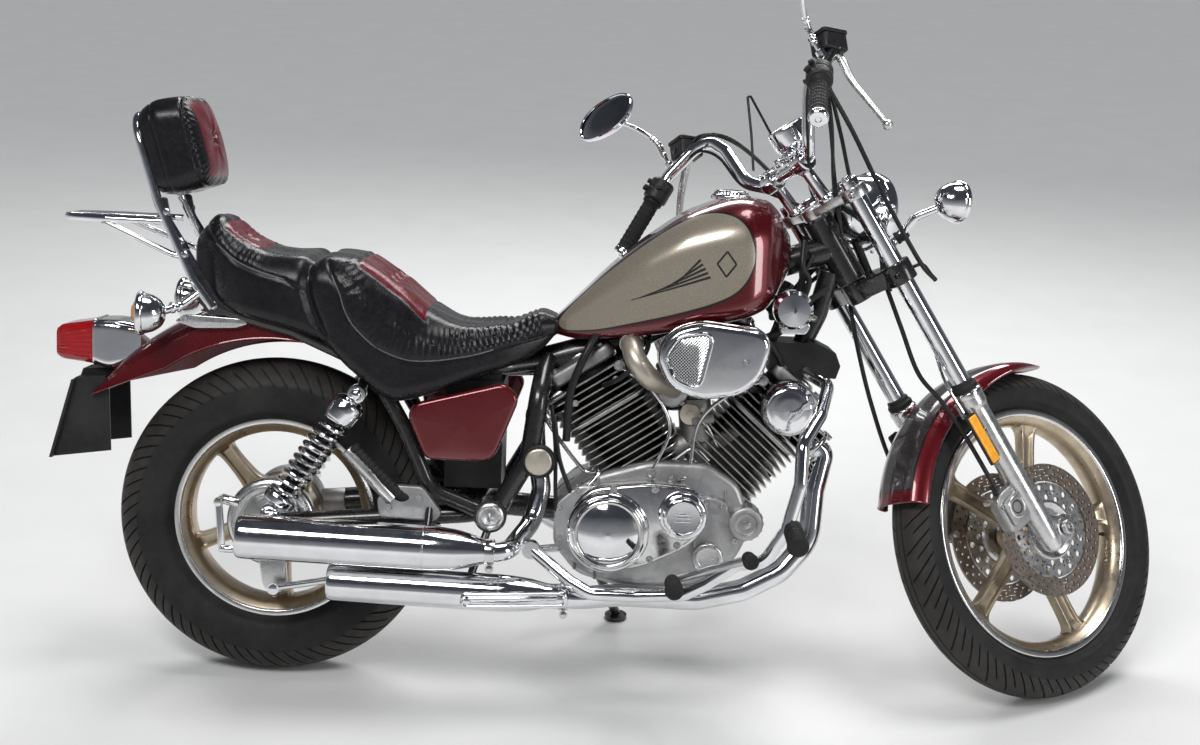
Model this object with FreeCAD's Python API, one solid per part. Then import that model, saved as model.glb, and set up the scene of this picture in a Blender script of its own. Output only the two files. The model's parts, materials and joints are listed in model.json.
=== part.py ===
import FreeCAD, Part
import math
import os

# A cruiser motorcycle, parked on its side stand with the steering on its left stop.
# Every piece is drawn on the upright machine: X forward, Y to the left, Z up, in
# millimetres, with the origin on the floor below the rear axle. The steered pieces are
# then turned about the steering axis, and the whole is leaned over onto its stand.

# Driving dimensions of the whole machine.
WHEELBASE = 1525.0
RAKE_DEG = 32.5
TRAIL = 130.0
LEAN_DEG = 10.0
STEER_DEG = 36.0
REAR_TYRE_RADIUS = 316.0
REAR_TYRE_WIDTH = 140.0
REAR_CROWN_RADIUS = 74.0
FRONT_TYRE_RADIUS = 331.0
FRONT_TYRE_WIDTH = 100.0
FRONT_CROWN_RADIUS = 52.0
REAR_RIM_RADIUS = 204.5
FRONT_RIM_RADIUS = 254.0
AXLE_RADIUS = 9.0
RUNNING_CLEARANCE = 0.08

# The fork: distances ahead of the steering axis and beside it.
LEG_AHEAD = 31.0
LEG_ASIDE = 97.0
STANCHION_RADIUS = 19.0
SLIDER_RADIUS = 24.0
SLIDER_TOP = 698.0
SLIDER_BOTTOM = 322.0
STEM_RADIUS = 15.0
HEADSTOCK_LOW = 984.0
HEADSTOCK_HIGH = 1122.0
LOWER_YOKE = (938.0, 980.0)
UPPER_YOKE = (1126.0, 1150.0)
BAR_AHEAD = -8.0
BAR_UP = 1232.0
BAR_RADIUS = 12.5
BAR_TILT_DEG = 6.1

# The engine: crankshaft centre and the lean of each cylinder away from vertical.
CRANK_X = 791.0
CRANK_Z = 352.0
REAR_CYLINDER_DEG = -33.0
FRONT_CYLINDER_DEG = 42.0
FIN_FIRST = 112.0
FIN_PITCH = 14.0
FIN_COUNT = 16
FIN_THICKNESS = 4.0
HEAD_TOP = 356.0

# The swinging arm turns about this pivot, and the mufflers start at these noses.
PIVOT_X = 434.0
PIVOT_Z = 356.0
UPPER_MUFFLER_LENGTH = 473.0
UPPER_MUFFLER_RADIUS = 43.0
LOWER_MUFFLER_LENGTH = 448.0
LOWER_MUFFLER_RADIUS = 36.0
HEADER_RADIUS = 22.0
GUARD_RADIUS = 12.5

V = FreeCAD.Vector
X_AXIS = V(1, 0, 0)
Y_AXIS = V(0, 1, 0)
Z_AXIS = V(0, 0, 1)
RAKE = math.radians(RAKE_DEG)
STEER_FOOT = V(WHEELBASE + TRAIL, 0, 0)
STEER_UP = V(-math.sin(RAKE), 0, math.cos(RAKE))
STEER_AHEAD = V(math.cos(RAKE), 0, math.sin(RAKE))
REAR_AXLE = V(0, 0, REAR_TYRE_RADIUS)
FRONT_AXLE = V(WHEELBASE, 0, FRONT_TYRE_RADIUS)
CRANK = V(CRANK_X, 0, CRANK_Z)
PIVOT = V(PIVOT_X, 0, PIVOT_Z)

nodes = {}


def on_fork(ahead, aside, up):
    """A point on the fork, from its distances ahead of, beside and up the axis."""
    return STEER_FOOT + STEER_UP * up + STEER_AHEAD * ahead + Y_AXIS * aside


def on_engine(ahead, aside, up):
    """A point on the engine, measured from the crankshaft centre."""
    return CRANK + V(ahead, aside, up)


def on_rear(ahead, aside, up):
    """A point near the rear wheel, measured from its axle."""
    return REAR_AXLE + V(ahead, aside, up)


def unit(direction):
    return direction * (1.0 / direction.Length)


def rod(start, end, radius):
    """A round bar between two points."""
    along = end - start
    return Part.makeCylinder(radius, along.Length, start, along)


def ball(centre, radius):
    return Part.makeSphere(radius, centre)


def block(low, high):
    """A box from its two opposite corners."""
    size = high - low
    return Part.makeBox(size.x, size.y, size.z, low)


def soft_block(low, high, radius):
    """A box whose edges are all rounded."""
    box = block(low, high)
    return box.makeFillet(radius, box.Edges)


def rounded_path(points, bend):
    """Straight runs joined by tangent arcs."""
    edges = []
    here = points[0]
    for before, corner, after in zip(points, points[1:], points[2:]):
        back = unit(before - corner)
        onward = unit(after - corner)
        turn = math.pi - back.getAngle(onward)
        shorter = min((before - corner).Length, (after - corner).Length)
        reach = min(bend * math.tan(turn / 2), 0.45 * shorter)
        radius = reach / math.tan(turn / 2)
        arc_start = corner + back * reach
        arc_end = corner + onward * reach
        middle_way = unit(back + onward)
        to_centre = math.sqrt(radius * radius + reach * reach)
        arc_middle = corner + middle_way * (to_centre - radius)
        if (arc_start - here).Length > 0.01:
            edges.append(Part.makeLine(here, arc_start))
        edges.append(Part.Arc(arc_start, arc_middle, arc_end).toShape())
        here = arc_end
    edges.append(Part.makeLine(here, points[-1]))
    return Part.Wire(edges)


def tube(points, radius, bend):
    """A round bar bent along a path."""
    path = rounded_path(points, bend)
    ring = Part.Wire(Part.makeCircle(radius, points[0], points[1] - points[0]))
    return path.makePipeShell([ring], True, False)


def section(centre, side, up, half_side, low, high, corner_low, corner_high):
    """A rounded rectangle, lines and arcs only, in the plane of side and up."""
    def at(across, height):
        return centre + side * across + up * height

    diagonal = 1 - math.sqrt(0.5)
    wide_low = half_side - corner_low
    wide_high = half_side - corner_high
    low_end = low + corner_low
    high_end = high - corner_high
    low_arc = low + corner_low * diagonal
    high_arc = high - corner_high * diagonal
    side_low = half_side - corner_low * diagonal
    side_high = half_side - corner_high * diagonal
    edges = [
        Part.makeLine(at(-wide_low, low), at(wide_low, low)),
        Part.Arc(at(wide_low, low), at(side_low, low_arc), at(half_side, low_end)).toShape(),
        Part.makeLine(at(half_side, low_end), at(half_side, high_end)),
        Part.Arc(at(half_side, high_end), at(side_high, high_arc), at(wide_high, high)).toShape(),
        Part.makeLine(at(wide_high, high), at(-wide_high, high)),
        Part.Arc(at(-wide_high, high), at(-side_high, high_arc), at(-half_side, high_end)).toShape(),
        Part.makeLine(at(-half_side, high_end), at(-half_side, low_end)),
        Part.Arc(at(-half_side, low_end), at(-side_low, low_arc), at(-wide_low, low)).toShape(),
    ]
    return Part.Wire(edges)


def skin(rows):
    """A solid through upright sections set along the machine.

    Each row: x, half width, low, high, lower corner radius, upper corner radius.
    """
    wires = []
    for along, half_width, low, high, corner_low, corner_high in rows:
        place = V(along, 0, 0)
        wires.append(section(place, Y_AXIS, Z_AXIS, half_width, low, high, corner_low, corner_high))
    return Part.makeLoft(wires, True, False)


def plate(outline, low, high):
    """A side-view outline of X and Z, given thickness from one Y to another."""
    points = [V(x, low, z) for x, z in outline]
    face = Part.Face(Part.makePolygon(points + points[:1]))
    return face.extrude(V(0, high - low, 0))


def spun(profile, centre, axis, across):
    """A half profile of distance out and distance along, turned full circle."""
    points = [centre + across * out + axis * along for out, along in profile]
    face = Part.Face(Part.makePolygon(points + points[:1]))
    return face.revolve(centre, axis, 360)


def joined(shapes):
    whole = shapes[0]
    if len(shapes) > 1:
        whole = whole.multiFuse(shapes[1:])
    return whole.removeSplitter()


def main_piece(shape):
    """The piece itself, without the scraps that a cut leaves beyond it."""
    return max(shape.Solids, key=lambda solid: solid.Volume)


def mirrored(shape):
    """The same piece on the other side of the machine."""
    return shape.mirror(V(0, 0, 0), Y_AXIS)


def both_sides(shape):
    return Part.makeCompound([shape, mirrored(shape)])


# Wheels. A tyre is an arched ring around the rim, its tread in flat bands.
BEAD_DEPTH = 11.0
WALL_SLOPE = 26.0
WALL_THICKNESS = 12.0
TREAD_DEPTH = 34.0


def tyre(centre, radius, width, crown, rim_radius, band_degs):
    """A tyre whose bands meet on the round of its crown, at these angles."""
    half = width / 2.0
    bead = rim_radius - BEAD_DEPTH
    hub_of_crown = radius - crown
    shoulder = hub_of_crown + math.sqrt(crown * crown - half * half)
    outer = [(bead, half - WALL_SLOPE), ((bead + shoulder) / 2.0, half - 3), (shoulder, half)]
    for angle in sorted(band_degs, reverse=True):
        turn = math.radians(angle)
        outer.append((hub_of_crown + crown * math.cos(turn), crown * math.sin(turn)))
    other_side = [(out, -aside) for out, aside in reversed(outer)]
    inner_half = half - WALL_SLOPE - WALL_THICKNESS
    inner = [(bead, -inner_half), (bead + TREAD_DEPTH, 0), (bead, inner_half)]
    return spun(outer + other_side + inner, centre, Y_AXIS, Z_AXIS)


SPOKE_COUNT = 5
SPOKE_HALF_THICKNESS = 12.0
SPOKE_WEB_HALF = 5.0


def spoke(root, end):
    """A cast spoke of H section, waisted between the hub and the channel."""
    middle = (root + end) / 2.0
    outline = [(-22, root), (-13, middle), (-18, end), (18, end), (13, middle), (22, root)]
    pocket = [(-15, root + 16), (-7, middle), (-11, end - 14), (11, end - 14), (7, middle), (15, root + 16)]
    solid = plate(outline, -SPOKE_HALF_THICKNESS, SPOKE_HALF_THICKNESS)
    groove = plate(pocket, SPOKE_WEB_HALF, SPOKE_HALF_THICKNESS + 1)
    return solid.cut(groove).cut(mirrored(groove))


def rim(centre, flange, half_width, hub_radius, hub_half, first_deg):
    """A cast wheel: channel, spokes and a bored hub."""
    well = flange - 26
    channel = [
        (flange, half_width), (flange, half_width - 6), (flange - 12, half_width - 9),
        (well, half_width - 20), (well, -half_width + 20), (flange - 12, -half_width + 9),
        (flange, -half_width + 6), (flange, -half_width), (flange - 14, -half_width),
        (well - 8, -half_width + 14), (well - 8, half_width - 14), (flange - 14, half_width),
    ]
    pieces = [spun(channel, centre, Y_AXIS, Z_AXIS)]
    pieces.append(rod(centre - V(0, hub_half, 0), centre + V(0, hub_half, 0), hub_radius))
    for index in range(SPOKE_COUNT):
        arm = spoke(hub_radius - 8, well - 3)
        arm.rotate(V(0, 0, 0), Y_AXIS, 90.0 - first_deg - 360.0 / SPOKE_COUNT * index)
        arm.translate(centre)
        pieces.append(arm)
    wheel = joined(pieces)
    bore_radius = AXLE_RADIUS + RUNNING_CLEARANCE
    bore = Part.makeCylinder(bore_radius, 400, centre - V(0, 200, 0), Y_AXIS)
    return wheel.cut(bore)


# The parked tyres touch the floor on a crown angle, where two of their bands meet.
LEAN_WAY = FreeCAD.Rotation(X_AXIS, -LEAN_DEG)
STEER_TURN = FreeCAD.Rotation(STEER_UP, STEER_DEG)
FRONT_AXLE_WAY = LEAN_WAY.multVec(STEER_TURN.multVec(Y_AXIS))
FRONT_LEAN_DEG = math.degrees(math.asin(-FRONT_AXLE_WAY.z))

REAR_HUB_RADIUS = 82.0
REAR_HUB_HALF = 62.0
FRONT_HUB_RADIUS = 34.0
FRONT_HUB_HALF = 56.0
REAR_BANDS_DEG = (LEAN_DEG, 34.0, 54.0)
FRONT_BANDS_DEG = (8.0, FRONT_LEAN_DEG, 50.0)

rear_rim = rim(REAR_AXLE, REAR_RIM_RADIUS, 45.0, REAR_HUB_RADIUS, REAR_HUB_HALF, 58.0)
front_rim = rim(FRONT_AXLE, FRONT_RIM_RADIUS, 35.0, FRONT_HUB_RADIUS, FRONT_HUB_HALF, 11.0)
rear_tyre = tyre(
    REAR_AXLE, REAR_TYRE_RADIUS, REAR_TYRE_WIDTH, REAR_CROWN_RADIUS, REAR_RIM_RADIUS, REAR_BANDS_DEG,
)
front_tyre = tyre(
    FRONT_AXLE, FRONT_TYRE_RADIUS, FRONT_TYRE_WIDTH, FRONT_CROWN_RADIUS, FRONT_RIM_RADIUS, FRONT_BANDS_DEG,
)
nodes["rear_tyre"] = rear_tyre.cut(rear_rim)
nodes["rear_rim"] = rear_rim
nodes["front_tyre"] = front_tyre.cut(front_rim)
nodes["front_rim"] = front_rim

# The brake discs of the front wheel, each a ring on a carrier that joins the hub.
DISC_RADIUS = 133.5
DISC_ASIDE = 70.0
DISC_PROFILE = [
    (DISC_RADIUS, -2.5), (DISC_RADIUS, 2.5), (96, 2.5), (60, -2), (48, -10),
    (AXLE_RADIUS + 6, -10), (AXLE_RADIUS + 6, -14), (52, -14), (64, -7), (96, -2.5),
]
nodes["front_discs"] = both_sides(spun(DISC_PROFILE, FRONT_AXLE + V(0, DISC_ASIDE, 0), Y_AXIS, Z_AXIS))

# The fork: legs with the axle, yokes with the stem, and what they carry.
AXLE_UP = 349.0
AXLE_AHEAD = 68.0
AXLE_REACH = 22.0
SLIDER_PROFILE = [
    (0, SLIDER_BOTTOM), (13, SLIDER_BOTTOM), (19, SLIDER_BOTTOM + 12), (SLIDER_RADIUS, SLIDER_BOTTOM + 40),
    (SLIDER_RADIUS, SLIDER_TOP - 44), (SLIDER_RADIUS + 4, SLIDER_TOP - 36), (SLIDER_RADIUS + 4, SLIDER_TOP - 6),
    (SLIDER_RADIUS - 1, SLIDER_TOP), (0, SLIDER_TOP),
]
leg_parts = []
for aside in (LEG_ASIDE, -LEG_ASIDE):
    leg_foot = on_fork(LEG_AHEAD, aside, 0)
    leg_parts.append(rod(on_fork(LEG_AHEAD, aside, SLIDER_TOP - 30), on_fork(LEG_AHEAD, aside, 1164), STANCHION_RADIUS))
    leg_parts.append(spun(SLIDER_PROFILE, leg_foot, STEER_UP, STEER_AHEAD))
    leg_parts.append(rod(on_fork(LEG_AHEAD, aside, AXLE_UP), on_fork(AXLE_AHEAD + AXLE_REACH, aside, AXLE_UP), 20.0))
AXLE_HALF = LEG_ASIDE + 24.0
leg_parts.append(rod(FRONT_AXLE - V(0, AXLE_HALF, 0), FRONT_AXLE + V(0, AXLE_HALF, 0), AXLE_RADIUS))
nodes["fork_legs"] = joined(leg_parts)


def yoke(low, high, wide):
    """A clamp across both legs and the stem."""
    parts = [rod(on_fork(0, 0, low), on_fork(0, 0, high), wide - 2)]
    for aside in (LEG_ASIDE, -LEG_ASIDE):
        parts.append(rod(on_fork(LEG_AHEAD, aside, low), on_fork(LEG_AHEAD, aside, high), wide))
    back = LEG_AHEAD - 18
    front = LEG_AHEAD + 16
    corners = [
        (-14, 20), (back, LEG_ASIDE), (front, LEG_ASIDE), (front + 14, 0),
        (front, -LEG_ASIDE), (back, -LEG_ASIDE), (-14, -20),
    ]
    outline = [on_fork(ahead, aside, low) for ahead, aside in corners]
    web = Part.Face(Part.makePolygon(outline + outline[:1])).extrude(STEER_UP * (high - low))
    return parts + [web]


# The handlebar sits a little crooked in its clamps, with the left end low.
RISER_ASIDE = 50.0
CLAMP_HALF = 17.0
BAR_CENTRE = on_fork(BAR_AHEAD, 0, BAR_UP)


def crooked(shape):
    """The piece turned with the handlebar."""
    turned = shape.copy()
    turned.rotate(BAR_CENTRE, X_AXIS, -BAR_TILT_DEG)
    return turned


yoke_parts = yoke(*LOWER_YOKE, 30.0) + yoke(*UPPER_YOKE, 28.0)
yoke_parts.append(rod(on_fork(0, 0, LOWER_YOKE[0]), on_fork(0, 0, UPPER_YOKE[1] + 10), STEM_RADIUS))
for aside in (RISER_ASIDE, -RISER_ASIDE):
    yoke_parts.append(rod(on_fork(4, aside, UPPER_YOKE[0] + 4), on_fork(BAR_AHEAD, aside, BAR_UP), 13.0))
    clamp = rod(on_fork(BAR_AHEAD, aside - CLAMP_HALF, BAR_UP), on_fork(BAR_AHEAD, aside + CLAMP_HALF, BAR_UP), 21.0)
    yoke_parts.append(crooked(clamp))

# Half of the handlebar: ahead, aside, up.
BAR_TABLE = [
    (BAR_AHEAD, 0, BAR_UP), (BAR_AHEAD, 74, BAR_UP), (-16, 104, 1262), (18, 142, 1338),
    (32, 178, 1372), (12, 214, 1378), (-47, 263, 1361), (-193, 335, 1284),
]
BAR_HALF = [on_fork(*row) for row in BAR_TABLE]
left_bar = tube(BAR_HALF, BAR_RADIUS, 45.0)
nodes["handlebar"] = crooked(joined([left_bar, mirrored(left_bar)]))
nodes["fork_yokes"] = joined(yoke_parts).cut(nodes["fork_legs"]).cut(nodes["handlebar"])

# Grips, and the switch housings with their levers.
GRIP_RADIUS = 17.0
GRIP_LENGTH = 120.0
HOUSING_LENGTH = 48.0
HOUSING_RADIUS = 25.0
GRIP_END = BAR_HALF[-1]
GRIP_WAY = unit(GRIP_END - BAR_HALF[-2])
GRIP_INNER = GRIP_END - GRIP_WAY * GRIP_LENGTH
grip = rod(GRIP_INNER, GRIP_END + GRIP_WAY * 6, GRIP_RADIUS)
nodes["grips"] = crooked(both_sides(grip.cut(left_bar)))

RESERVOIR_CENTRE = on_fork(22, 246, 1388)
housing_low = GRIP_INNER - GRIP_WAY * HOUSING_LENGTH
housing = rod(housing_low, GRIP_INNER, HOUSING_RADIUS)
reservoir = soft_block(RESERVOIR_CENTRE - V(28, 26, 22), RESERVOIR_CENTRE + V(28, 26, 22), 7)
perch = tube([housing_low + GRIP_WAY * 14, on_fork(2, 258, 1372), on_fork(20, 256, 1376)], 12.0, 20)
lever = tube([on_fork(14, 258, 1364), on_fork(-26, 290, 1310), on_fork(-75, 350, 1205)], 6.5, 60)
lever_tip = ball(on_fork(-75, 350, 1205), 10.0)
control = joined([housing, reservoir, perch, lever, lever_tip]).cut(left_bar)
nodes["hand_controls"] = crooked(both_sides(control))

# A mirror: an oval glass in a shallow bowl on a bent stem.
MIRROR_CENTRE = on_fork(-31, 345, 1543)
MIRROR_FACE = unit(V(-0.926, -0.242, 0.291))
MIRROR_SIDE = unit(Z_AXIS.cross(MIRROR_FACE))
MIRROR_UP = MIRROR_FACE.cross(MIRROR_SIDE)
mirror_wires = []
for depth, half, tall, corner in ((0, 76, 48, 46), (-10, 76, 48, 46), (-22, 62, 36, 34)):
    middle = MIRROR_CENTRE + MIRROR_FACE * depth
    mirror_wires.append(section(middle, MIRROR_SIDE, MIRROR_UP, half, -tall, tall, corner, corner))
mirror_bowl = Part.makeLoft(mirror_wires, True, True)
mirror_stem = tube([on_fork(-26, 262, 1376), on_fork(-18, 266, 1440), MIRROR_CENTRE - MIRROR_FACE * 16], 5.0, 60)
nodes["mirrors"] = crooked(both_sides(joined([mirror_stem, mirror_bowl]).cut(control).cut(left_bar)))

GAUGE_AHEAD = 45.0
GAUGE_RADIUS = 41.0
gauge_post = rod(on_fork(34, 0, UPPER_YOKE[1]), on_fork(40, 0, 1262), 11.0)
gauge_profile = [(0, 1252), (24, 1252), (GAUGE_RADIUS, 1272), (GAUGE_RADIUS, 1312), (0, 1312)]
gauge_bowl = spun(gauge_profile, on_fork(GAUGE_AHEAD, 0, 0), STEER_UP, STEER_AHEAD)
nodes["gauge"] = joined([gauge_bowl, gauge_post]).cut(nodes["fork_yokes"]).cut(nodes["handlebar"])

# Headlight, its lens and the signals that flank it.
LAMP_CENTRE = on_fork(106, 0, 1088)
LAMP_RADIUS = 80.0
LAMP_AXIS = unit(V(1, 0, -0.03))
LAMP_ACROSS = unit(LAMP_AXIS.cross(Y_AXIS))
SHELL_PROFILE = [
    (0, -72), (28, -68), (52, -52), (70, -22), (LAMP_RADIUS - 5, 10), (LAMP_RADIUS, 14),
    (LAMP_RADIUS, 32), (LAMP_RADIUS - 7, 36), (LAMP_RADIUS - 10, 28), (0, 28),
]
LENS_PROFILE = [(0, 28), (LAMP_RADIUS - 10, 28), (LAMP_RADIUS - 7, 36), (54, 44), (28, 49), (0, 51)]
lamp_arm = tube([on_fork(46, 0, LOWER_YOKE[1] - 6), on_fork(58, 0, 1046), LAMP_CENTRE - LAMP_AXIS * 34], 10.0, 30)
shell = spun(SHELL_PROFILE, LAMP_CENTRE, LAMP_AXIS, LAMP_ACROSS)
nodes["headlight"] = joined([shell, lamp_arm]).cut(nodes["fork_yokes"])
nodes["headlight_lens"] = spun(LENS_PROFILE, LAMP_CENTRE, LAMP_AXIS, LAMP_ACROSS)

SIGNAL_RADIUS = 38.0
SIGNAL_BULB = on_fork(157, 190, 1026)


def signal(centre, face):
    """A round lamp: bowl, rim and domed lens, seen from its own face."""
    across = unit(face.cross(Z_AXIS))
    bowl = [
        (0, -36), (17, -32), (32, -18), (SIGNAL_RADIUS, 0), (SIGNAL_RADIUS + 3, 4),
        (SIGNAL_RADIUS + 3, 12), (SIGNAL_RADIUS - 4, 20), (0, 26),
    ]
    return spun(bowl, centre, face, across)


stalk = tube([on_fork(44, 60, 960), on_fork(74, 112, 1038), on_fork(134, 178, 1029)], 9.0, 20)
left_signal = joined([signal(SIGNAL_BULB, unit(V(1, 0.1, 0))), stalk])
signal_bar = rod(on_fork(44, -62, 960), on_fork(44, 62, 960), 10.0)
nodes["front_signals"] = joined([left_signal, mirrored(left_signal), signal_bar]).cut(nodes["fork_yokes"])


# The front fender: an arch around the wheel, carried between the sliders.
def arch(centre, rows, thickness, first_deg, last_deg):
    """A bent sheet: a cross section of arcs and lines, swept around the axle.

    Each row: aside of the wheel's middle, out from the axle.
    """
    outer = [centre + X_AXIS * out + Y_AXIS * aside for aside, out in rows]
    inner = []
    for aside, out in rows:
        narrower = (abs(aside) - thickness) / abs(aside) if aside else 1.0
        sunk = thickness if out > rows[0][1] else 0
        inner.append(centre + X_AXIS * (out - sunk) + Y_AXIS * aside * narrower)
    face = Part.Face(Part.makePolygon(outer + inner[::-1] + outer[:1]))
    face.rotate(centre, Y_AXIS, -first_deg)
    return face.revolve(centre, Y_AXIS, first_deg - last_deg)


FRONT_FENDER_GAP = 21.0
FENDER_SHEET = 3.0
FENDER_FRONT_DEG = 79.0
FENDER_REAR_DEG = 171.0
crown_out = FRONT_TYRE_RADIUS + FRONT_FENDER_GAP
FRONT_FENDER_ROWS = [
    (-64, crown_out - 42), (-62, crown_out - 24), (-54, crown_out - 12), (-34, crown_out - 4),
    (0, crown_out), (34, crown_out - 4), (54, crown_out - 12), (62, crown_out - 24), (64, crown_out - 42),
]
fender_arch = arch(FRONT_AXLE, FRONT_FENDER_ROWS, FENDER_SHEET, FENDER_FRONT_DEG, FENDER_REAR_DEG)

# The fender's skirt thins to a point at the front: an off-centre round takes it away.
POINT_OFFSET = 112.0
tip_turn = math.radians(FENDER_FRONT_DEG)
tip_centre = FRONT_AXLE + V(math.cos(tip_turn), 0, math.sin(tip_turn)) * POINT_OFFSET
tip_round = Part.makeCylinder(crown_out - POINT_OFFSET - 4, 200, tip_centre - V(0, 100, 0), Y_AXIS)
BRACE_UP = SLIDER_TOP - 40.0
brace = rod(on_fork(LEG_AHEAD, -LEG_ASIDE, BRACE_UP), on_fork(LEG_AHEAD, -58, BRACE_UP), 9.0)
fender = joined([fender_arch.cut(tip_round), brace, mirrored(brace)])
nodes["front_fender"] = fender.cut(nodes["fork_legs"])

CALIPER_CENTRE = on_fork(-6, 0, 446)
caliper = soft_block(V(-46, 76, -44), V(30, 112, 44), 8)
caliper.rotate(V(0, 0, 0), Y_AXIS, -RAKE_DEG)
caliper.translate(CALIPER_CENTRE)
slot = Part.makeCylinder(DISC_RADIUS + 5, 10, FRONT_AXLE + V(0, DISC_ASIDE - 5, 0), Y_AXIS)
nodes["brake_calipers"] = both_sides(caliper.cut(slot).cut(nodes["fork_legs"]))

# Cables that the fork holds: brake hose, speedometer cable and the cable guide.
HOSE_RADIUS = 5.0
brake_hose = tube([
    on_fork(20, -58, 950), on_fork(-2, -60, 860), on_fork(-30, -70, 770), on_fork(-26, -84, 700),
    on_fork(-24, -92, 620), on_fork(-24, -94, 484),
], HOSE_RADIUS, 80)
speed_cable = tube([
    on_fork(22, 58, 950), on_fork(-20, 60, 860), on_fork(-44, 84, 740), on_fork(-50, 116, 600),
    on_fork(-44, 124, 440), on_fork(20, 124, 372),
], HOSE_RADIUS, 80)
throttle_cable = tube([
    on_fork(56, -150, 1340), on_fork(70, -134, 1240), on_fork(64, -128, 1100), on_fork(66, -124, 960),
    on_fork(84, -118, 908),
], HOSE_RADIUS, 80)
cable_guide = tube([
    on_fork(50, -LEG_ASIDE, 956), on_fork(88, -106, 948), on_fork(82, -118, 916),
], 4.0, 12)
held_cables = [brake_hose, speed_cable, joined([throttle_cable, cable_guide])]
trimmed_cables = []
for cable in held_cables:
    for holder in ("fork_legs", "fork_yokes", "brake_calipers"):
        cable = cable.cut(nodes[holder])
    trimmed_cables.append(main_piece(cable))
nodes["fork_cables"] = Part.makeCompound(trimmed_cables)

STEERED = [
    "fork_legs", "fork_yokes", "handlebar", "grips", "hand_controls", "mirrors", "gauge",
    "headlight", "headlight_lens", "front_signals", "front_fender", "brake_calipers", "fork_cables",
]
FRONT_WHEEL = ["front_tyre", "front_rim", "front_discs"]

# The frame: a backbone from the headstock, rails under the seat and uprights to the pivot.
RAIL_ASIDE = 98.0
RAIL_UP = 640.0
RAIL_RADIUS = 14.0
UPRIGHT_ASIDE = 112.0
LOOP_ASIDE = 118.0
SHOCK_TOP = V(174, 150, 588)
SHOCK_FOOT = on_rear(10, 150, 36)
headstock = rod(on_fork(0, 0, HEADSTOCK_LOW), on_fork(0, 0, HEADSTOCK_HIGH), 30.0)
backbone = tube([
    on_fork(-10, 0, 1060), on_fork(-128, 0, 1090), V(700, 0, 700), V(520, 0, 645), V(440, 0, RAIL_UP),
], 28.0, 120)
down_tube = tube([on_fork(-30, 0, 1020), on_fork(-92, 0, 960), V(1030, 0, 690)], 20.0, 80)
frame_parts = [headstock, backbone, down_tube]
for side in (1, -1):
    rail = tube([
        V(520, side * 40, 648), V(440, side * 92, RAIL_UP), V(180, side * RAIL_ASIDE, RAIL_UP),
        V(40, side * RAIL_ASIDE, 700), V(-130, side * 90, 742),
    ], RAIL_RADIUS, 80)
    upright = tube([
        V(530, side * 30, 655), V(520, side * 104, 590), V(505, side * UPRIGHT_ASIDE, 470),
        PIVOT + V(6, side * UPRIGHT_ASIDE, 0),
    ], 19.0, 60)
    loop = tube([
        V(190, side * RAIL_ASIDE, RAIL_UP), V(262, side * UPRIGHT_ASIDE, 520), V(315, side * LOOP_ASIDE, 400),
        PIVOT + V(6, side * LOOP_ASIDE, -4),
    ], 15.0, 60)
    frame_parts += [rail, upright, loop]
    frame_parts.append(rod(PIVOT + V(0, side * 88, 0), PIVOT + V(0, side * 138, 0), 32.0))
    shock_lug = rod(V(180, side * 96, 610), V(SHOCK_TOP.x + 6, side * (SHOCK_TOP.y + 8), SHOCK_TOP.z + 2), 10.0)
    frame_parts.append(shock_lug)
for along, high in ((440, RAIL_UP), (60, 692), (-110, 738)):
    frame_parts.append(rod(V(along, -92, high), V(along, 92, high), 13.0))
frame_parts.append(rod(PIVOT + V(6, -UPRIGHT_ASIDE, 0), PIVOT + V(6, UPRIGHT_ASIDE, 0), 13.0))
frame_parts.append(rod(PIVOT, V(600, 0, 346), 24.0))
frame = joined(frame_parts)
stem_bore = rod(on_fork(0, 0, 960), on_fork(0, 0, 1140), STEM_RADIUS + RUNNING_CLEARANCE)
frame = frame.cut(stem_bore)

# The engine: cases, two finned cylinders at 75 degrees and their covers.
CASE_HALF = 105.0
CASE_OUTLINE = [
    (556, 296), (604, 240), (700, 214), (850, 222), (915, 280), (945, 345),
    (915, 430), (850, 470), (740, 470), (640, 440), (556, 390),
]
CASE_OUTLINE = [(x - 791 + CRANK_X, z - 352 + CRANK_Z) for x, z in CASE_OUTLINE]
cases = plate(CASE_OUTLINE, -CASE_HALF, CASE_HALF)
cases = cases.makeFillet(12, [edge for edge in cases.Edges if abs(abs(edge.CenterOfMass.y) - CASE_HALF) < 0.1])
oil_filter = rod(on_engine(139, -60, 6), on_engine(139, -132, 6), 33.0)
flat_cover = rod(on_engine(68, -CASE_HALF + 5, -66), on_engine(68, -CASE_HALF - 22, -66), 30.0)
nodes["engine_cases"] = joined([cases, oil_filter, flat_cover])

BARREL_FINS = 10
BARREL_HALF_WIDE = 84.0
HEAD_HALF_WIDE = 92.0
BARREL_REACH = 92.0
HEAD_REACH = 100.0
FIN_CORNER = 22.0
VEE_HALF_DEG = (FRONT_CYLINDER_DEG - REAR_CYLINDER_DEG) / 2.0


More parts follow.
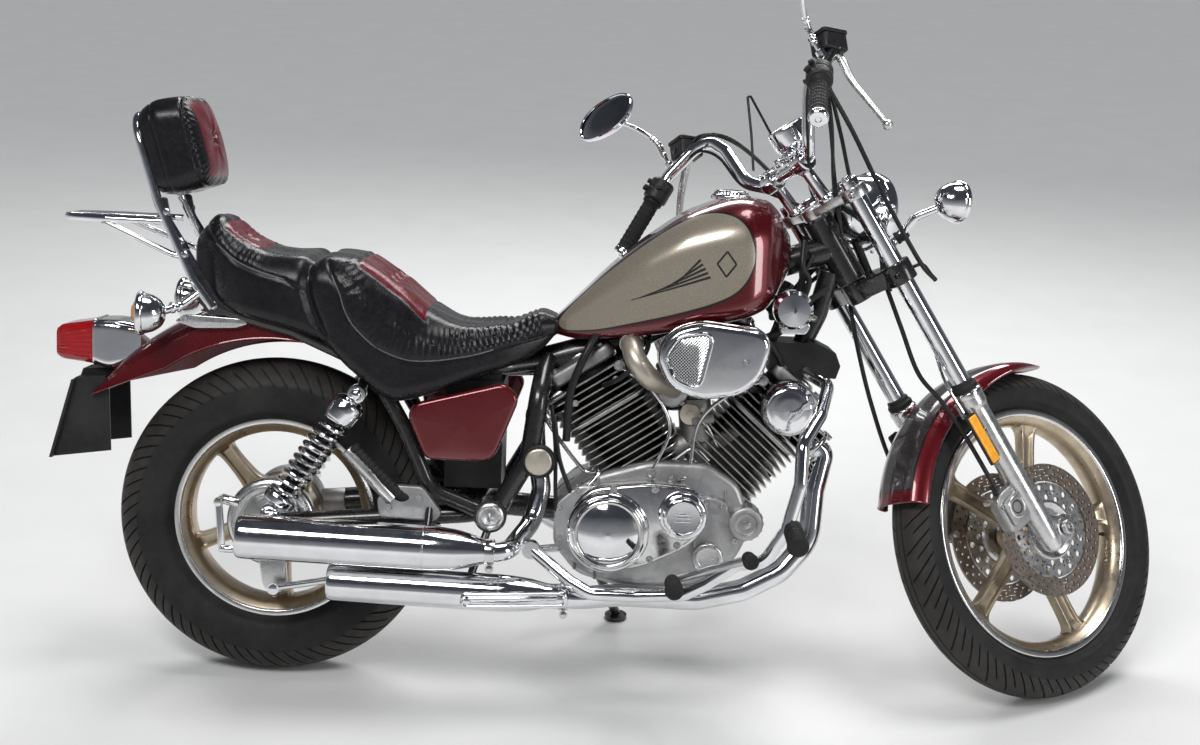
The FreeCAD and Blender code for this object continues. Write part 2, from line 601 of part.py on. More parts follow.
def cylinder(lean_deg):
    """A finned barrel and head, standing on the crankcase and leaning by an angle."""
    outward = 1 if lean_deg > 0 else -1
    parts = [block(V(-58, -58, 90), V(58, 58, HEAD_TOP))]
    for index in range(FIN_COUNT):
        height = FIN_FIRST + FIN_PITCH * index
        in_barrel = index < BARREL_FINS
        reach_in = min(BARREL_REACH, height * math.tan(math.radians(VEE_HALF_DEG)) - 6)
        reach_out = BARREL_REACH if in_barrel else HEAD_REACH
        half_wide = BARREL_HALF_WIDE if in_barrel else HEAD_HALF_WIDE
        low_x = -reach_in if outward > 0 else -reach_out
        high_x = reach_out if outward > 0 else reach_in
        fin = block(V(low_x, -half_wide, height), V(high_x, half_wide, height + FIN_THICKNESS))
        corners = [edge for edge in fin.Edges if abs(edge.tangentAt(edge.FirstParameter).z) > 0.9]
        parts.append(fin.makeFillet(FIN_CORNER, corners))
    parts.append(soft_block(V(-70, -72, HEAD_TOP - 26), V(70, 72, HEAD_TOP + 12), 10))
    barrel = joined(parts)
    barrel.rotate(V(0, 0, 0), Y_AXIS, lean_deg)
    barrel.translate(CRANK)
    return barrel


def along_cylinder(lean_deg, height, across):
    """A point in the middle plane, up a cylinder from the crankshaft and across it."""
    lean = math.radians(lean_deg)
    ahead = math.sin(lean) * height + math.cos(lean) * across
    up = math.cos(lean) * height - math.sin(lean) * across
    return CRANK + V(ahead, 0, up)


PORT_RADIUS = 27.0
REAR_PORT = along_cylinder(REAR_CYLINDER_DEG, 318, -104) + V(0, -30, 0)
FRONT_PORT = along_cylinder(FRONT_CYLINDER_DEG, 296, 104) + V(0, -45, 0)
rear_port_root = along_cylinder(REAR_CYLINDER_DEG, 318, -42) + V(0, -30, 0)
front_port_root = along_cylinder(FRONT_CYLINDER_DEG, 296, 42) + V(0, -45, 0)
rear_cylinder = joined([cylinder(REAR_CYLINDER_DEG), rod(rear_port_root, REAR_PORT, PORT_RADIUS)])
front_cylinder = joined([cylinder(FRONT_CYLINDER_DEG), rod(front_port_root, FRONT_PORT, PORT_RADIUS)])
nodes["rear_cylinder"] = rear_cylinder.cut(nodes["engine_cases"])
nodes["front_cylinder"] = main_piece(front_cylinder.cut(nodes["engine_cases"]))

# Round covers on the heads, the clutch cover on the right and the alternator on the left.
COVER_GAP = 1.0
CAM_PROFILE = [(0, 0), (52, 0), (52, 34), (44, 48), (30, 56), (0, 58)]


def cam_cover(lean_deg, side):
    near = along_cylinder(lean_deg, 315, 0) + V(0, side * (HEAD_HALF_WIDE + COVER_GAP), 0)
    return spun(CAM_PROFILE, near, V(0, side, 0), Z_AXIS)


CLUTCH_PROFILE = [(0, 0), (80, 0), (80, 50), (74, 57), (68, 57), (66, 71), (48, 78), (0, 80)]
STARTER_PROFILE = [(0, 0), (48, 0), (48, 52), (42, 58), (38, 74), (28, 78), (0, 79)]
clutch_big = spun(CLUTCH_PROFILE, on_engine(-128, -CASE_HALF, -15), -Y_AXIS, Z_AXIS)
clutch_small = spun(STARTER_PROFILE, on_engine(15, -CASE_HALF, 23), -Y_AXIS, Z_AXIS)
BRIDGE_OUTLINE = [(-151, 63), (24, 71), (59, 43), (37, -22), (-131, -95)]
bridge = plate([(CRANK_X + x, CRANK_Z + z) for x, z in BRIDGE_OUTLINE], -CASE_HALF - 55, -CASE_HALF)
clutch = joined([clutch_big, clutch_small, bridge])
alternator_profile = [(0, 0), (92, 0), (92, 44), (84, 53), (70, 56), (66, 68), (50, 71), (0, 71)]
alternator = spun(alternator_profile, on_engine(-21, CASE_HALF, -2), Y_AXIS, Z_AXIS)
head_covers = [cam_cover(FRONT_CYLINDER_DEG, -1), cam_cover(REAR_CYLINDER_DEG, 1)]
nodes["engine_covers"] = Part.makeCompound([clutch, alternator] + head_covers)

# Air cleaner covers: a bevelled shell each side, on a pipe from the carburettors.
AIR_OUTLINE = [
    (-53, 338), (-21, 386), (29, 403), (149, 390), (167, 363), (149, 298), (109, 264), (29, 254), (-26, 278),
]
AIR_NEAR = -153.0
AIR_FAR = -204.0
air_points = [(CRANK_X + x, CRANK_Z + z) for x, z in AIR_OUTLINE]
air_right = plate(air_points, AIR_FAR, AIR_NEAR)
air_right = air_right.makeFillet(14, [edge for edge in air_right.Edges if edge.CenterOfMass.y < AIR_FAR + 1])
air_back = rod(on_engine(59, AIR_NEAR - 1, 328), on_engine(59, -60, 328), 40)
air_duct = rod(on_engine(46, -74, 320), on_engine(-11, -34, 262), 20)
air_cover = joined([air_right, air_back, air_duct])

# Carburettors between the cylinders, with the curved intake pipe beside the rear head.
carb = joined([
    rod(on_engine(-11, -52, 248), on_engine(-11, 52, 248), 34),
    rod(on_engine(-11, 0, 208), on_engine(-11, 0, 298), 30),
    tube([
        on_engine(-92, -40, 352), on_engine(-98, -96, 350), on_engine(-88, -126, 318), on_engine(-60, -128, 282),
        on_engine(-14, -60, 262), on_engine(-11, -30, 250),
    ], 21, 40),
])
nodes["carburettors"] = carb.cut(nodes["rear_cylinder"]).cut(nodes["front_cylinder"])

# The tank, seat and body work.
HEAD_X = on_fork(0, 0, HEADSTOCK_LOW).x

# Tank sections: distance behind the headstock's foot, half width, low, high, corner radii.
TANK_TABLE = [
    (580, 40, 704, 738, 12, 15),
    (536, 66, 698, 782, 18, 30),
    (476, 98, 704, 842, 22, 48),
    (396, 128, 716, 908, 26, 66),
    (311, 146, 736, 962, 30, 84),
    (226, 150, 754, 986, 34, 92),
    (181, 134, 772, 982, 36, 86),
    (156, 104, 796, 962, 36, 66),
    (136, 62, 830, 925, 30, 40),
]
tank = skin([(HEAD_X - behind, *rest) for behind, *rest in TANK_TABLE])
nodes["fuel_tank"] = tank.cut(frame)
nodes["carburettors"] = nodes["carburettors"].cut(nodes["fuel_tank"])
for neighbour in ("carburettors", "front_cylinder", "rear_cylinder", "fuel_tank"):
    air_cover = air_cover.cut(nodes[neighbour])
nodes["air_filter_covers"] = both_sides(main_piece(air_cover))

# Seat sections: x, half width, low, high, lower corner radius, upper corner radius.
SEAT_ROWS = [
    (-152, 72, 776, 880, 20, 40),
    (-118, 98, 750, 914, 24, 66),
    (-60, 128, 728, 870, 24, 64),
    (-10, 144, 716, 850, 26, 60),
    (40, 152, 706, 845, 26, 58),
    (100, 156, 684, 850, 28, 62),
    (160, 162, 630, 844, 30, 74),
    (245, 160, 574, 796, 30, 84),
    (310, 150, 588, 746, 28, 74),
    (380, 132, 614, 718, 26, 58),
    (453, 106, 636, 721, 24, 46),
    (519, 74, 674, 745, 18, 34),
    (544, 60, 702, 737, 14, 17),
]
SEAT_CHANNEL = [(-170, 700), (-170, 775), (60, 745), (250, 705), (400, 680), (560, 690), (560, 540), (150, 540)]
seat = skin(SEAT_ROWS)
nodes["seat"] = seat.cut(plate(SEAT_CHANNEL, -112, 112)).cut(frame)

COVER_FACE = -140.0
COVER_OUTLINE = [(268, 548), (283, 572), (455, 618), (484, 588), (442, 478), (425, 462), (305, 462)]
cover = plate(COVER_OUTLINE, COVER_FACE, -LOOP_ASIDE)
cover = cover.makeFillet(8, [edge for edge in cover.Edges if edge.CenterOfMass.y < COVER_FACE + 0.1])
cover_lug = rod(V(312, -LOOP_ASIDE - 6, 505), V(268, -UPRIGHT_ASIDE, 508), 8.0)
nodes["side_covers"] = both_sides(joined([cover, cover_lug]).cut(frame))
nodes["battery_box"] = block(V(338, -80, 400), V(450, 80, 612)).cut(frame)

REAR_FENDER_GAP = 116.0
rear_crown_out = REAR_TYRE_RADIUS + REAR_FENDER_GAP
REAR_FENDER_ROWS = [
    (-96, rear_crown_out - 92), (-95, rear_crown_out - 40), (-80, rear_crown_out - 16),
    (-48, rear_crown_out - 4), (0, rear_crown_out), (48, rear_crown_out - 4),
    (80, rear_crown_out - 16), (95, rear_crown_out - 40), (96, rear_crown_out - 92),
]
rear_arch = arch(REAR_AXLE, REAR_FENDER_ROWS, FENDER_SHEET, 60, 152)
TAIL_OUTLINE = [(-215, 590), (-380, 551), (-520, 540), (-520, 300), (-215, 300)]
nodes["rear_fender"] = rear_arch.cut(plate(TAIL_OUTLINE, -150, 150)).cut(frame)

lamp_body = skin([(-372, 54, 612, 698, 14, 16), (-330, 56, 604, 700, 14, 16), (-268, 44, 620, 690, 14, 16)])
nodes["tail_lamp"] = main_piece(lamp_body.cut(nodes["rear_fender"]))
nodes["tail_lens"] = skin([(-450, 46, 624, 682, 10, 12), (-372, 54, 612, 698, 14, 16)])

# The plate bracket: a flap between two gussets, drilled for a plate.
FLAP_HALF = 88.0
PLATE_HOLE_RADIUS = 3.5
PLATE_HOLE_ASIDE = 80.0
PLATE_HOLE_UP = 470.0
FLAP_TOP = V(-386, 0, 585)
FLAP_FOOT = V(-436, 0, 430)
flap_way = unit(FLAP_TOP - FLAP_FOOT)
flap_face = unit(Y_AXIS.cross(flap_way))
flap = plate([(-392, 585), (-386, 585), (-430, 430), (-436, 430)], -FLAP_HALF, FLAP_HALF)
gusset = plate([(-388, 585), (-322, 590), (-318, 446), (-434, 430)], 72, 76)
flap_arm = plate([(-400, 560), (-386, 600), (-330, 604), (-330, 560)], -30, 30)
flap_rail = plate([(-392, 568), (-388, 588), (-330, 592), (-330, 572)], -76, 76)
bracket = joined([flap, gusset, mirrored(gusset), flap_arm, flap_rail])
hole_x = FLAP_FOOT.x + (PLATE_HOLE_UP - FLAP_FOOT.z) * flap_way.x / flap_way.z
for aside in (PLATE_HOLE_ASIDE, -PLATE_HOLE_ASIDE):
    middle = V(hole_x, aside, PLATE_HOLE_UP)
    bracket = bracket.cut(rod(middle - flap_face * 20, middle + flap_face * 20, PLATE_HOLE_RADIUS))
nodes["plate_bracket"] = main_piece(bracket.cut(nodes["rear_fender"]).cut(nodes["tail_lamp"]))

# The backrest: side plates up from the rails, a bent bar, the pad and the rack behind it.
SISSY_RADIUS = 9.0
PAD_FOOT = V(-206, 0, 945)
PAD_UP = unit(V(-54, 0, 188))
PAD_FACE = unit(V(188, 0, 54))
upright_path = [V(-112, 112, 738), V(-150, 110, 790), V(-222, 94, 935), V(-275, 84, 1098)]
sissy_left = tube(upright_path, SISSY_RADIUS, 60)
side_plate = plate([(-176, 848), (-160, 850), (-100, 752), (-60, 724), (-120, 724), (-150, 760)], 103, 109)
upper_plate = plate([(-222, 946), (-204, 946), (-196, 906), (-158, 846), (-178, 846), (-214, 906)], 94, 100)
sissy_cross = rod(V(-275, -84, 1098), V(-275, 84, 1098), SISSY_RADIUS)
sissy_side = joined([sissy_left, side_plate, upper_plate])
sissy = joined([sissy_side, mirrored(sissy_side), sissy_cross])
nodes["sissy_bar"] = sissy.cut(nodes["rear_fender"]).cut(frame).cut(nodes["seat"])

# Each rear signal stands on a stalk from the foot of the backrest bar.
rear_stalk = tube([V(-134, 108, 770), V(-168, 124, 742), V(-215, 150, 729)], 8.0, 30)
rear_signal = joined([signal(V(-226, 166, 729), unit(V(-1, 0.1, 0))), rear_stalk])
rear_signal = rear_signal.cut(nodes["sissy_bar"]).cut(nodes["rear_fender"])
nodes["rear_signals"] = both_sides(main_piece(rear_signal))

# Pad sections: depth ahead of its back, half width, low, high, corner radius.
PAD_TABLE = ((-13, 96, 14, 168, 30), (0, 102, 6, 176, 34), (30, 112, 0, 184, 40), (72, 108, 2, 180, 44), (96, 84, 20, 158, 40))
pad_wires = []
for depth, half, low, high, corner in PAD_TABLE:
    pad_wires.append(section(PAD_FOOT + PAD_FACE * depth, Y_AXIS, PAD_UP, half, low, high, corner, corner))
nodes["backrest_pad"] = Part.makeLoft(pad_wires, True, False).cut(nodes["sissy_bar"])

RACK_TOP = 908.0
RACK_SLAT_HALF = 9.0
rack_side = tube([V(-216, 84, 898), V(-330, 80, 900), V(-410, 60, 901), V(-414, 0, 901)], 7.0, 40)
rack_parts = [rack_side, mirrored(rack_side)]
for aside in (-40, 0, 40):
    low = V(-412, aside - RACK_SLAT_HALF, RACK_TOP - 6)
    rack_parts.append(block(low, V(-236, aside + RACK_SLAT_HALF, RACK_TOP)))
rack_parts.append(block(V(-250, -84, 895), V(-232, 84, 903)))
strut = tube([V(-330, 76, 893), V(-196, 98, 838), V(-178, 98, 834)], 6.0, 20)
rack_parts += [strut, mirrored(strut), rod(V(-330, -80, 895), V(-330, 80, 895), 6.0)]
nodes["luggage_rack"] = joined(rack_parts).cut(nodes["sissy_bar"])

# The rear suspension and drive: the arm, its shaft case, and the brake on the right.
ARM_ASIDE = 112.0
BRAKE_RADIUS = 88.0
BRAKE_PROFILE = [(0, 66), (BRAKE_RADIUS, 66), (BRAKE_RADIUS, 80), (78, 88), (60, 88), (56, 93), (0, 93)]
DRIVE_PROFILE = [(0, 76), (76, 76), (76, 132), (62, 146), (30, 150), (0, 150)]
right_arm = tube([PIVOT + V(0, -74, 0), PIVOT + V(-54, -90, -6), on_rear(40, -102, 6), on_rear(0, -102, 0)], 19.0, 60)
left_arm = tube([
    PIVOT + V(0, 74, 0), PIVOT + V(-50, 108, -6), on_rear(90, ARM_ASIDE, 6), on_rear(0, ARM_ASIDE, 0),
], 26.0, 60)
drive_case = joined([
    spun(DRIVE_PROFILE, REAR_AXLE, Y_AXIS, Z_AXIS), rod(on_rear(0, 106, 0), on_rear(120, 106, 8), 27),
])
brake_plate = spun(BRAKE_PROFILE, REAR_AXLE, -Y_AXIS, Z_AXIS)
swing_parts = [right_arm, left_arm, drive_case, brake_plate]
swing_parts.append(rod(PIVOT + V(0, -84, 0), PIVOT + V(0, 84, 0), 22))
swing_parts.append(rod(on_rear(0, -132, 0), on_rear(0, 150, 0), AXLE_RADIUS))
for side in (1, -1):
    swing_parts.append(rod(on_rear(10, side * 96, 14), SHOCK_FOOT - V(0, SHOCK_FOOT.y * (1 - side), 0) + V(0, side * 6, 0), 10))

# The rear brake's torque rod, arm and pull rod.
TORQUE_END = on_rear(12, -112, -125)
torque_lug = rod(on_rear(6, -86, -78), TORQUE_END + V(0, 26, 0), 13)
torque_bolt = rod(TORQUE_END + V(0, 30, 0), TORQUE_END - V(0, 8, 0), 9)
torque_rod = tube([TORQUE_END, on_rear(200, -112, -90), on_rear(300, -104, -60), on_rear(330, -98, 12)], 7.0, 60)
brake_arm = tube([on_rear(-62, -84, 36), on_rear(-98, -110, 50), on_rear(-100, -118, 0), on_rear(-86, -120, -48)], 8.0, 20)
pull_rod = rod(on_rear(-86, -120, -48), on_rear(300, -116, -66), 4.0)
swing_parts += [torque_lug, torque_bolt, torque_rod, brake_arm, pull_rod]
nodes["swingarm"] = joined(swing_parts).cut(frame)

# A damper with its coil spring, from the frame eye down to the arm eye.
SPRING_RADIUS = 30.0
SPRING_START = 44.0
SPRING_END = 236.0
DAMPER_RADIUS = 15.0


def shock(side):
    top = V(SHOCK_TOP.x, side * SHOCK_TOP.y, SHOCK_TOP.z)
    foot = V(SHOCK_FOOT.x, side * SHOCK_FOOT.y, SHOCK_FOOT.z)
    along = unit(foot - top)
    eye_top = rod(top - V(0, 12, 0), top + V(0, 12, 0), 16)
    eye_foot = rod(foot - V(0, 12, 0), foot + V(0, 12, 0), 18)
    body = rod(top, foot, DAMPER_RADIUS)
    spring = rod(top + along * SPRING_START, top + along * SPRING_END, SPRING_RADIUS)
    cap = rod(top + along * 18, top + along * SPRING_START, SPRING_RADIUS + 3)
    return joined([eye_top, eye_foot, body, spring, cap])


nodes["shocks"] = Part.makeCompound([shock(1), shock(-1)]).cut(frame).cut(nodes["swingarm"])

# Exhausts, both on the right, one above the other.
UPPER_NOSE = V(432, -206, 303)
LOWER_NOSE = V(575, -176, 213)
MUFFLER_WAY = unit(V(-460, 0, 12))
NECK = 21.0


def muffler(nose, length, radius, neck):
    """A long bullet with a rolled tail, spun from its side profile."""
    profile = [
        (0, length), (radius - 9, length), (radius - 7, length + 3), (radius - 1, length - 1),
        (radius, length - 11), (radius, 110), (radius - 3, 66), (radius - 10, 26),
        (neck + 1, 3), (neck, 0), (0, 0),
    ]
    return spun(profile, nose, MUFFLER_WAY, Y_AXIS)


upper_muffler = muffler(UPPER_NOSE, UPPER_MUFFLER_LENGTH, UPPER_MUFFLER_RADIUS, NECK)
lower_muffler = muffler(LOWER_NOSE, LOWER_MUFFLER_LENGTH, LOWER_MUFFLER_RADIUS, HEADER_RADIUS + 1)
nodes["mufflers"] = Part.makeCompound([upper_muffler, lower_muffler])

rear_header = tube([
    REAR_PORT, REAR_PORT + V(-21, 0, -13.6), on_engine(-273, -62, 118), on_engine(-261, -70, 48),
    on_engine(-279, -92, -17), UPPER_NOSE - MUFFLER_WAY * 40, UPPER_NOSE,
], HEADER_RADIUS - 3, 50)
front_header = tube([
    FRONT_PORT, FRONT_PORT + V(16.5, 0, -14.9), on_engine(275, -60, 64), on_engine(269, -76, -32),
    on_engine(214, -94, -94), on_engine(139, -106, -131), on_engine(49, -112, -151), on_engine(-101, -126, -145),
    LOWER_NOSE - MUFFLER_WAY * 40, LOWER_NOSE,
], HEADER_RADIUS, 80)
nodes["exhaust_headers"] = Part.makeCompound([
    rear_header.cut(nodes["rear_cylinder"]), front_header.cut(nodes["front_cylinder"]),
])

hangers = [
    rod(V(318, -LOOP_ASIDE, 395), V(318, -200, 330), 8),
    rod(PIVOT + V(0, -LOOP_ASIDE, -16), PIVOT + V(-34, -172, -116), 8),
]
frame = joined([frame] + hangers).cut(nodes["mufflers"])
nodes["frame"] = frame.cut(nodes["engine_cases"]).cut(nodes["rear_cylinder"]).cut(nodes["front_cylinder"])

# Engine guards with the pegs.
guard = tube([
    on_engine(249, -60, 298), on_engine(284, -130, 284), on_engine(262, -205, 236), on_engine(225, -262, 190),
    on_engine(223, -280, 118), on_engine(202, -282, 32), on_engine(164, -266, -36), on_engine(118, -240, -46),
    on_engine(62, -226, -90), on_engine(18, -218, -116), on_engine(-73, -216, -122), on_engine(-156, -214, -122),
    on_engine(-197, -196, -104), on_engine(-239, -174, -76), V(520, -160, 298),
], GUARD_RADIUS, 40)
guard_ring = rod(V(516, -172, 300), V(516, -150, 300), 17)
guard_bracket = rod(on_engine(-215, -CASE_HALF + 5, -60), V(520, -158, 298), 8)
guard = joined([guard, guard_ring, guard_bracket])
guard_side = guard
guard_cuts = (nodes["engine_cases"], nodes["front_cylinder"], nodes["frame"], nodes["exhaust_headers"])
for other in guard_cuts:
    guard_side = guard_side.cut(other)
left_guard = mirrored(guard)
for other in guard_cuts:
    left_guard = left_guard.cut(other)
nodes["engine_guards"] = Part.makeCompound([guard_side, left_guard])

PEG_RADIUS = 14.0
rider_peg = rod(on_engine(-3, -212, -92), on_engine(-3, -322, -82), PEG_RADIUS)
highway_peg = rod(on_engine(212, -282, 36), on_engine(214, -372, 20), PEG_RADIUS + 3)
passenger_peg = tube([V(330, -122, 385), V(262, -150, 392), V(196, -152, 440)], 12, 20)
own_pegs = both_sides(Part.makeCompound([rider_peg, highway_peg])).cut(nodes["engine_guards"])
nodes["foot_pegs"] = Part.makeCompound([own_pegs, both_sides(passenger_peg.cut(frame))])
pedal = tube([on_engine(-3, -206, -92), on_engine(69, -234, -60), on_engine(135, -266, -32)], 8, 30)
pedal_pad = rod(on_engine(135, -254, -30), on_engine(135, -322, -22), 12)
right_pedal = joined([pedal, pedal_pad])
nodes["foot_controls"] = both_sides(right_pedal).cut(nodes["engine_guards"]).cut(nodes["foot_pegs"])

# Ahead of the engine: the regulator's black cowl below the tank, and the horns above it.
COWL_HALF = 62.0
COWL_OUTLINE = [(176, 288), (176, 355), (269, 355), (304, 338), (314, 313), (306, 288)]
cowl = plate([(CRANK_X + x, CRANK_Z + z) for x, z in COWL_OUTLINE], -COWL_HALF, COWL_HALF)
cowl = cowl.cut(nodes["engine_guards"]).cut(nodes["front_cylinder"]).cut(nodes["engine_covers"])
nodes["front_cowl"] = cowl.cut(nodes["frame"])

HORN_RADIUS = 38.0
HORN_CENTRE = on_engine(209, -110, 426)
HORN_BRACKET = V(1054, -12, 752)
horn_profile = [(0, 0), (HORN_RADIUS, 0), (HORN_RADIUS, 26), (HORN_RADIUS - 7, 36), (0, 40)]
horn = joined([spun(horn_profile, HORN_CENTRE, -Y_AXIS, Z_AXIS), rod(HORN_CENTRE - V(0, 6, 0), HORN_BRACKET, 9)])
nodes["horns"] = both_sides(horn).cut(nodes["frame"]).cut(nodes["fuel_tank"])

# The side stand, down and resting on the floor.
STAND_PIVOT = V(640, 150, 215)
STAND_AXIS = unit(V(0.12, 0.9, -0.42))
STAND_PIN_RADIUS = 6.0


def lean_matrix(pitch_deg):
    """The whole machine leaned over and pitched to stand on both tyres."""
    turn = FreeCAD.Rotation(X_AXIS, -LEAN_DEG).multiply(FreeCAD.Rotation(Y_AXIS, pitch_deg))
    return FreeCAD.Placement(V(0, 0, 0), turn)


def steered(point):
    return STEER_TURN.multVec(point - STEER_FOOT) + STEER_FOOT


def lowest(centre, axle, radius, crown):
    """The lowest height of a round-crowned tyre on a leaning axle."""
    return centre.z - (radius - crown) * math.sqrt(1 - axle.z ** 2) - crown


def tyre_heights(pitch_deg):
    placement = lean_matrix(pitch_deg)
    rear_axle_way = placement.Rotation.multVec(Y_AXIS)
    front_way = placement.Rotation.multVec(STEER_TURN.multVec(Y_AXIS))
    rear = lowest(placement.multVec(REAR_AXLE), rear_axle_way, REAR_TYRE_RADIUS, REAR_CROWN_RADIUS)
    front = lowest(placement.multVec(steered(FRONT_AXLE)), front_way, FRONT_TYRE_RADIUS, FRONT_CROWN_RADIUS)
    return rear, front


nose_up = -3.0
nose_down = 3.0
for step in range(50):
    pitch = (nose_up + nose_down) / 2.0
    rear_height, front_height = tyre_heights(pitch)
    if front_height > rear_height:
        nose_up = pitch
    else:
        nose_down = pitch
parked = lean_matrix(pitch)
parked.Base = V(0, 0, -rear_height)

# The stand's foot is placed on the floor, so it is drawn last.
STAND_LEG_RADIUS = 10.0
STAND_PAD_RADIUS = 24.0
STAND_PAD_HALF = 3.0
foot_world = parked.multVec(V(690, 268, 45))
foot_world.z = STAND_PAD_HALF
stand_foot = parked.inverse().multVec(foot_world + V(0, 0, STAND_PAD_HALF * 3))
stand_leg = tube([STAND_PIVOT, STAND_PIVOT + V(8, 22, -40), stand_foot], STAND_LEG_RADIUS, 30)
stand_pad = rod(V(0, 0, -STAND_PAD_HALF), V(0, 0, STAND_PAD_HALF * 2), STAND_PAD_RADIUS)
stand_pad.translate(foot_world)
stand_pad.Placement = parked.inverse().multiply(stand_pad.Placement)
stand_eye = rod(STAND_PIVOT - STAND_AXIS * 9, STAND_PIVOT + STAND_AXIS * 9, 18)
stand = joined([stand_leg, stand_pad, stand_eye])
pin_hole = rod(STAND_PIVOT - STAND_AXIS * 30, STAND_PIVOT + STAND_AXIS * 30, STAND_PIN_RADIUS + RUNNING_CLEARANCE)
nodes["side_stand"] = stand.cut(pin_hole)
stand_bracket = joined([
    rod(STAND_PIVOT - STAND_AXIS * 26, STAND_PIVOT + STAND_AXIS * 16, STAND_PIN_RADIUS),
    rod(STAND_PIVOT - STAND_AXIS * 26, STAND_PIVOT - STAND_AXIS * 10, 20.0),
    rod(STAND_PIVOT - STAND_AXIS * 20, V(640, 90, 260), 14.0),
])
nodes["frame"] = nodes["frame"].fuse(stand_bracket.cut(nodes["engine_cases"]))

steering = FreeCAD.Placement(STEER_FOOT, STEER_TURN).multiply(FreeCAD.Placement(-STEER_FOOT, FreeCAD.Rotation()))
for name in STEERED + FRONT_WHEEL:
    nodes[name].Placement = steering.multiply(nodes[name].Placement)
extent = FreeCAD.BoundBox()
for name in nodes:
    nodes[name].Placement = parked.multiply(nodes[name].Placement)
    for corner in nodes[name].tessellate(0.5)[0]:
        extent.add(corner)
shift = V(-(extent.XMin + extent.XMax) / 2, -(extent.YMin + extent.YMax) / 2, 0)

os.makedirs("parts", exist_ok=True)
for name, shape in nodes.items():
    shape.translate(shift)
    shape.exportStep(os.path.join("parts", name + ".step"))


def placed(point, turned):
    here = steered(point) if turned else point
    return parked.multVec(here) + shift


def direction(way, turned):
    here = STEER_TURN.multVec(way) if turned else way
    return parked.Rotation.multVec(here)


for label, point, way, turned in (
    ("rear_wheel", REAR_AXLE, Y_AXIS, False),
    ("front_wheel", FRONT_AXLE, Y_AXIS, True),
    ("steering", on_fork(0, 0, 1050), STEER_UP, True),
    ("side_stand", STAND_PIVOT, STAND_AXIS, False),
    ("rack_top", V(-324, 0, RACK_TOP), Z_AXIS, False),
    ("plate_holes", V(hole_x, 0, PLATE_HOLE_UP), flap_face, False),
):
    spot = placed(point, turned)
    axis = direction(way, turned)
    print("JOINT", label, spot.x, spot.y, spot.z, axis.x, axis.y, axis.z)
for name, shape in nodes.items():
    low = min(corner.z for corner in shape.tessellate(0.5)[0])
    print("NODE", round(low, 1), name, shape.isValid(), len(shape.Solids), round(shape.Volume / 1000), len(shape.Faces))
print("BOX", extent.XLength, extent.YLength, extent.ZMin, extent.ZMax)
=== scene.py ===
import bpy
import json
import math
import numpy as np
from mathutils import Matrix


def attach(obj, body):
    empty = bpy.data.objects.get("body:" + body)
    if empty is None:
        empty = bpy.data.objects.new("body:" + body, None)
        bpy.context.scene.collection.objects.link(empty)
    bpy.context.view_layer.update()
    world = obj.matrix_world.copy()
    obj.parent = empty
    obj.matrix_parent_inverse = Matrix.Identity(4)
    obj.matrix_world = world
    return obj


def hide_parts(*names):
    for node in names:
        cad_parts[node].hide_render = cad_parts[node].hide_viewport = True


# Looks of the cruiser motorcycle. Every surface is computed on the upright machine in
# millimetres (X forward, Y to the left, Z up, origin on the floor below the rear axle),
# then turned with the fork where it belongs to it, and leaned over as the machine is parked.
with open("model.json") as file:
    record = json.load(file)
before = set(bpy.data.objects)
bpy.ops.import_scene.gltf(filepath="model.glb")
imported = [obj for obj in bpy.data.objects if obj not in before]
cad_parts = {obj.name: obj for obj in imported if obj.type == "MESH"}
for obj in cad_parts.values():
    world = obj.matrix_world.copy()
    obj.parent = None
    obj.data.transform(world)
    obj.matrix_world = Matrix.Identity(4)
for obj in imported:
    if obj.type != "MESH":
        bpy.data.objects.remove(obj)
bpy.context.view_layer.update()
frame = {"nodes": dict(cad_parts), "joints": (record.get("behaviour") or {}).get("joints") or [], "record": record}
joint_at = {joint["name"]: np.array(joint["pos_m"], float) for joint in frame["joints"]}

# The same driving sizes as the construction, in millimetres and degrees.
LEAN_DEG = 10.0
PITCH_DEG = 0.45176
STEER_DEG = 36.0
RAKE_DEG = 32.5
WHEELBASE = 1525.0
TRAIL = 130.0
REAR_RADIUS = 316.0
FRONT_RADIUS = 331.0
REAR_RIM = 204.5
FRONT_RIM = 254.0
LEG_AHEAD = 31.0
LEG_ASIDE = 97.0
BAR_TILT_DEG = 6.1
CRANK_X, CRANK_Z = 791, 352
MM = 0.001
AHEAD, LEFT, RIGHT, UP = (1, 0, 0), (0, 1, 0), (0, -1, 0), (0, 0, 1)
SIDES = ((-1, "right"), (1, "left"))


def about(axis, degrees):
    """The 3 by 3 rotation about an axis: I + sin a K + (1 - cos a) K K."""
    x, y, z = np.array(axis, float) / np.linalg.norm(axis)
    cross = np.array([[0, -z, y], [z, 0, -x], [-y, x, 0]])
    angle = math.radians(degrees)
    return np.eye(3) + math.sin(angle) * cross + (1 - math.cos(angle)) * cross @ cross


RAKE = math.radians(RAKE_DEG)
STEER_FOOT = np.array([WHEELBASE + TRAIL, 0, 0])
STEER_UP = np.array([-math.sin(RAKE), 0, math.cos(RAKE)])
STEER_AHEAD = np.array([math.cos(RAKE), 0, math.sin(RAKE)])
STEER_TURN = about(STEER_UP, STEER_DEG)
STAND_TURN = about(AHEAD, -LEAN_DEG) @ about(LEFT, PITCH_DEG)
REAR_AXLE = np.array([0, 0, REAR_RADIUS])
FRONT_AXLE = np.array([WHEELBASE, 0, FRONT_RADIUS])
STAND_SHIFT = joint_at["rear_wheel_spin"] - STAND_TURN @ REAR_AXLE * MM
STEERED = ("fork", "front_wheel")


def vec(*numbers):
    return np.array(numbers, float)


def unit(direction):
    return np.asarray(direction, float) / np.linalg.norm(direction)


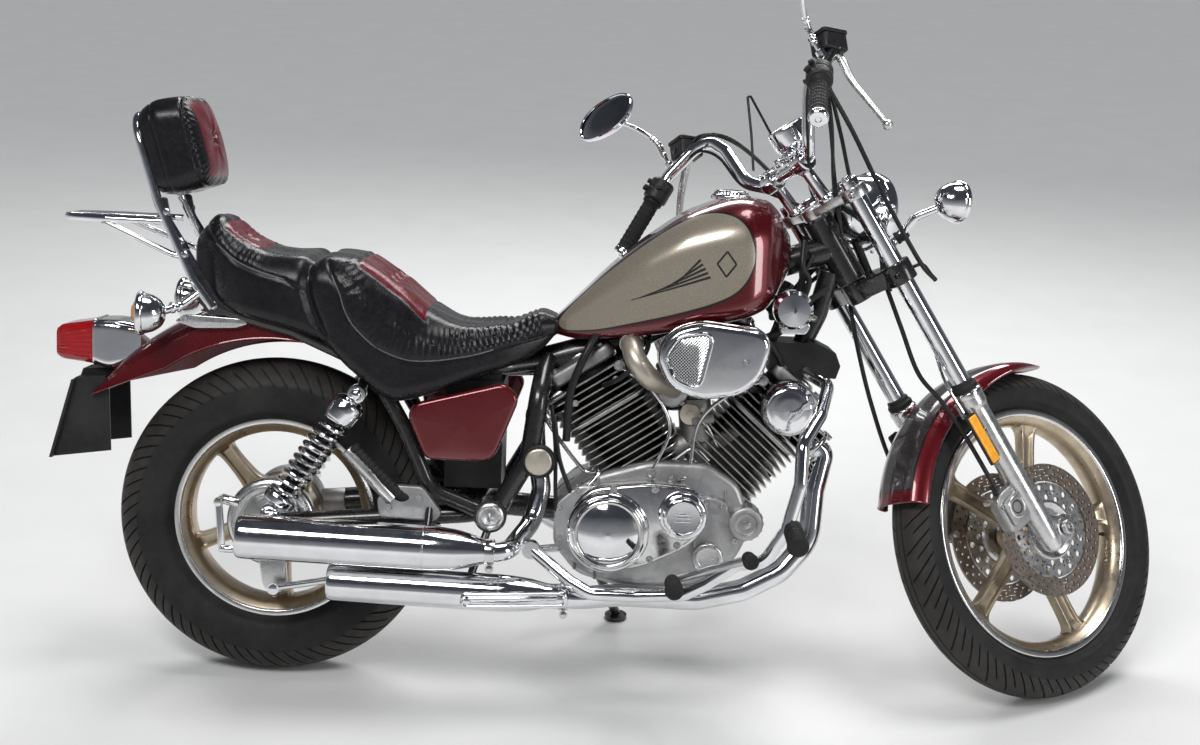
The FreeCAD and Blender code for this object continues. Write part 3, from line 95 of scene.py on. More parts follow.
def on_fork(ahead, aside, up):
    """A point on the fork: distances ahead of, beside and up the steering axis."""
    return STEER_FOOT + STEER_UP * up + STEER_AHEAD * ahead + vec(0, aside, 0)


def fork_route(*rows):
    return [on_fork(*row) for row in rows]


def on_engine(ahead, aside, up):
    """A point on the engine: distances ahead of, beside and above the crankshaft."""
    return vec(CRANK_X + ahead, aside, CRANK_Z + up)


def engine_route(*rows):
    return [on_engine(*row) for row in rows]


def engine_outline(rows):
    """A side view outline given from the crankshaft."""
    return [(CRANK_X + x, CRANK_Z + z) for x, z in rows]


def on_rear(ahead, aside, up):
    """A point given from the rear axle."""
    return REAR_AXLE + vec(ahead, aside, up)


BAR_CENTRE = on_fork(-8, 0, 1232)
BAR_TURN = about(AHEAD, -BAR_TILT_DEG)


def crooked(points):
    """The handlebar sits a little crooked: points turned about its middle."""
    return (np.asarray(points, float) - BAR_CENTRE) @ BAR_TURN.T + BAR_CENTRE


def to_row(points, body):
    """Upright millimetres to the parked row frame in metres."""
    if body in STEERED:
        points = (points - STEER_FOOT) @ STEER_TURN.T + STEER_FOOT
    return points * MM @ STAND_TURN.T + STAND_SHIFT


# A surface is a dict: points (n, 3), faces (a list of (m, k) index arrays), mark (n,).
def surface(points, faces, mark=None):
    points = np.asarray(points, float).reshape(-1, 3)
    mark = np.zeros(len(points)) if mark is None else np.asarray(mark, float).ravel()
    return {"points": points, "faces": [np.asarray(f, int) for f in faces], "mark": mark}


def grid(points, around=True, closed=False, caps=(False, False), mark=None):
    """Quads over rows and columns: vertex (i, j) is i * columns + j.

    around closes each row on itself, closed joins the last row to the first, and caps
    fills the first and last row.
    """
    rows, columns = points.shape[:2]
    i = np.arange(rows if closed else rows - 1)[:, None]
    j = np.arange(columns if around else columns - 1)[None, :]
    next_i = (i + 1) % rows
    next_j = (j + 1) % columns
    quads = np.stack([
        i * columns + j, i * columns + next_j, next_i * columns + next_j, next_i * columns + j,
    ], axis=-1).reshape(-1, 4)
    faces = [quads]
    if caps[0]:
        faces.append(np.arange(columns)[None, ::-1])
    if caps[1]:
        faces.append((np.arange(columns) + (rows - 1) * columns)[None, :])
    return surface(points, faces, mark)


def combined(surfaces):
    """Several surfaces as one: indices shifted by the points before them."""
    points, faces, marks, start = [], [], [], 0
    for one in surfaces:
        points.append(one["points"])
        marks.append(one["mark"])
        faces += [face + start for face in one["faces"]]
        start += len(one["points"])
    return {"points": np.concatenate(points), "faces": faces, "mark": np.concatenate(marks)}


def changed(one, turn=None, shift=(0, 0, 0), centre=(0, 0, 0)):
    """p' = R (p - c) + c + s."""
    points = one["points"] - np.asarray(centre, float)
    if turn is not None:
        points = points @ np.asarray(turn).T
    return {**one, "points": points + np.asarray(centre, float) + np.asarray(shift, float)}


def mirrored(one):
    """The same surface with y' = -y and its faces turned round."""
    return {
        **one, "points": one["points"] * vec(1, -1, 1), "faces": [face[:, ::-1] for face in one["faces"]]
    }


def both(one):
    """A surface and its mirror image on the other side."""
    return combined([one, mirrored(one)])


def bar_tilted(one):
    return {**one, "points": crooked(one["points"])}


def ringed(one, centre, axis, count, first=0.0):
    """Copies turned about an axis by 360 k / n degrees."""
    return combined([
        changed(one, about(axis, first + 360.0 * k / count), centre=centre) for k in range(count)
    ])


def piece(name, parts, body, materials, stands_for=(), sharp_deg=32.0, marked=False):
    """One object from surfaces, each with its own material.

    parts is one surface or a list; materials is one material or a list as long as parts.
    """
    parts = parts if isinstance(parts, list) else [parts]
    materials = materials if isinstance(materials, list) else [materials]
    mesh = bpy.data.meshes.new(name)
    whole = combined(parts)
    row_points = to_row(whole["points"], body)
    loops = np.concatenate([face.ravel() for face in whole["faces"]])
    sizes = np.concatenate([np.full(len(face), face.shape[1]) for face in whole["faces"]])
    starts = np.concatenate([[0], np.cumsum(sizes)[:-1]])
    mesh.vertices.add(len(row_points))
    mesh.vertices.foreach_set("co", row_points.ravel())
    mesh.loops.add(len(loops))
    mesh.loops.foreach_set("vertex_index", loops)
    mesh.polygons.add(len(sizes))
    mesh.polygons.foreach_set("loop_start", starts)
    slots = []
    for number, part in enumerate(parts):
        count = sum(len(face) for face in part["faces"])
        slots += [number if len(materials) > 1 else 0] * count
    used = []
    for material in materials:
        if material not in used:
            used.append(material)
            mesh.materials.append(material)
    lookup = np.array([used.index(material) for material in materials])
    mesh.polygons.foreach_set("material_index", lookup[np.array(slots)])
    if marked:
        mesh.attributes.new("mark", "FLOAT", "POINT").data.foreach_set("value", whole["mark"])
    mesh.update(calc_edges=True)
    mesh.validate()
    mesh.polygons.foreach_set("use_smooth", np.ones(len(mesh.polygons), bool))
    mesh.set_sharp_from_angle(angle=math.radians(sharp_deg))
    thing = bpy.data.objects.new(name, mesh)
    bpy.context.scene.collection.objects.link(thing)
    if stands_for:
        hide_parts(*stands_for)
    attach(thing, body)
    return thing


def softened(outline, radius, steps=4, closed=True):
    """Corners replaced by quadratic curves: b(t) = (1-t)^2 a + 2 t (1-t) c + t^2 b."""
    outline = np.asarray(outline, float)
    count = len(outline)
    t = np.linspace(0, 1, steps + 1)[:, None]
    points = []
    for k in range(count):
        if not closed and k in (0, count - 1):
            points.append(outline[k][None, :])
            continue
        corner = outline[k]
        before = outline[k - 1] - corner
        after = outline[(k + 1) % count] - corner
        reach_back = min(radius, 0.45 * np.linalg.norm(before))
        reach_on = min(radius, 0.45 * np.linalg.norm(after))
        start = corner + unit(before) * reach_back
        end = corner + unit(after) * reach_on
        points.append((1 - t) ** 2 * start + 2 * t * (1 - t) * corner + t ** 2 * end)
    return np.concatenate(points)


def axes_for(axis, across=None):
    """Two unit directions square to an axis."""
    axis = unit(axis)
    if across is None:
        across = vec(0, 0, 1) if abs(axis[2]) < 0.9 else vec(1, 0, 0)
    first = unit(across - axis * np.dot(across, axis))
    return first, np.cross(axis, first)


def lathe(profile, centre, axis, segments=64, soft=1.2, steps=2, wave=None):
    """A profile of (out, along) turned round: p = c + along a + out (cos u f + sin u s)."""
    line = softened(profile, soft, steps, closed=False)
    angle = np.linspace(0, 2 * math.pi, segments, endpoint=False)
    first, second = axes_for(axis)
    round_way = np.cos(angle)[:, None] * first + np.sin(angle)[:, None] * second
    out = line[:, 0][:, None] * np.ones(segments)
    if wave is not None:
        out = out + wave(line[:, 1][:, None], angle[None, :])
    along_axis = unit(axis) * line[:, 1][:, None, None]
    points = np.asarray(centre) + along_axis + out[:, :, None] * round_way[None, :, :]
    return grid(points)


def frames_along(path):
    """Unit tangents and a side direction carried along the path without twist."""
    path = np.asarray(path, float)
    tangent = np.gradient(path, axis=0)
    tangent /= np.linalg.norm(tangent, axis=1)[:, None]
    side = axes_for(tangent[0])[0]
    sides = []
    for way in tangent:
        side = unit(side - way * np.dot(side, way))
        sides.append(side)
    sides = np.array(sides)
    return tangent, sides, np.cross(tangent, sides)


def bent(points, bend, steps=7):
    """Straight runs joined by curves of about this bend radius."""
    points = unrepeated(np.asarray(points, float))
    t = np.linspace(0, 1, steps + 1)[:, None]
    out = [points[:1]]
    for before, corner, after in zip(points, points[1:], points[2:]):
        back, onward = unit(before - corner), unit(after - corner)
        half_turn = (math.pi - math.acos(np.clip(np.dot(back, onward), -1, 1))) / 2
        shorter = min(np.linalg.norm(before - corner), np.linalg.norm(after - corner))
        reach = min(bend * math.tan(half_turn), 0.45 * shorter)
        start, end = corner + back * reach, corner + onward * reach
        weight = math.cos(half_turn)
        basis = ((1 - t) ** 2, 2 * weight * t * (1 - t), t ** 2)
        arc = (basis[0] * start + basis[1] * corner + basis[2] * end) / sum(basis)
        out.append(arc)
    out.append(points[-1:])
    return unrepeated(np.concatenate(out))


def unrepeated(points):
    """The same line without points that repeat the one before."""
    moved = np.linalg.norm(np.diff(points, axis=0), axis=1) > 1e-5
    return points[np.concatenate([[True], moved])]


def flowing(points, samples=40):
    """A smooth line through points: Catmull-Rom segments."""
    points = np.asarray(points, float)
    padded = np.concatenate([[2 * points[0] - points[1]], points, [2 * points[-1] - points[-2]]])
    count = len(points) - 1
    t = np.linspace(0, count, samples)
    k = np.minimum(t.astype(int), count - 1)
    f = (t - k)[:, None]
    a, b, c, d = padded[k], padded[k + 1], padded[k + 2], padded[k + 3]
    return 0.5 * (
        2 * b + (c - a) * f + (2 * a - 5 * b + 4 * c - d) * f ** 2 + (3 * b - a - 3 * c + d) * f ** 3
    )


def swept(path, section, scale=None, closed=False):
    """A flat section carried along a path: p = path + scale (u side + v up)."""
    path = np.asarray(path, float)
    _, side, other = frames_along(path)
    section = np.asarray(section, float)
    scale = np.ones(len(path)) if scale is None else np.asarray(scale, float)
    if scale.ndim == 1:
        scale = np.stack([scale, scale], axis=1)
    u = section[None, :, 0] * scale[:, 0][:, None]
    v = section[None, :, 1] * scale[:, 1][:, None]
    points = path[:, None, :] + u[:, :, None] * side[:, None, :] + v[:, :, None] * other[:, None, :]
    return grid(points, closed=closed, caps=(True, True))


def circle(radius, count=16):
    angle = np.linspace(0, 2 * math.pi, count, endpoint=False)
    return np.stack([np.cos(angle), np.sin(angle)], axis=1) * radius


def pipe(points, radius, bend=40.0, count=14, smooth=False, samples=48):
    """A round bar or cable along a path."""
    path = flowing(points, samples) if smooth else bent(points, bend)
    return swept(path, circle(radius, count))


def rod(start, end, radius, soft=1.5, segments=24):
    """A round bar with softened ends."""
    length = np.linalg.norm(np.asarray(end) - start)
    profile = [(0, 0), (radius, 0), (radius, length), (0, length)]
    return lathe(profile, start, np.asarray(end) - start, segments, soft)


def inset(outline, distance):
    """An outline moved inward by a distance, along the mean normal of each corner."""
    before = outline - np.roll(outline, 1, axis=0)
    after = np.roll(outline, -1, axis=0) - outline
    before /= np.maximum(np.linalg.norm(before, axis=1), 1e-9)[:, None]
    after /= np.maximum(np.linalg.norm(after, axis=1), 1e-9)[:, None]
    way = before + after
    way /= np.maximum(np.linalg.norm(way, axis=1), 1e-9)[:, None]
    area = np.sum(outline[:, 0] * np.roll(outline[:, 1], -1) - np.roll(outline[:, 0], -1) * outline[:, 1])
    normal = np.stack([-way[:, 1], way[:, 0]], axis=1) * (1 if area > 0 else -1)
    return outline + normal * distance


def slab(
    outline, low, high, origin, across, up, corner=6.0, edge=2.0, steps=3, dome=0.0, levels=(True, True)
):
    """A plate from an outline, with rounded corners and rounded edges.

    The outline lies in the plane of across and up, and is raised along their normal
    from low to high. A dome lifts the outer face toward its middle.
    """
    ring = softened(outline, corner, 5)
    across, up = unit(across), unit(up)
    normal = np.cross(across, up)
    quarter = np.linspace(0, math.pi / 2, steps + 1)
    rows = []
    if levels[0]:
        rows += [(edge * (1 - math.sin(a)), low + edge * (1 - math.cos(a))) for a in quarter]
    else:
        rows.append((0, low))
    if levels[1]:
        rows += [(edge * (1 - math.cos(a)), high - edge * (1 - math.sin(a))) for a in quarter]
    else:
        rows.append((0, high))
    layers = []
    for distance, height in rows:
        flat = inset(ring, distance)
        layers.append(np.asarray(origin) + flat[:, :1] * across + flat[:, 1:] * up + normal * height)
    if dome:
        middle = layers[-1].mean(axis=0)
        last = layers[-1]
        for share in (0.8, 0.55, 0.3, 0.08):
            layers.append(middle + (last - middle) * share + normal * dome * (1 - share ** 2))
    return grid(np.array(layers), caps=(True, True))


def side_slab(outline, low, high, **options):
    """A slab drawn in side view, X and Z, facing the right side when high is the lower Y."""
    if high > low:
        return slab(
            [(z, x) for x, z in outline], low, high, vec(0, 0, 0), vec(0, 0, 1), vec(1, 0, 0), **options
        )
    return slab(outline, -low, -high, vec(0, 0, 0), vec(1, 0, 0), vec(0, 0, 1), **options)


def bolt(centre, axis, radius=6.0, height=4.0, sides=6):
    """A hexagon head on a washer."""
    head = [(0, 1.2), (radius, 1.2), (radius, height), (0, height)]
    return on_washer(centre, axis, radius, lathe(head, centre, axis, sides, 0.9, 2))


def screw(centre, axis, radius=5.0, height=4.0):
    """A round head with a socket, on a washer."""
    head = [
        (0, 1.2), (radius, 1.2), (radius, height), (radius * 0.55, height), (radius * 0.5, height * 0.45),
        (0, height * 0.4),
    ]
    return on_washer(centre, axis, radius, lathe(head, centre, axis, 20, 0.5, 2))


def on_washer(centre, axis, radius, head):
    wide = radius * 1.35
    return combined([lathe([(0, 0), (wide, 0), (wide, 1.2), (0, 1.2)], centre, axis, 20, 0.3, 1), head])


def symmetric(rows, middle=(), column=1):
    """Rows, a middle, and the rows in reverse with the sign of one number turned."""
    first, second = (-1, 1) if column == 0 else (1, -1)
    return [*rows, *middle, *((a * first, b * second) for a, b in reversed(rows))]


def rectangle(half_wide, half_high):
    return [
        (-half_wide, -half_high), (half_wide, -half_high), (half_wide, half_high), (-half_wide, half_high)
    ]


def fork_slab(side, outline, low, high, origin, corner, edge):
    """A slab drawn ahead and up on the fork, facing the given side."""
    if side < 0:
        return slab(outline, low, high, origin, STEER_AHEAD, STEER_UP, corner, edge)
    return slab([(z, x) for x, z in outline], low, high, origin, STEER_UP, STEER_AHEAD, corner, edge)


def lofted(rows, ring, samples):
    """A body through rounded upright sections (x, half, low, high, corner low, corner high).

    Between the rows every number follows a monotone cubic; the section is a rounded
    rectangle whose points are spread evenly over its outline.
    """
    rows = np.array(sorted(rows), float)
    x = np.linspace(rows[0, 0], rows[-1, 0], samples)
    x = np.unique(np.concatenate([x, rows[:, 0]]))
    values = np.stack([eased(x, rows[:, 0], rows[:, k]) for k in range(1, 6)], axis=1)
    layers = []
    for along, (half, low, high, corner_low, corner_high) in zip(x, values):
        flat = rounded_section(half, low, high, corner_low, corner_high, ring)
        layers.append(np.stack([np.full(ring, along), flat[:, 0], flat[:, 1]], axis=1))
    return np.array(layers)


def rounded_section(half, low, high, corner_low, corner_high, ring):
    """Points evenly spaced along a rounded rectangle, from the middle of its foot."""
    quarter = np.linspace(0, math.pi / 2, 13)
    right_low = np.stack([
        half - corner_low + corner_low * np.sin(quarter), low + corner_low - corner_low * np.cos(quarter),
    ], axis=1)
    right_high = np.stack([
        half - corner_high + corner_high * np.cos(quarter),
        high - corner_high + corner_high * np.sin(quarter),
    ], axis=1)
    right = np.concatenate([[(0, low)], right_low, right_high, [(0, high)]])
    left = right[::-1][1:] * (-1, 1)
    outline = np.concatenate([right, left])
    length = np.concatenate([[0], np.cumsum(np.linalg.norm(np.diff(outline, axis=0), axis=1))])
    wanted = np.linspace(0, length[-1], ring, endpoint=False)
    return np.stack([np.interp(wanted, length, outline[:, k]) for k in (0, 1)], axis=1)


def eased(x, known_x, known_y):
    """A monotone cubic through known values (harmonic mean slopes)."""
    step = np.diff(known_x)
    slope = np.diff(known_y) / step
    inner = np.zeros(len(known_x))
    same = slope[:-1] * slope[1:] > 0
    mean = 2 * slope[:-1] * slope[1:] / np.where(same, slope[:-1] + slope[1:], 1)
    inner[1:-1] = np.where(same, mean, 0)
    inner[0], inner[-1] = slope[0], slope[-1]
    k = np.clip(np.searchsorted(known_x, x) - 1, 0, len(step) - 1)
    t = (x - known_x[k]) / step[k]
    a, b = inner[k] * step[k], inner[k + 1] * step[k]
    low, high = known_y[k], known_y[k + 1]
    from_low = (2 * t ** 3 - 3 * t ** 2 + 1) * low + (t ** 3 - 2 * t ** 2 + t) * a
    return from_low + (3 * t ** 2 - 2 * t ** 3) * high + (t ** 3 - t ** 2) * b


def ripple(points, size, amount, seed):
    """A smooth seeded unevenness: a few sine waves in random directions."""
    random = np.random.default_rng(seed)
    total = np.zeros(len(points))
    for _ in range(7):
        way = random.normal(size=3)
        way *= 2 * math.pi / (size * random.uniform(0.7, 1.6) * np.linalg.norm(way))
        total += np.sin(points @ way + random.uniform(0, 2 * math.pi))
    return total / 7 * amount


# Materials: every one is mixed from seeded noise in the piece's own space, at real scale.
MARK_EDGE = 0.5
DEEP_BLACK, BLACK_SPECULAR = 0.03, 0.3
COAT_ROUGHNESS = 0.04
DIRT_WAVES, DIRT_FROM, DIRT_TO = 9.0, 0.42, 0.72
LEATHER_CELLS, LEATHER_FOLDS = 620.0, 150.0
BRUSH_WAVES = (60.0, 60.0, 1400.0)
GRAIN_DEPTH, LEATHER_DEPTH, BRUSH_DEPTH = 0.0006, 0.0012, 0.0004


def add_node(tree, kind, links=None, **settings):
    """A shader node; links gives its inputs, as values or as another node's output."""
    made = tree.nodes.new(kind)
    for key, value in settings.items():
        setattr(made, key, value)
    for key, value in (links or {}).items():
        socket = made.inputs[key]
        if isinstance(value, bpy.types.NodeSocket):
            tree.links.new(value, socket)
        else:
            socket.default_value = value
    return made


def colour4(rgb):
    return (*rgb, 1.0)


def noise_of(tree, place, scale, detail=3.0, roughness=0.55):
    """A noise value between 0 and 1, scale in waves for each metre."""
    made = add_node(tree, "ShaderNodeTexNoise", {
        "Vector": place, "Scale": scale, "Detail": detail, "Roughness": roughness,
    })
    return made.outputs["Fac"]


def spread_of(tree, value, low, high, from_low=0.3, from_high=0.7):
    return add_node(tree, "ShaderNodeMapRange", {
        "Value": value, "From Min": from_low, "From Max": from_high, "To Min": low, "To Max": high,
    }).outputs["Result"]


def mixed(tree, share, first, second):
    """Colour first where share is 0, second where it is 1."""
    made = add_node(tree, "ShaderNodeMix", {"Factor": share}, data_type="RGBA")
    for index, value in ((6, first), (7, second)):
        if isinstance(value, bpy.types.NodeSocket):
            tree.links.new(value, made.inputs[index])
        else:
            made.inputs[index].default_value = value
    return made.outputs[2]


def maths(tree, operation, first, second=0.0):
    return add_node(tree, "ShaderNodeMath", {0: first, 1: second}, operation=operation).outputs[0]


def finish(
    name, colour, metallic=0.0, rough=0.4, spread=0.07, vary=0.1, patch=28.0, grain=0.0,
    grain_scale=900.0, dirt=None, dirt_share=0.35, coat=0.0, glass=0.0, second=None, soft=0.02, line=None,
    leather=0.0, brushed=0.0
):
    """A surface finish.

    colour varies by patches, roughness by its own noise, grain is fine bump, dirt settles
    in large soft patches; second is another colour where the piece's mark is above
    MARK_EDGE, with a thin line of a third colour along the border.
    """
    made = bpy.data.materials.new(name)
    made.use_nodes = True
    tree = made.node_tree
    shader = tree.nodes["Principled BSDF"]
    place = add_node(tree, "ShaderNodeTexCoord").outputs["Object"]
    patches = noise_of(tree, place, patch, 4.0)
    dark = colour4([c * (1 - vary) for c in colour])
    light = colour4([min(1.0, c * (1 + vary)) for c in colour])
    tone = mixed(tree, spread_of(tree, patches, 0.0, 1.0), dark, light)
    if second is not None:
        mark = add_node(tree, "ShaderNodeAttribute", attribute_name="mark").outputs["Fac"]
        share = spread_of(tree, mark, 0.0, 1.0, MARK_EDGE - soft, MARK_EDGE + soft)
        darker = colour4([c * (1 - vary) for c in second])
        lighter = colour4([min(1.0, c * (1 + vary)) for c in second])
        tone = mixed(tree, share, tone, mixed(tree, spread_of(tree, patches, 0.0, 1.0), darker, lighter))
        if line is not None:
            away = maths(tree, "ABSOLUTE", maths(tree, "SUBTRACT", mark, MARK_EDGE))
            near = spread_of(tree, away, 1.0, 0.0, line[1], line[1] * 1.6)
            tone = mixed(tree, near, tone, colour4(line[0]))
    rough_noise = noise_of(tree, place, patch * 2.3, 5.0)
    roughness = spread_of(tree, rough_noise, max(0.01, rough - spread), rough + spread)
    if dirt is not None:
        settled = noise_of(tree, place, DIRT_WAVES, 6.0, 0.65)
        cover = spread_of(tree, settled, 0.0, dirt_share, DIRT_FROM, DIRT_TO)
        tone = mixed(tree, cover, tone, colour4(dirt))
        roughness = maths(tree, "ADD", roughness, maths(tree, "MULTIPLY", cover, 0.4))
    tree.links.new(tone, shader.inputs["Base Color"])
    tree.links.new(roughness, shader.inputs["Roughness"])
    shader.inputs["Metallic"].default_value = metallic
    shader.inputs["Coat Weight"].default_value = coat
    shader.inputs["Coat Roughness"].default_value = COAT_ROUGHNESS
    shader.inputs["Transmission Weight"].default_value = glass
    if max(colour) < DEEP_BLACK and not coat:
        shader.inputs["Specular IOR Level"].default_value = BLACK_SPECULAR
    height = None
    if grain:
        height = (noise_of(tree, place, grain_scale, 3.0), grain, GRAIN_DEPTH)
    if leather:
        cells = add_node(
            tree, "ShaderNodeTexVoronoi", {"Vector": place, "Scale": LEATHER_CELLS},
            feature="DISTANCE_TO_EDGE"
        )
        creases = maths(tree, "MULTIPLY", cells.outputs["Distance"], 2.2)
        folds = noise_of(tree, place, LEATHER_FOLDS, 3.0)
        height = (maths(tree, "ADD", creases, folds), leather, LEATHER_DEPTH)
    if brushed:
        stretched = add_node(tree, "ShaderNodeMapping", {"Vector": place, "Scale": BRUSH_WAVES})
        height = (noise_of(tree, stretched.outputs["Vector"], 1.0, 2.0), brushed, BRUSH_DEPTH)
    if height is not None:
        bump = add_node(
            tree, "ShaderNodeBump", {"Height": height[0], "Strength": height[1], "Distance": height[2]}
        )
        tree.links.new(bump.outputs["Normal"], shader.inputs["Normal"])
    return made


ROAD_DUST = (0.16, 0.145, 0.125)
OIL_GRIME = (0.028, 0.024, 0.02)
RUST = (0.16, 0.07, 0.03)
# Each row: name, colour, metallic, roughness and its spread, spread of the colour, patches for each metre.
chrome = finish(
    "chrome", (0.80, 0.81, 0.83), 1.0, 0.07, 0.04, 0.05, dirt=(0.42, 0.41, 0.39), dirt_share=0.16
)
old_chrome = finish(
    "old_chrome", (0.70, 0.70, 0.70), 1.0, 0.15, 0.07, 0.09, 40, dirt=(0.25, 0.20, 0.15), dirt_share=0.35
)
satin = finish(
    "satin_alloy", (0.66, 0.66, 0.66), 1.0, 0.27, 0.06, 0.07, 34, grain=0.10, dirt=(0.3, 0.28, 0.25),
    dirt_share=0.2
)
cast = finish(
    "cast_alloy", (0.50, 0.50, 0.50), 1.0, 0.42, 0.08, 0.10, 34, grain=0.35, grain_scale=1400,
    dirt=OIL_GRIME, dirt_share=0.45
)
dull = finish(
    "dull_alloy", (0.34, 0.33, 0.32), 1.0, 0.48, 0.08, 0.12, 34, grain=0.4, grain_scale=1200,
    dirt=OIL_GRIME, dirt_share=0.6
)
champagne = finish(
    "champagne_alloy", (0.56, 0.47, 0.35), 1.0, 0.30, 0.06, 0.08, 30, grain=0.12, dirt=(0.10, 0.08, 0.06),
    dirt_share=0.45
)
lip = finish(
    "polished_lip", (0.74, 0.73, 0.71), 1.0, 0.16, 0.05, 0.06, 30, dirt=(0.28, 0.24, 0.2), dirt_share=0.3
)
disc_steel = finish(
    "disc_steel", (0.34, 0.30, 0.26), 1.0, 0.34, 0.06, 0.10, 60, brushed=0.12, dirt=RUST, dirt_share=0.45
)
steel = finish(
    "plain_steel", (0.52, 0.52, 0.53), 1.0, 0.30, 0.06, 0.1, 60, dirt=(0.2, 0.16, 0.12), dirt_share=0.35
)
spring_steel = finish(
    "spring_chrome", (0.66, 0.67, 0.69), 1.0, 0.14, 0.05, 0.08, 60, dirt=(0.2, 0.18, 0.16), dirt_share=0.3
)
fin_black = finish(
    "fin_black", (0.024, 0.023, 0.023), 0.4, 0.42, 0.08, 0.2, 40, grain=0.3, dirt=ROAD_DUST,
    dirt_share=0.12
)
fin_edge = finish(
    "fin_edge", (0.80, 0.78, 0.74), 1.0, 0.30, 0.07, 0.1, 60, dirt=(0.16, 0.14, 0.12), dirt_share=0.35
)
red_paint = finish(
    "red_paint", (0.13, 0.004, 0.008), 0.5, 0.24, 0.05, 0.12, 300, coat=1.0, dirt=(0.14, 0.06, 0.055),
    dirt_share=0.15
)
black_paint = finish(
    "black_paint", (0.008, 0.008, 0.009), 0.0, 0.28, 0.07, 0.25, 40, coat=0.5, dirt=ROAD_DUST,
    dirt_share=0.07
)
black_plastic = finish(
    "black_plastic", (0.014, 0.014, 0.015), 0.0, 0.44, 0.07, 0.2, 60, grain=0.25, dirt=ROAD_DUST,
    dirt_share=0.09
)
rubber = finish("rubber", (0.013, 0.013, 0.013), 0.0, 0.62, 0.07, 0.2, 60, grain=0.3, grain_scale=700)
cable_black = finish("cable_black", (0.014, 0.014, 0.015), 0.0, 0.36, 0.06, 0.2, 90, grain=0.08)
beige = finish(
    "beige_alloy", (0.56, 0.51, 0.43), 0.75, 0.36, 0.07, 0.08, 40, grain=0.1, dirt=(0.2, 0.16, 0.12),
    dirt_share=0.35
)
mirror_glass = finish("mirror_glass", (0.42, 0.43, 0.45), 1.0, 0.03, 0.01, 0.02)
clear_glass = finish("clear_glass", (0.96, 0.97, 0.98), 0.0, 0.03, 0.01, 0.02, glass=1.0)
red_lens = finish("red_lens", (0.42, 0.008, 0.012), 0.0, 0.10, 0.03, 0.10, 60, coat=0.6, glass=0.35)
amber_lens = finish("amber_lens", (0.85, 0.26, 0.02), 0.0, 0.14, 0.03, 0.08, 60, coat=0.5, glass=0.3)
amber_reflector = finish(
    "amber_reflector", (0.95, 0.40, 0.03), 0.0, 0.22, 0.04, 0.12, 90, coat=0.6, grain=0.3, grain_scale=420
)
bare_plate = finish("bare_plate", (0.70, 0.71, 0.72), 1.0, 0.24, 0.04, 0.05, 40, brushed=0.15)
tyre_rubber = finish(
    "tyre_rubber", (0.010, 0.010, 0.011), 0.0, 0.62, 0.07, 0.25, 40, grain=0.3, grain_scale=600,
    second=(0.026, 0.024, 0.022), soft=0.4, dirt=ROAD_DUST, dirt_share=0.09,
)
tank_paint = finish(
    "tank_paint", (0.115, 0.004, 0.008), 0.5, 0.25, 0.04, 0.10, 300, coat=1.0,
    second=(0.36, 0.315, 0.25), soft=0.012, line=((0.02, 0.016, 0.016), 0.018),
)
fender_paint = finish(
    "fender_paint", (0.15, 0.005, 0.011), 0.5, 0.25, 0.04, 0.10, 300, coat=1.0,
    second=(0.055, 0.047, 0.047), soft=0.03, line=((0.010, 0.009, 0.009), 0.05),
)
seat_leather = finish(
    "seat_leather", (0.007, 0.007, 0.009), 0.0, 0.27, 0.07, 0.25, 40, leather=0.09,
    second=(0.115, 0.005, 0.012), soft=0.05, dirt=ROAD_DUST, dirt_share=0.03,
)


# Wheels.
GROOVE_DEPTH = 3.6


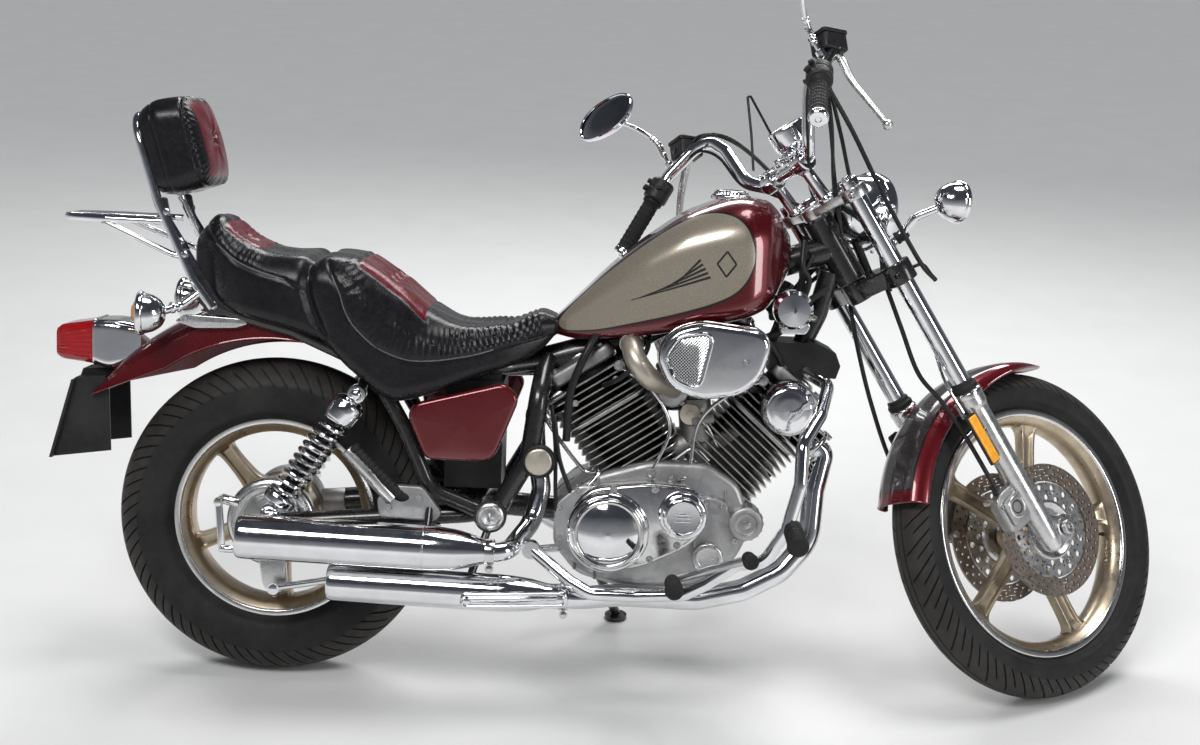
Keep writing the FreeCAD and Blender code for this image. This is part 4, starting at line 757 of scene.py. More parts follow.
def tyre_surface(centre, radius, width, crown, rim_radius, pitches, slant):
    """A tyre as theta and section: the tread's grooves follow sheared columns.

    Across the tread the angle on the crown is phi; a groove is sunk where the column
    belongs to it and phi lies in its span. Every column is turned on by slant |phi|^1.3.
    """
    half = width / 2
    bead = rim_radius - 6
    hub = radius - crown
    top_phi = math.asin(half / crown)
    shoulder = hub + crown * math.cos(top_phi)
    wall = flowing([
        (bead, half - 25), (bead + 8, half - 17), (bead + 16, half - 8),
        ((bead + shoulder) / 2, half - 1.5), (shoulder - 6, half - 0.2), (shoulder, half),
    ], 15)
    rim_ridge = 0.9 * (np.abs(wall[:, 0] - (rim_radius + 12)) < 2.5)
    ridge = rim_ridge + 0.7 * (np.abs(wall[:, 0] - (shoulder - 9)) < 2.0)
    rib = np.radians([6.5, 7.0, 9.0, 9.5])
    phi_half = np.unique(np.concatenate([np.linspace(0, top_phi, 14)[:-1], rib]))
    crown_line = np.stack([hub + crown * np.cos(phi_half), crown * np.sin(phi_half)], axis=1)
    crown_line[:, 0] -= 3.2 * ((phi_half > rib[0]) & (phi_half < rib[3]))
    out = np.concatenate([wall[:, 0], crown_line[::-1, 0]])
    aside = np.concatenate([wall[:, 1] + ridge, crown_line[::-1, 1]])
    phi = np.concatenate([np.full(len(wall), top_phi), phi_half[::-1]])
    on_crown = np.concatenate([np.zeros(len(wall)), np.ones(len(phi_half))])
    out = np.concatenate([out, out[-2::-1]])
    aside = np.concatenate([aside, -aside[-2::-1]])
    phi = np.concatenate([phi, phi[-2::-1]])
    on_crown = np.concatenate([on_crown, on_crown[-2::-1]])
    cell = np.array([0, .012, .09, .102, .25, .40, .50, .51, .58, .59, .80])
    long_groove = np.array([0, 1, 1, 0] + [0] * 7)
    short_groove = np.array([0] * 7 + [1, 1] + [0] * 2)
    turn = ((np.arange(pitches)[:, None] + cell[None, :]) / pitches * 2 * math.pi).ravel()
    long_all, short_all = np.tile(long_groove, pitches), np.tile(short_groove, pitches)
    in_long = (phi > math.radians(13)) & (phi < top_phi * 0.93)
    in_short = (phi > math.radians(36)) & (phi < top_phi * 0.99)
    sunk = (
        long_all[:, None] * in_long[None, :] + short_all[:, None] * in_short[None, :]
    ) * on_crown[None, :] * GROOVE_DEPTH
    angle = turn[:, None] + slant * (phi ** 1.3)[None, :]
    away = out[None, :] - sunk * np.cos(phi)[None, :]
    beside = aside[None, :] - sunk * (np.sin(phi) * np.sign(aside))[None, :]
    points = np.stack([away * np.cos(angle), beside, away * np.sin(angle)], axis=-1) + centre
    mark = np.broadcast_to(
        on_crown[None, :] * (0.55 + 0.45 * np.cos(phi)[None, :]), sunk.shape
    ) * (sunk < 1)
    return grid(points, around=False, closed=True, mark=mark)


def wheel_surfaces(centre, flange, half, hub_radius, hub_half, first_deg, spoke_half):
    """Rim lips, the channel between them, five waisted spokes of H section and the hub."""
    well = flange - 26
    channel_side = [
        (flange - 13, half - 1), (flange - 17, half - 3), (well - 2, half - 12), (well - 8, half - 22)
    ]
    channel = lathe(symmetric(channel_side, [(well - 9, 0)]), centre, LEFT, 150, 4)
    lip_profile = [
        (flange - 17, half - 3), (flange - 14, half + 0.5), (flange - 3, half + 1),
        (flange + 0.5, half - 3), (flange - 1, half - 12), (flange - 6, half - 16),
    ]
    one_lip = lathe(lip_profile, centre, LEFT, 150, 2)
    root, end = hub_radius - 5, well - 5
    r = np.linspace(root, end, 26)
    t = (r - root) / (end - root)
    wide = 12.5 + 9 * (1 - t) ** 2 + 5 * t ** 2 + 10 * np.exp(-(1 - t) * 26) + 8 * np.exp(-t * 22)
    deep = spoke_half + 5 * np.exp(-(1 - t) * 20)
    floor = np.clip(np.minimum(t * 16, (1 - t) * 16) - 0.5, 0, 1)
    sunk = (deep - 5) * floor
    section = softened(np.array([
        (1, 1), (0.62, 1), (0.5, 0), (-0.5, 0), (-0.62, 1), (-1, 1),
        (-1, -1), (-0.62, -1), (-0.5, -0.001), (0.5, -0.001), (0.62, -1), (1, -1),
    ]), 0.12, 3)
    level = np.abs(section[:, 1])
    side = np.sign(section[:, 1] + 1e-6)
    across = section[None, :, 0] * wide[:, None]
    along = side[None, :] * (deep[:, None] - (1 - level[None, :]) * sunk[:, None])
    points = np.stack([across, along, np.broadcast_to(r[:, None], across.shape)], axis=-1) + centre
    spokes = ringed(grid(points), centre, LEFT, 5, 90 - first_deg)
    hub_side = [
        (9, -hub_half), (hub_radius * 0.78, -hub_half), (hub_radius, -hub_half + 8),
        (hub_radius - 5, -hub_half + 16)
    ]
    hub = lathe(symmetric(hub_side), centre, LEFT, 72, 3)
    return channel, both(one_lip), spokes, hub


front_tyre = tyre_surface(FRONT_AXLE, FRONT_RADIUS, 100.0, 52.0, FRONT_RIM, 40, -0.13)
rear_tyre = tyre_surface(REAR_AXLE, REAR_RADIUS, 140.0, 74.0, REAR_RIM, 34, -0.15)
piece("front_tyre_tread", front_tyre, "front_wheel", tyre_rubber, ["front_tyre"], marked=True)
piece("rear_tyre_tread", rear_tyre, "rear_wheel", tyre_rubber, ["rear_tyre"], marked=True)


def valve(centre, flange, body, name):
    """A rubber valve stem that leans in from the rim."""
    foot = centre + vec(flange - 30, 0, 0)
    stem = lathe([
        (0, 0), (5, 0), (4, 8), (3.2, 10), (3.2, 26), (4.2, 27), (4.2, 34), (0, 35)
    ], foot, (-1, -0.25, 0), 20, 0.5)
    piece(name, stem, body, rubber)


for label, body, node, sizes in (
    ("front", "front_wheel", "front_rim", (FRONT_AXLE, FRONT_RIM, 35.0, 34.0, 56.0, 11.0, 11.5)),
    ("rear", "rear_wheel", "rear_rim", (REAR_AXLE, REAR_RIM, 45.0, 78.0, 60.0, 58.0, 13.0)),
):
    channel, lips, spokes, hub = wheel_surfaces(*sizes)
    piece(
        label + "_wheel_casting", [channel, lips, spokes, hub], body,
        [champagne, lip, champagne, champagne], [node]
    )
    valve(sizes[0], sizes[1], body, label + "_valve")


# Brake discs: a drilled ring, and a carrier with large round holes.
def around_axle(out, turn, height):
    """Points at a distance out from an axle along y, turned by an angle, at a height along it."""
    return np.stack([out * np.cos(turn), np.full_like(turn, height), out * np.sin(turn)], -1)


def holed_ring(centre, inner, outer, thickness, cells, rows, hole, skew=0.0, points_round=10):
    """A flat ring built of sector cells, each with a round hole.

    A cell maps the unit square's edge to its hole's circle; a ring of quads joins the
    two on both faces, and short walls line the hole.
    """
    corner = np.linspace(0, 2 * math.pi, points_round, endpoint=False)
    circle_uv = np.stack([np.cos(corner), np.sin(corner)], axis=1)
    square = circle_uv / np.maximum(np.abs(circle_uv[:, :1]), np.abs(circle_uv[:, 1:]))
    step = (outer - inner) / rows
    parts = []
    for row in range(rows):
        middle = inner + (row + 0.5) * step
        k = np.arange(cells)[:, None]
        centre_turn = (k + (row * skew) % 1.0) * 2 * math.pi / cells
        edge_turn = centre_turn + square[None, :, 0] * math.pi / cells
        edge_out = middle + square[None, :, 1] * step / 2 + 0 * k
        hole_x = circle_uv[None, :, 1] * hole + middle
        hole_t = circle_uv[None, :, 0] * hole
        hole_turn = centre_turn + np.arctan2(hole_t, hole_x)
        hole_out = np.hypot(hole_x, hole_t) + 0 * k
        for height, back in ((thickness / 2, False), (-thickness / 2, True)):
            outer_ring = around_axle(edge_out, edge_turn, height)
            inner_ring = around_axle(hole_out, hole_turn, height)
            for cell in range(cells):
                pair = np.stack([outer_ring[cell], inner_ring[cell]])
                parts.append(grid(pair[::-1] if back else pair))
        top = around_axle(hole_out, hole_turn, thickness / 2)
        low = top * vec(1, -1, 1)
        for cell in range(cells):
            parts.append(grid(np.stack([top[cell], low[cell]])))
    for out, turned in ((outer, 1), (inner, -1)):
        turn = np.linspace(0, 2 * math.pi, cells * 2, endpoint=False)
        edge = around_axle(out, turn, thickness / 2)
        pair = np.stack([edge, edge * vec(1, -1, 1)])
        parts.append(grid(pair if turned > 0 else pair[::-1]))
    whole = combined(parts)
    return changed(whole, shift=centre)


for side, name in SIDES:
    middle = FRONT_AXLE + vec(0, side * 70, 0)
    ring = holed_ring(middle, 98, 133.5, 5.0, 30, 3, 3.4, 0.5)
    carrier = holed_ring(middle - vec(0, side * 2, 0), 56, 96, 4.5, 16, 2, 6.2, 0.5, 14)
    bowl = lathe([
        (10, 10), (44, 10), (50, 8), (58, 1), (60, -3), (54, -4), (46, 4), (10, 4)
    ], middle, (0, -side, 0), 72, 1)
    bolts = ringed(screw(middle + vec(38, side * -10, 0), (0, side, 0), 5.5, 5), middle, LEFT, 6)
    outward = ringed(bolt(middle + vec(76, side * 2, 0), (0, side, 0), 4.2, 3.6, 20), middle, LEFT, 8, 11)
    piece(
        "front_disc_" + name, [ring, carrier, bowl, bolts, outward], "front_wheel",
        [disc_steel, satin, satin, steel, steel], ["front_discs"] if side < 0 else [],
    )


# The fork: stanchions, sliders, seals, axle lugs and the axle.
for side, name in SIDES:
    foot = on_fork(LEG_AHEAD, side * LEG_ASIDE, 0)
    stanchion = lathe([(19, 690), (19, 1160)], foot, STEER_UP, 48)
    cap = lathe([
        (19, 1158), (19, 1166), (16, 1169), (15, 1169), (15, 1166), (9, 1166), (9, 1173), (0, 1174)
    ], foot, STEER_UP, 48, 0.8)
    slider = lathe([
        (0, 322), (12, 322), (18, 330), (22, 350), (24, 392), (24, 640), (25, 652), (28, 660), (28, 684),
        (26, 690), (21, 691),
    ], foot, STEER_UP, 56, 2.5)
    collar = lathe([(24.5, 676), (29.5, 678), (29.5, 688), (25, 692), (22, 692)], foot, STEER_UP, 56, 1.2)
    seal = lathe([
        (25.5, 690), (26.5, 693), (26.5, 700), (23, 704), (22.5, 710), (19.2, 713)
    ], foot, STEER_UP, 56, 1.5)
    piece(
        "fork_leg_" + name, [stanchion, cap, slider, collar, seal], "fork",
        [chrome, chrome, satin, old_chrome, rubber], ["fork_legs"] if side < 0 else [],
    )
    lug_outline = [
        (28, 318), (52, 322), (78, 322), (94, 338), (96, 358), (84, 374), (62, 380), (44, 398), (28, 410),
        (16, 396), (14, 340),
    ]
    lug = fork_slab(side, lug_outline, 8, 36, on_fork(0, side * (LEG_ASIDE - 22), 0), 9, 4)
    axle_at = on_fork(68, side * LEG_ASIDE, 349)
    nut = lathe([
        (0, 12), (9, 12), (9, 20), (15, 20), (15, 27), (12, 29), (7, 29), (6, 22), (0, 22)
    ], axle_at, (0, side, 0), 36, 1)
    ring = lathe([(12, 10), (20, 10), (20, 17), (12, 17)], axle_at, (0, side, 0), 36, 1)
    pinch = bolt(on_fork(82, side * (LEG_ASIDE + 4), 330), -STEER_UP, 5, 8)
    drain = screw(on_fork(30, side * (LEG_ASIDE + 20), 372), (0, side, 0), 4, 3)
    piece(
        "fork_foot_" + name, [lug, nut, ring, pinch, drain], "fork", [satin, steel, steel, steel, steel]
    )
    plate_middle = on_fork(-10, side * (LEG_ASIDE + 20), 600)
    backing = fork_slab(side, rectangle(13, 54), -4, 1, plate_middle, 4, 1)
    lens = fork_slab(side, rectangle(10.5, 51), 1, 6, plate_middle, 3, 2)
    tab = fork_slab(side, [(8, -14), (30, -10), (30, 10), (8, 14)], -8, -3, plate_middle, 3, 1)
    piece("fork_reflector_" + name, [backing, lens, tab], "fork", [black_plastic, amber_reflector, satin])

piece("front_axle", rod(FRONT_AXLE - vec(0, 92, 0), FRONT_AXLE + vec(0, 92, 0), 9.0), "fork", steel)


# Brake calipers: a cast body bridging the disc, two pistons behind a round boss, pads and bolts.
def caliper_parts(side):
    centre = on_fork(-6, 0, 446)

    def at(ahead, aside, up):
        return centre + STEER_AHEAD * ahead + vec(0, side * aside, 0) + STEER_UP * up

    outer = fork_slab(
        side, [(-44, -34), (-20, -44), (18, -42), (30, -26), (30, 20), (16, 42), (-22, 42), (-44, 26)],
        78, 104, centre, 8, 6
    )
    cheek = fork_slab(side, [(-34, -28), (16, -30), (22, 0), (12, 30), (-34, 24)], 103, 110, centre, 8, 3)
    bracket = fork_slab(
        side, [(14, -40), (44, -52), (56, -30), (48, 26), (30, 40), (18, 20)], 82, 94, centre, 7, 3
    )
    bridge_top = rod(at(-30, 60, 30), at(-30, 100, 30), 7)
    bridge_low = rod(at(-30, 60, -26), at(-30, 100, -26), 7)
    boss = lathe([
        (24, 100), (24, 108), (21, 112), (17, 112), (16, 106), (0, 105)
    ], at(-6, 0, 1), (0, side, 0), 48, 1.5)
    cup = lathe([
        (0, 104), (13, 104), (14, 110), (11, 111), (9, 107), (0, 107)
    ], at(-6, 0, 1), (0, side, 0), 40, 1)
    bolts = combined([
        bolt(at(20, 94, -34), (0, side, 0), 7, 7), bolt(at(44, 94, -40), (0, side, 0), 7, 7),
        bolt(at(42, 94, 20), (0, side, 0), 7, 7), screw(at(-34, 104, 18), (0, side, 0), 5, 5),
    ])
    nipple = lathe([
        (0, 0), (5, 0), (5, 5), (3, 6), (3, 14), (4, 15), (4, 18), (0, 19)
    ], at(-24, 92, 42), STEER_UP, 20, 0.6)
    return [outer, cheek, bracket, bridge_top, bridge_low, boss, cup, bolts, nipple]


for side, name in SIDES:
    piece(
        "brake_caliper_" + name, caliper_parts(side), "fork",
        [cast, cast, satin, steel, steel, satin, black_plastic, steel, rubber],
        ["brake_calipers"] if side < 0 else [],
    )


# Yokes, risers, handlebar and its clamps.
def yoke_parts(low, high, wide):
    parts = [lathe([
        (0, low), (wide - 3, low), (wide - 3, high), (0, high)
    ], on_fork(0, 0, 0), STEER_UP, 56, 4)]
    for aside in (LEG_ASIDE, -LEG_ASIDE):
        foot = on_fork(LEG_AHEAD, aside, 0)
        parts.append(lathe([
            (19.2, low), (wide, low), (wide, high), (19.2, high)
        ], foot, STEER_UP, 56, 3.5))
        parts.append(screw(
            on_fork(LEG_AHEAD - 22, aside + math.copysign(17, aside), (low + high) / 2),
            -STEER_AHEAD + vec(0, 0.001, 0), 5.5, 7
        ))
    back, ahead = LEG_AHEAD - 18, LEG_AHEAD + 16
    outline = [
        (-16, -22), (back - 4, -LEG_ASIDE + 10), (back + 4, -LEG_ASIDE - 8), (ahead, -LEG_ASIDE),
        (ahead + 8, -40), (ahead + 13, 0), (ahead + 8, 40), (ahead, LEG_ASIDE), (back + 4, LEG_ASIDE + 8),
        (back - 4, LEG_ASIDE - 10), (-16, 22),
    ]
    parts.append(slab(outline, low + 3, high - 3, on_fork(0, 0, 0), STEER_AHEAD, vec(0, 1, 0), 12, 4))
    return combined(parts)


stem_nut = lathe([
    (0, 1150), (20, 1150), (20, 1156), (14, 1157), (14, 1166), (9, 1168), (0, 1168)
], on_fork(0, 0, 0), STEER_UP, 6, 1)
stem = rod(on_fork(0, 0, 976), on_fork(0, 0, 1128), 15)
piece(
    "upper_yoke", [yoke_parts(1126, 1150, 27), stem_nut], "fork", [satin, chrome], ["fork_yokes"],
)
piece("lower_yoke", [yoke_parts(938, 980, 29), stem], "fork", [black_paint, steel])

risers, clamps = [], []
for aside in (50, -50):
    risers.append(lathe([
        (0, 0), (17, 0), (17, 6), (13, 10), (12.5, 62), (15, 70), (0, 72)
    ], on_fork(3.5, aside, 1150), on_fork(-8, aside, 1232) - on_fork(3.5, aside, 1150), 40, 2))
    clamp = lathe(
        symmetric([(12.6, -18), (19.5, -18), (21.5, -14)]), on_fork(-8, aside, 1232), LEFT, 48, 1.2
    )
    split = lathe([
        (21.3, -18), (22.4, -18), (22.4, 18), (21.3, 18)
    ], on_fork(-8, aside, 1232), LEFT, 48, 0.3)
    heads = [
        screw(on_fork(-8, aside + dy, 1252) + STEER_AHEAD * da, STEER_UP, 5, 6)
        for dy in (-9, 9) for da in (-11, 11)
    ]
    clamps += [bar_tilted(clamp), bar_tilted(combined(heads))]
piece("bar_risers", [combined(risers), combined(clamps)], "fork", [chrome, chrome])

BAR_TABLE = [
    (-8, 0, 1232), (-8, 74, 1232), (-16, 104, 1262), (18, 142, 1338), (32, 178, 1372), (12, 214, 1378),
    (-47, 263, 1361), (-193, 335, 1284),
]
BAR_HALF = np.array([on_fork(*row) for row in BAR_TABLE])
whole_bar = np.concatenate([(BAR_HALF * vec(1, -1, 1))[::-1], BAR_HALF[1:]])
piece("bar", bar_tilted(pipe(whole_bar, 12.5, 52, 28)), "fork", chrome, ["handlebar"])

GRIP_END = BAR_HALF[-1]
GRIP_WAY = unit(GRIP_END - BAR_HALF[-2])
GRIP_INNER = GRIP_END - GRIP_WAY * 120


def grip_wave(along, angle):
    """Ribs along the grip, between its two collars: 0.55 cos(24 u), and rings of 0.8 mm."""
    inside = (along > 12) & (along < 112)
    return 0.55 * np.cos(24 * angle) * inside + 0.8 * (np.cos(along * 0.55) > 0.55) * inside


def grip_parts():
    line = [(13, 0), (20, 0), (20.5, 5), (17, 8)] + [
        (15.8, z) for z in np.arange(12, 114, 3.0)
    ] + [(17, 115), (17.5, 119), (13, 120)]
    sleeve = lathe(line, GRIP_INNER, GRIP_WAY, 72, 0.6, 1, wave=grip_wave)
    end = lathe([
        (0, 118), (17.5, 118), (18.5, 121), (18.5, 127), (15, 131), (6, 132), (5, 129), (0, 129)
    ], GRIP_INNER, GRIP_WAY, 48, 1)
    return sleeve, end


sleeve, grip_end = grip_parts()
piece(
    "grip_sleeves", [bar_tilted(both(sleeve)), bar_tilted(both(grip_end))], "fork", [rubber, chrome],
    ["grips"]
)


def control_parts():
    """Switch housing, master cylinder, lever and its perch, drawn for the left hand."""
    low = GRIP_INNER - GRIP_WAY * 48
    housing = lathe([
        (13, 0), (21, 0), (25, 5), (25, 22), (24.2, 23), (24.2, 25), (25, 26), (25, 43), (21, 47),
        (13, 47),
    ], low, GRIP_WAY, 48, 1.5)
    side, other = axes_for(GRIP_WAY)
    buttons = combined([
        rod(
            low + GRIP_WAY * 14 + side * 22 - other * 8, low + GRIP_WAY * 14 + side * 30 - other * 10, 5.5
        ),
        rod(
            low + GRIP_WAY * 32 + side * 20 - other * 14, low + GRIP_WAY * 32 + side * 27 - other * 19,
            6.5
        ),
        rod(
            low + GRIP_WAY * 23 - side * 4 - other * 23, low + GRIP_WAY * 23 - side * 5 - other * 31, 4.5
        ),
    ])
    middle = on_fork(22, 246, 1388)
    box = slab(rectangle(27, 25), -20, 14, middle, AHEAD, LEFT, 9, 4)
    lid = slab(rectangle(29, 27), 13, 21, middle, AHEAD, LEFT, 9, 2.5)
    screws = combined([screw(middle + vec(x, y, 20.5), UP, 3, 2.2) for x in (-20, 20) for y in (-18, 18)])
    sight = lathe([(0, 0), (7, 0), (8, 2), (6, 3), (0, 3)], middle + vec(-26, 4, -4), (-1, 0, 0), 28, 0.6)
    barrel = rod(on_fork(24, 268, 1366), on_fork(8, 228, 1380), 10, 3)
    perch = pipe([low + GRIP_WAY * 14, on_fork(2, 258, 1372), on_fork(20, 256, 1376)], 11, 20, 20)
    path = flowing([
        on_fork(18, 254, 1368), on_fork(2, 270, 1346), on_fork(-26, 290, 1310), on_fork(-50, 318, 1262),
        on_fork(-75, 350, 1205),
    ], 40)
    t = np.linspace(0, 1, 40)
    blade = swept(
        path, circle(1.0, 18), np.stack([5.2 - 0.8 * t, 11.5 - 5.0 * t + 1.5 * np.exp(-t * 12)], axis=1)
    )
    tip = lathe(symmetric([(0, -10), (6, -8), (9.5, -3)]), on_fork(-75, 350, 1205), LEFT, 28, 3)
    pivot = screw(on_fork(14, 258, 1374), STEER_UP, 5, 5)
    return [housing, buttons, box, lid, screws, sight, barrel, perch, blade, tip, pivot]


control_finish = [
    black_plastic, rubber, black_plastic, black_plastic, steel, clear_glass, black_paint, black_paint,
    satin, satin, steel,
]
piece(
    "hand_control_sets", [bar_tilted(both(part)) for part in control_parts()], "fork", control_finish,
    ["hand_controls"],
)

# Mirrors: an oval glass in a bowl, on a stem with a twisted grip.
MIRROR_CENTRE = on_fork(-31, 345, 1543)
MIRROR_FACE = unit((-0.926, -0.242, 0.291))
MIRROR_SIDE = unit(np.cross(UP, MIRROR_FACE))
MIRROR_UP = np.cross(MIRROR_FACE, MIRROR_SIDE)
OVAL_POWER = 2.3


def oval(rows):
    """Rings of a superellipse: (depth, half width, half height)."""
    angle = np.linspace(0, 2 * math.pi, 72, endpoint=False)
    cos, sin = np.cos(angle), np.sin(angle)
    u = np.sign(cos) * np.abs(cos) ** (2 / OVAL_POWER)
    v = np.sign(sin) * np.abs(sin) ** (2 / OVAL_POWER)
    layers = [
        MIRROR_CENTRE + MIRROR_FACE * d + u[:, None] * a * MIRROR_SIDE + v[:, None] * b * MIRROR_UP
        for d, a, b in rows
    ]
    return grid(np.array(layers), caps=(False, True))


mirror_bowl = oval([
    (-1, 71, 43), (1, 72.5, 44.5), (1, 75, 47), (-1, 76.5, 48.5), (-8, 76, 48), (-15, 70, 43),
    (-20, 58, 34), (-23.5, 36, 20), (-24.5, 14, 8),
])
mirror_face = oval([(-2.5, 72.5, 44.5), (-1.6, 71, 43), (-1.5, 40, 24), (-1.5, 8, 5)])
stem_path = flowing([
    on_fork(-26, 262, 1376), on_fork(-24, 263, 1404), on_fork(-19, 266, 1438), on_fork(-20, 300, 1490),
    MIRROR_CENTRE - MIRROR_FACE * 20,
], 60)
mirror_stem = swept(stem_path, circle(4.6, 16))
stem_way = frames_along(stem_path)[0]
twist = swept(stem_path[12:34], circle(6.4, 14))
foot_nut = lathe([(0, -6), (9, -6), (9, 8), (6, 10), (0, 10)], stem_path[1], stem_way[1], 6, 0.8)
knurl_centre = stem_path[12:34]
turns = np.linspace(0, 2 * math.pi * 9, 160)
along_stem = np.stack(
    [np.interp(turns, np.linspace(0, turns[-1], 22), knurl_centre[:, k]) for k in range(3)], axis=1
)
_, near, off = frames_along(along_stem)
helix = along_stem + (np.cos(turns)[:, None] * near + np.sin(turns)[:, None] * off) * 6.4
knurl = swept(helix[::2], circle(1.3, 6))
piece(
    "mirror_pair",
    [bar_tilted(both(part)) for part in (mirror_bowl, mirror_face, mirror_stem, twist, foot_nut, knurl)],
    "fork", [chrome, mirror_glass, chrome, old_chrome, chrome, chrome], ["mirrors"],
)

# The gauge: a chrome cup, bezel, dial with plain ticks, needle and glass.
gauge_at = on_fork(45, 0, 0)
cup = lathe([
    (0, 1250), (18, 1251), (32, 1260), (40, 1276), (41, 1306), (39.5, 1312), (36, 1312), (36, 1306)
], gauge_at, STEER_UP, 72, 3)
dial = lathe([(0, 1305), (36, 1305)], gauge_at, STEER_UP, 48, 0.1)
glass = lathe([(0, 1312.5), (20, 1312), (36.5, 1310)], gauge_at, STEER_UP, 48, 2)
TICKS, TICK_FIRST, TICK_DEG = 25, -120, 10
tick_parts = []
for k in range(TICKS):
    turn = about(STEER_UP, TICK_FIRST + TICK_DEG * k)
    long_tick = 7 if k % 4 == 0 else 4
    tick = rod(
        gauge_at + STEER_UP * 1305.5 + STEER_AHEAD * (32 - long_tick),
        gauge_at + STEER_UP * 1305.5 + STEER_AHEAD * 32, 0.7, 0.2, 8
    )
    tick_parts.append(changed(tick, turn, centre=gauge_at))
needle = changed(
    rod(
        gauge_at + STEER_UP * 1307 - STEER_AHEAD * 6, gauge_at + STEER_UP * 1307 + STEER_AHEAD * 26, 0.9,
        0.3, 10
    ),
    about(STEER_UP, -118), centre=gauge_at
)
post = pipe(fork_route((34, 0, 1150), (38, 0, 1210), (42, 0, 1254)), 10, 30, 24)
lamps = combined([
    lathe([
        (0, 1246), (12, 1247), (13, 1262), (10, 1264), (0, 1264)
    ], on_fork(4, aside, 0), STEER_UP, 32, 2)
    for aside in (-17, 17)
])
dial_paint = finish("dial_paint", (0.012, 0.012, 0.013), 0.0, 0.5, 0.05, 0.2, 90)
tick_paint = finish("tick_paint", (0.75, 0.75, 0.73), 0.0, 0.5, 0.05, 0.05, 90)
needle_paint = finish("needle_paint", (0.7, 0.08, 0.02), 0.0, 0.5, 0.05, 0.05, 90)
piece(
    "gauge_set", [cup, dial, combined(tick_parts), needle, glass, post, lamps], "fork",
    [chrome, dial_paint, tick_paint, needle_paint, clear_glass, chrome, chrome], ["gauge"],
)


# The headlight: bowl, rim, lens, reflector and its bracket.
LAMP = on_fork(106, 0, 1088)
LAMP_AXIS = unit((1, 0, -0.03))
lamp_bowl = lathe([
    (0, -72), (28, -68.5), (52, -53), (68, -26), (74.5, 4), (75.5, 10), (75.5, 12),
], LAMP, LAMP_AXIS, 80, 8, 4)
lamp_rim = lathe([
    (75.5, 8), (80, 11), (81, 17), (81, 30), (79, 35), (74, 37.5), (71, 35), (70.5, 29),
], LAMP, LAMP_AXIS, 96, 2.5)
lamp_lens = lathe([(71, 31), (64, 38), (50, 43), (30, 47), (0, 49.5)], LAMP, LAMP_AXIS, 96, 6, 4)
lamp_mirror = lathe([
    (70, 28), (60, 5), (44, -18), (24, -32), (10, -36), (0, -36)
], LAMP, LAMP_AXIS, 72, 5)
bulb = lathe([(0, 12), (6, 10), (7, 2), (7, -34)], LAMP, LAMP_AXIS, 24, 2)
rim_screw = screw(LAMP + vec(24, 0, -80), (0, 0, -1), 4, 5)
lamp_arm = pipe([on_fork(46, 0, 974), on_fork(58, 0, 1046), LAMP - LAMP_AXIS * 34], 9, 30, 20)
lamp_ears = [
    rod(on_fork(40, side * 84, 1086), LAMP + vec(-4, side * 70, 0), 7) for side in (-1, 1)
]
ear_bolts = [bolt(LAMP + vec(-4, side * 73, 0), (0, side, 0), 9, 7) for side in (-1, 1)]
piece(
    "headlight_set", [lamp_bowl, lamp_rim, lamp_mirror, bulb, combined(ear_bolts + [rim_screw])], "fork",
    [chrome, chrome, chrome, clear_glass, chrome], ["headlight"],
)
piece("headlight_arm", [lamp_arm, combined(lamp_ears)], "fork", [black_paint, chrome])
piece("headlight_glass", lamp_lens, "fork", clear_glass, ["headlight_lens"])


# Signals: a round cup, a rim and a domed amber lens with rings.
def signal_parts(centre, face):
    cup = lathe([
        (0, -37), (12, -36), (24, -30), (34, -16), (38.5, 0), (39, 4), (38, 6)
    ], centre, face, 56, 6, 3)
    ring = lathe([
        (38, 2), (41, 4), (42, 8), (42, 12), (40, 15), (37, 16), (36, 12)
    ], centre, face, 56, 1.5)
    rings = [(36.5 - 1.2 * k, 13.5 + 0.62 * k + (0.5 if k % 2 else 0)) for k in range(20)]
    lens = lathe(rings + [(8, 26), (0, 26.5)], centre, face, 56, 0.5, 1)
    return [cup, ring, lens]


left = signal_parts(on_fork(157, 190, 1026), unit((1, 0.1, 0)))
front_stalk = pipe(
    fork_route((46, 40, 962), (60, 88, 1010), (98, 140, 1036), (134, 178, 1029)), 8.2, 40, 20
)
boot = lathe([
    (12, 0), (13, 4), (11, 9), (12.5, 13), (10.5, 18), (11.5, 22), (8.5, 27)
], on_fork(66, 96, 1016), on_fork(134, 178, 1029) - on_fork(98, 140, 1036) + vec(0, 0, 12), 28, 1.2)
base_bar = rod(on_fork(44, -58, 960), on_fork(44, 58, 960), 9)
piece(
    "front_signal_pair",
    [both(left[0]), both(left[1]), both(left[2]), both(front_stalk), both(boot), base_bar], "fork",
    [chrome, chrome, amber_lens, chrome, rubber, black_paint], ["front_signals"],
)

# The front fender: a crowned sheet whose skirt thins to a point at the front.
CROWN = FRONT_RADIUS + 21


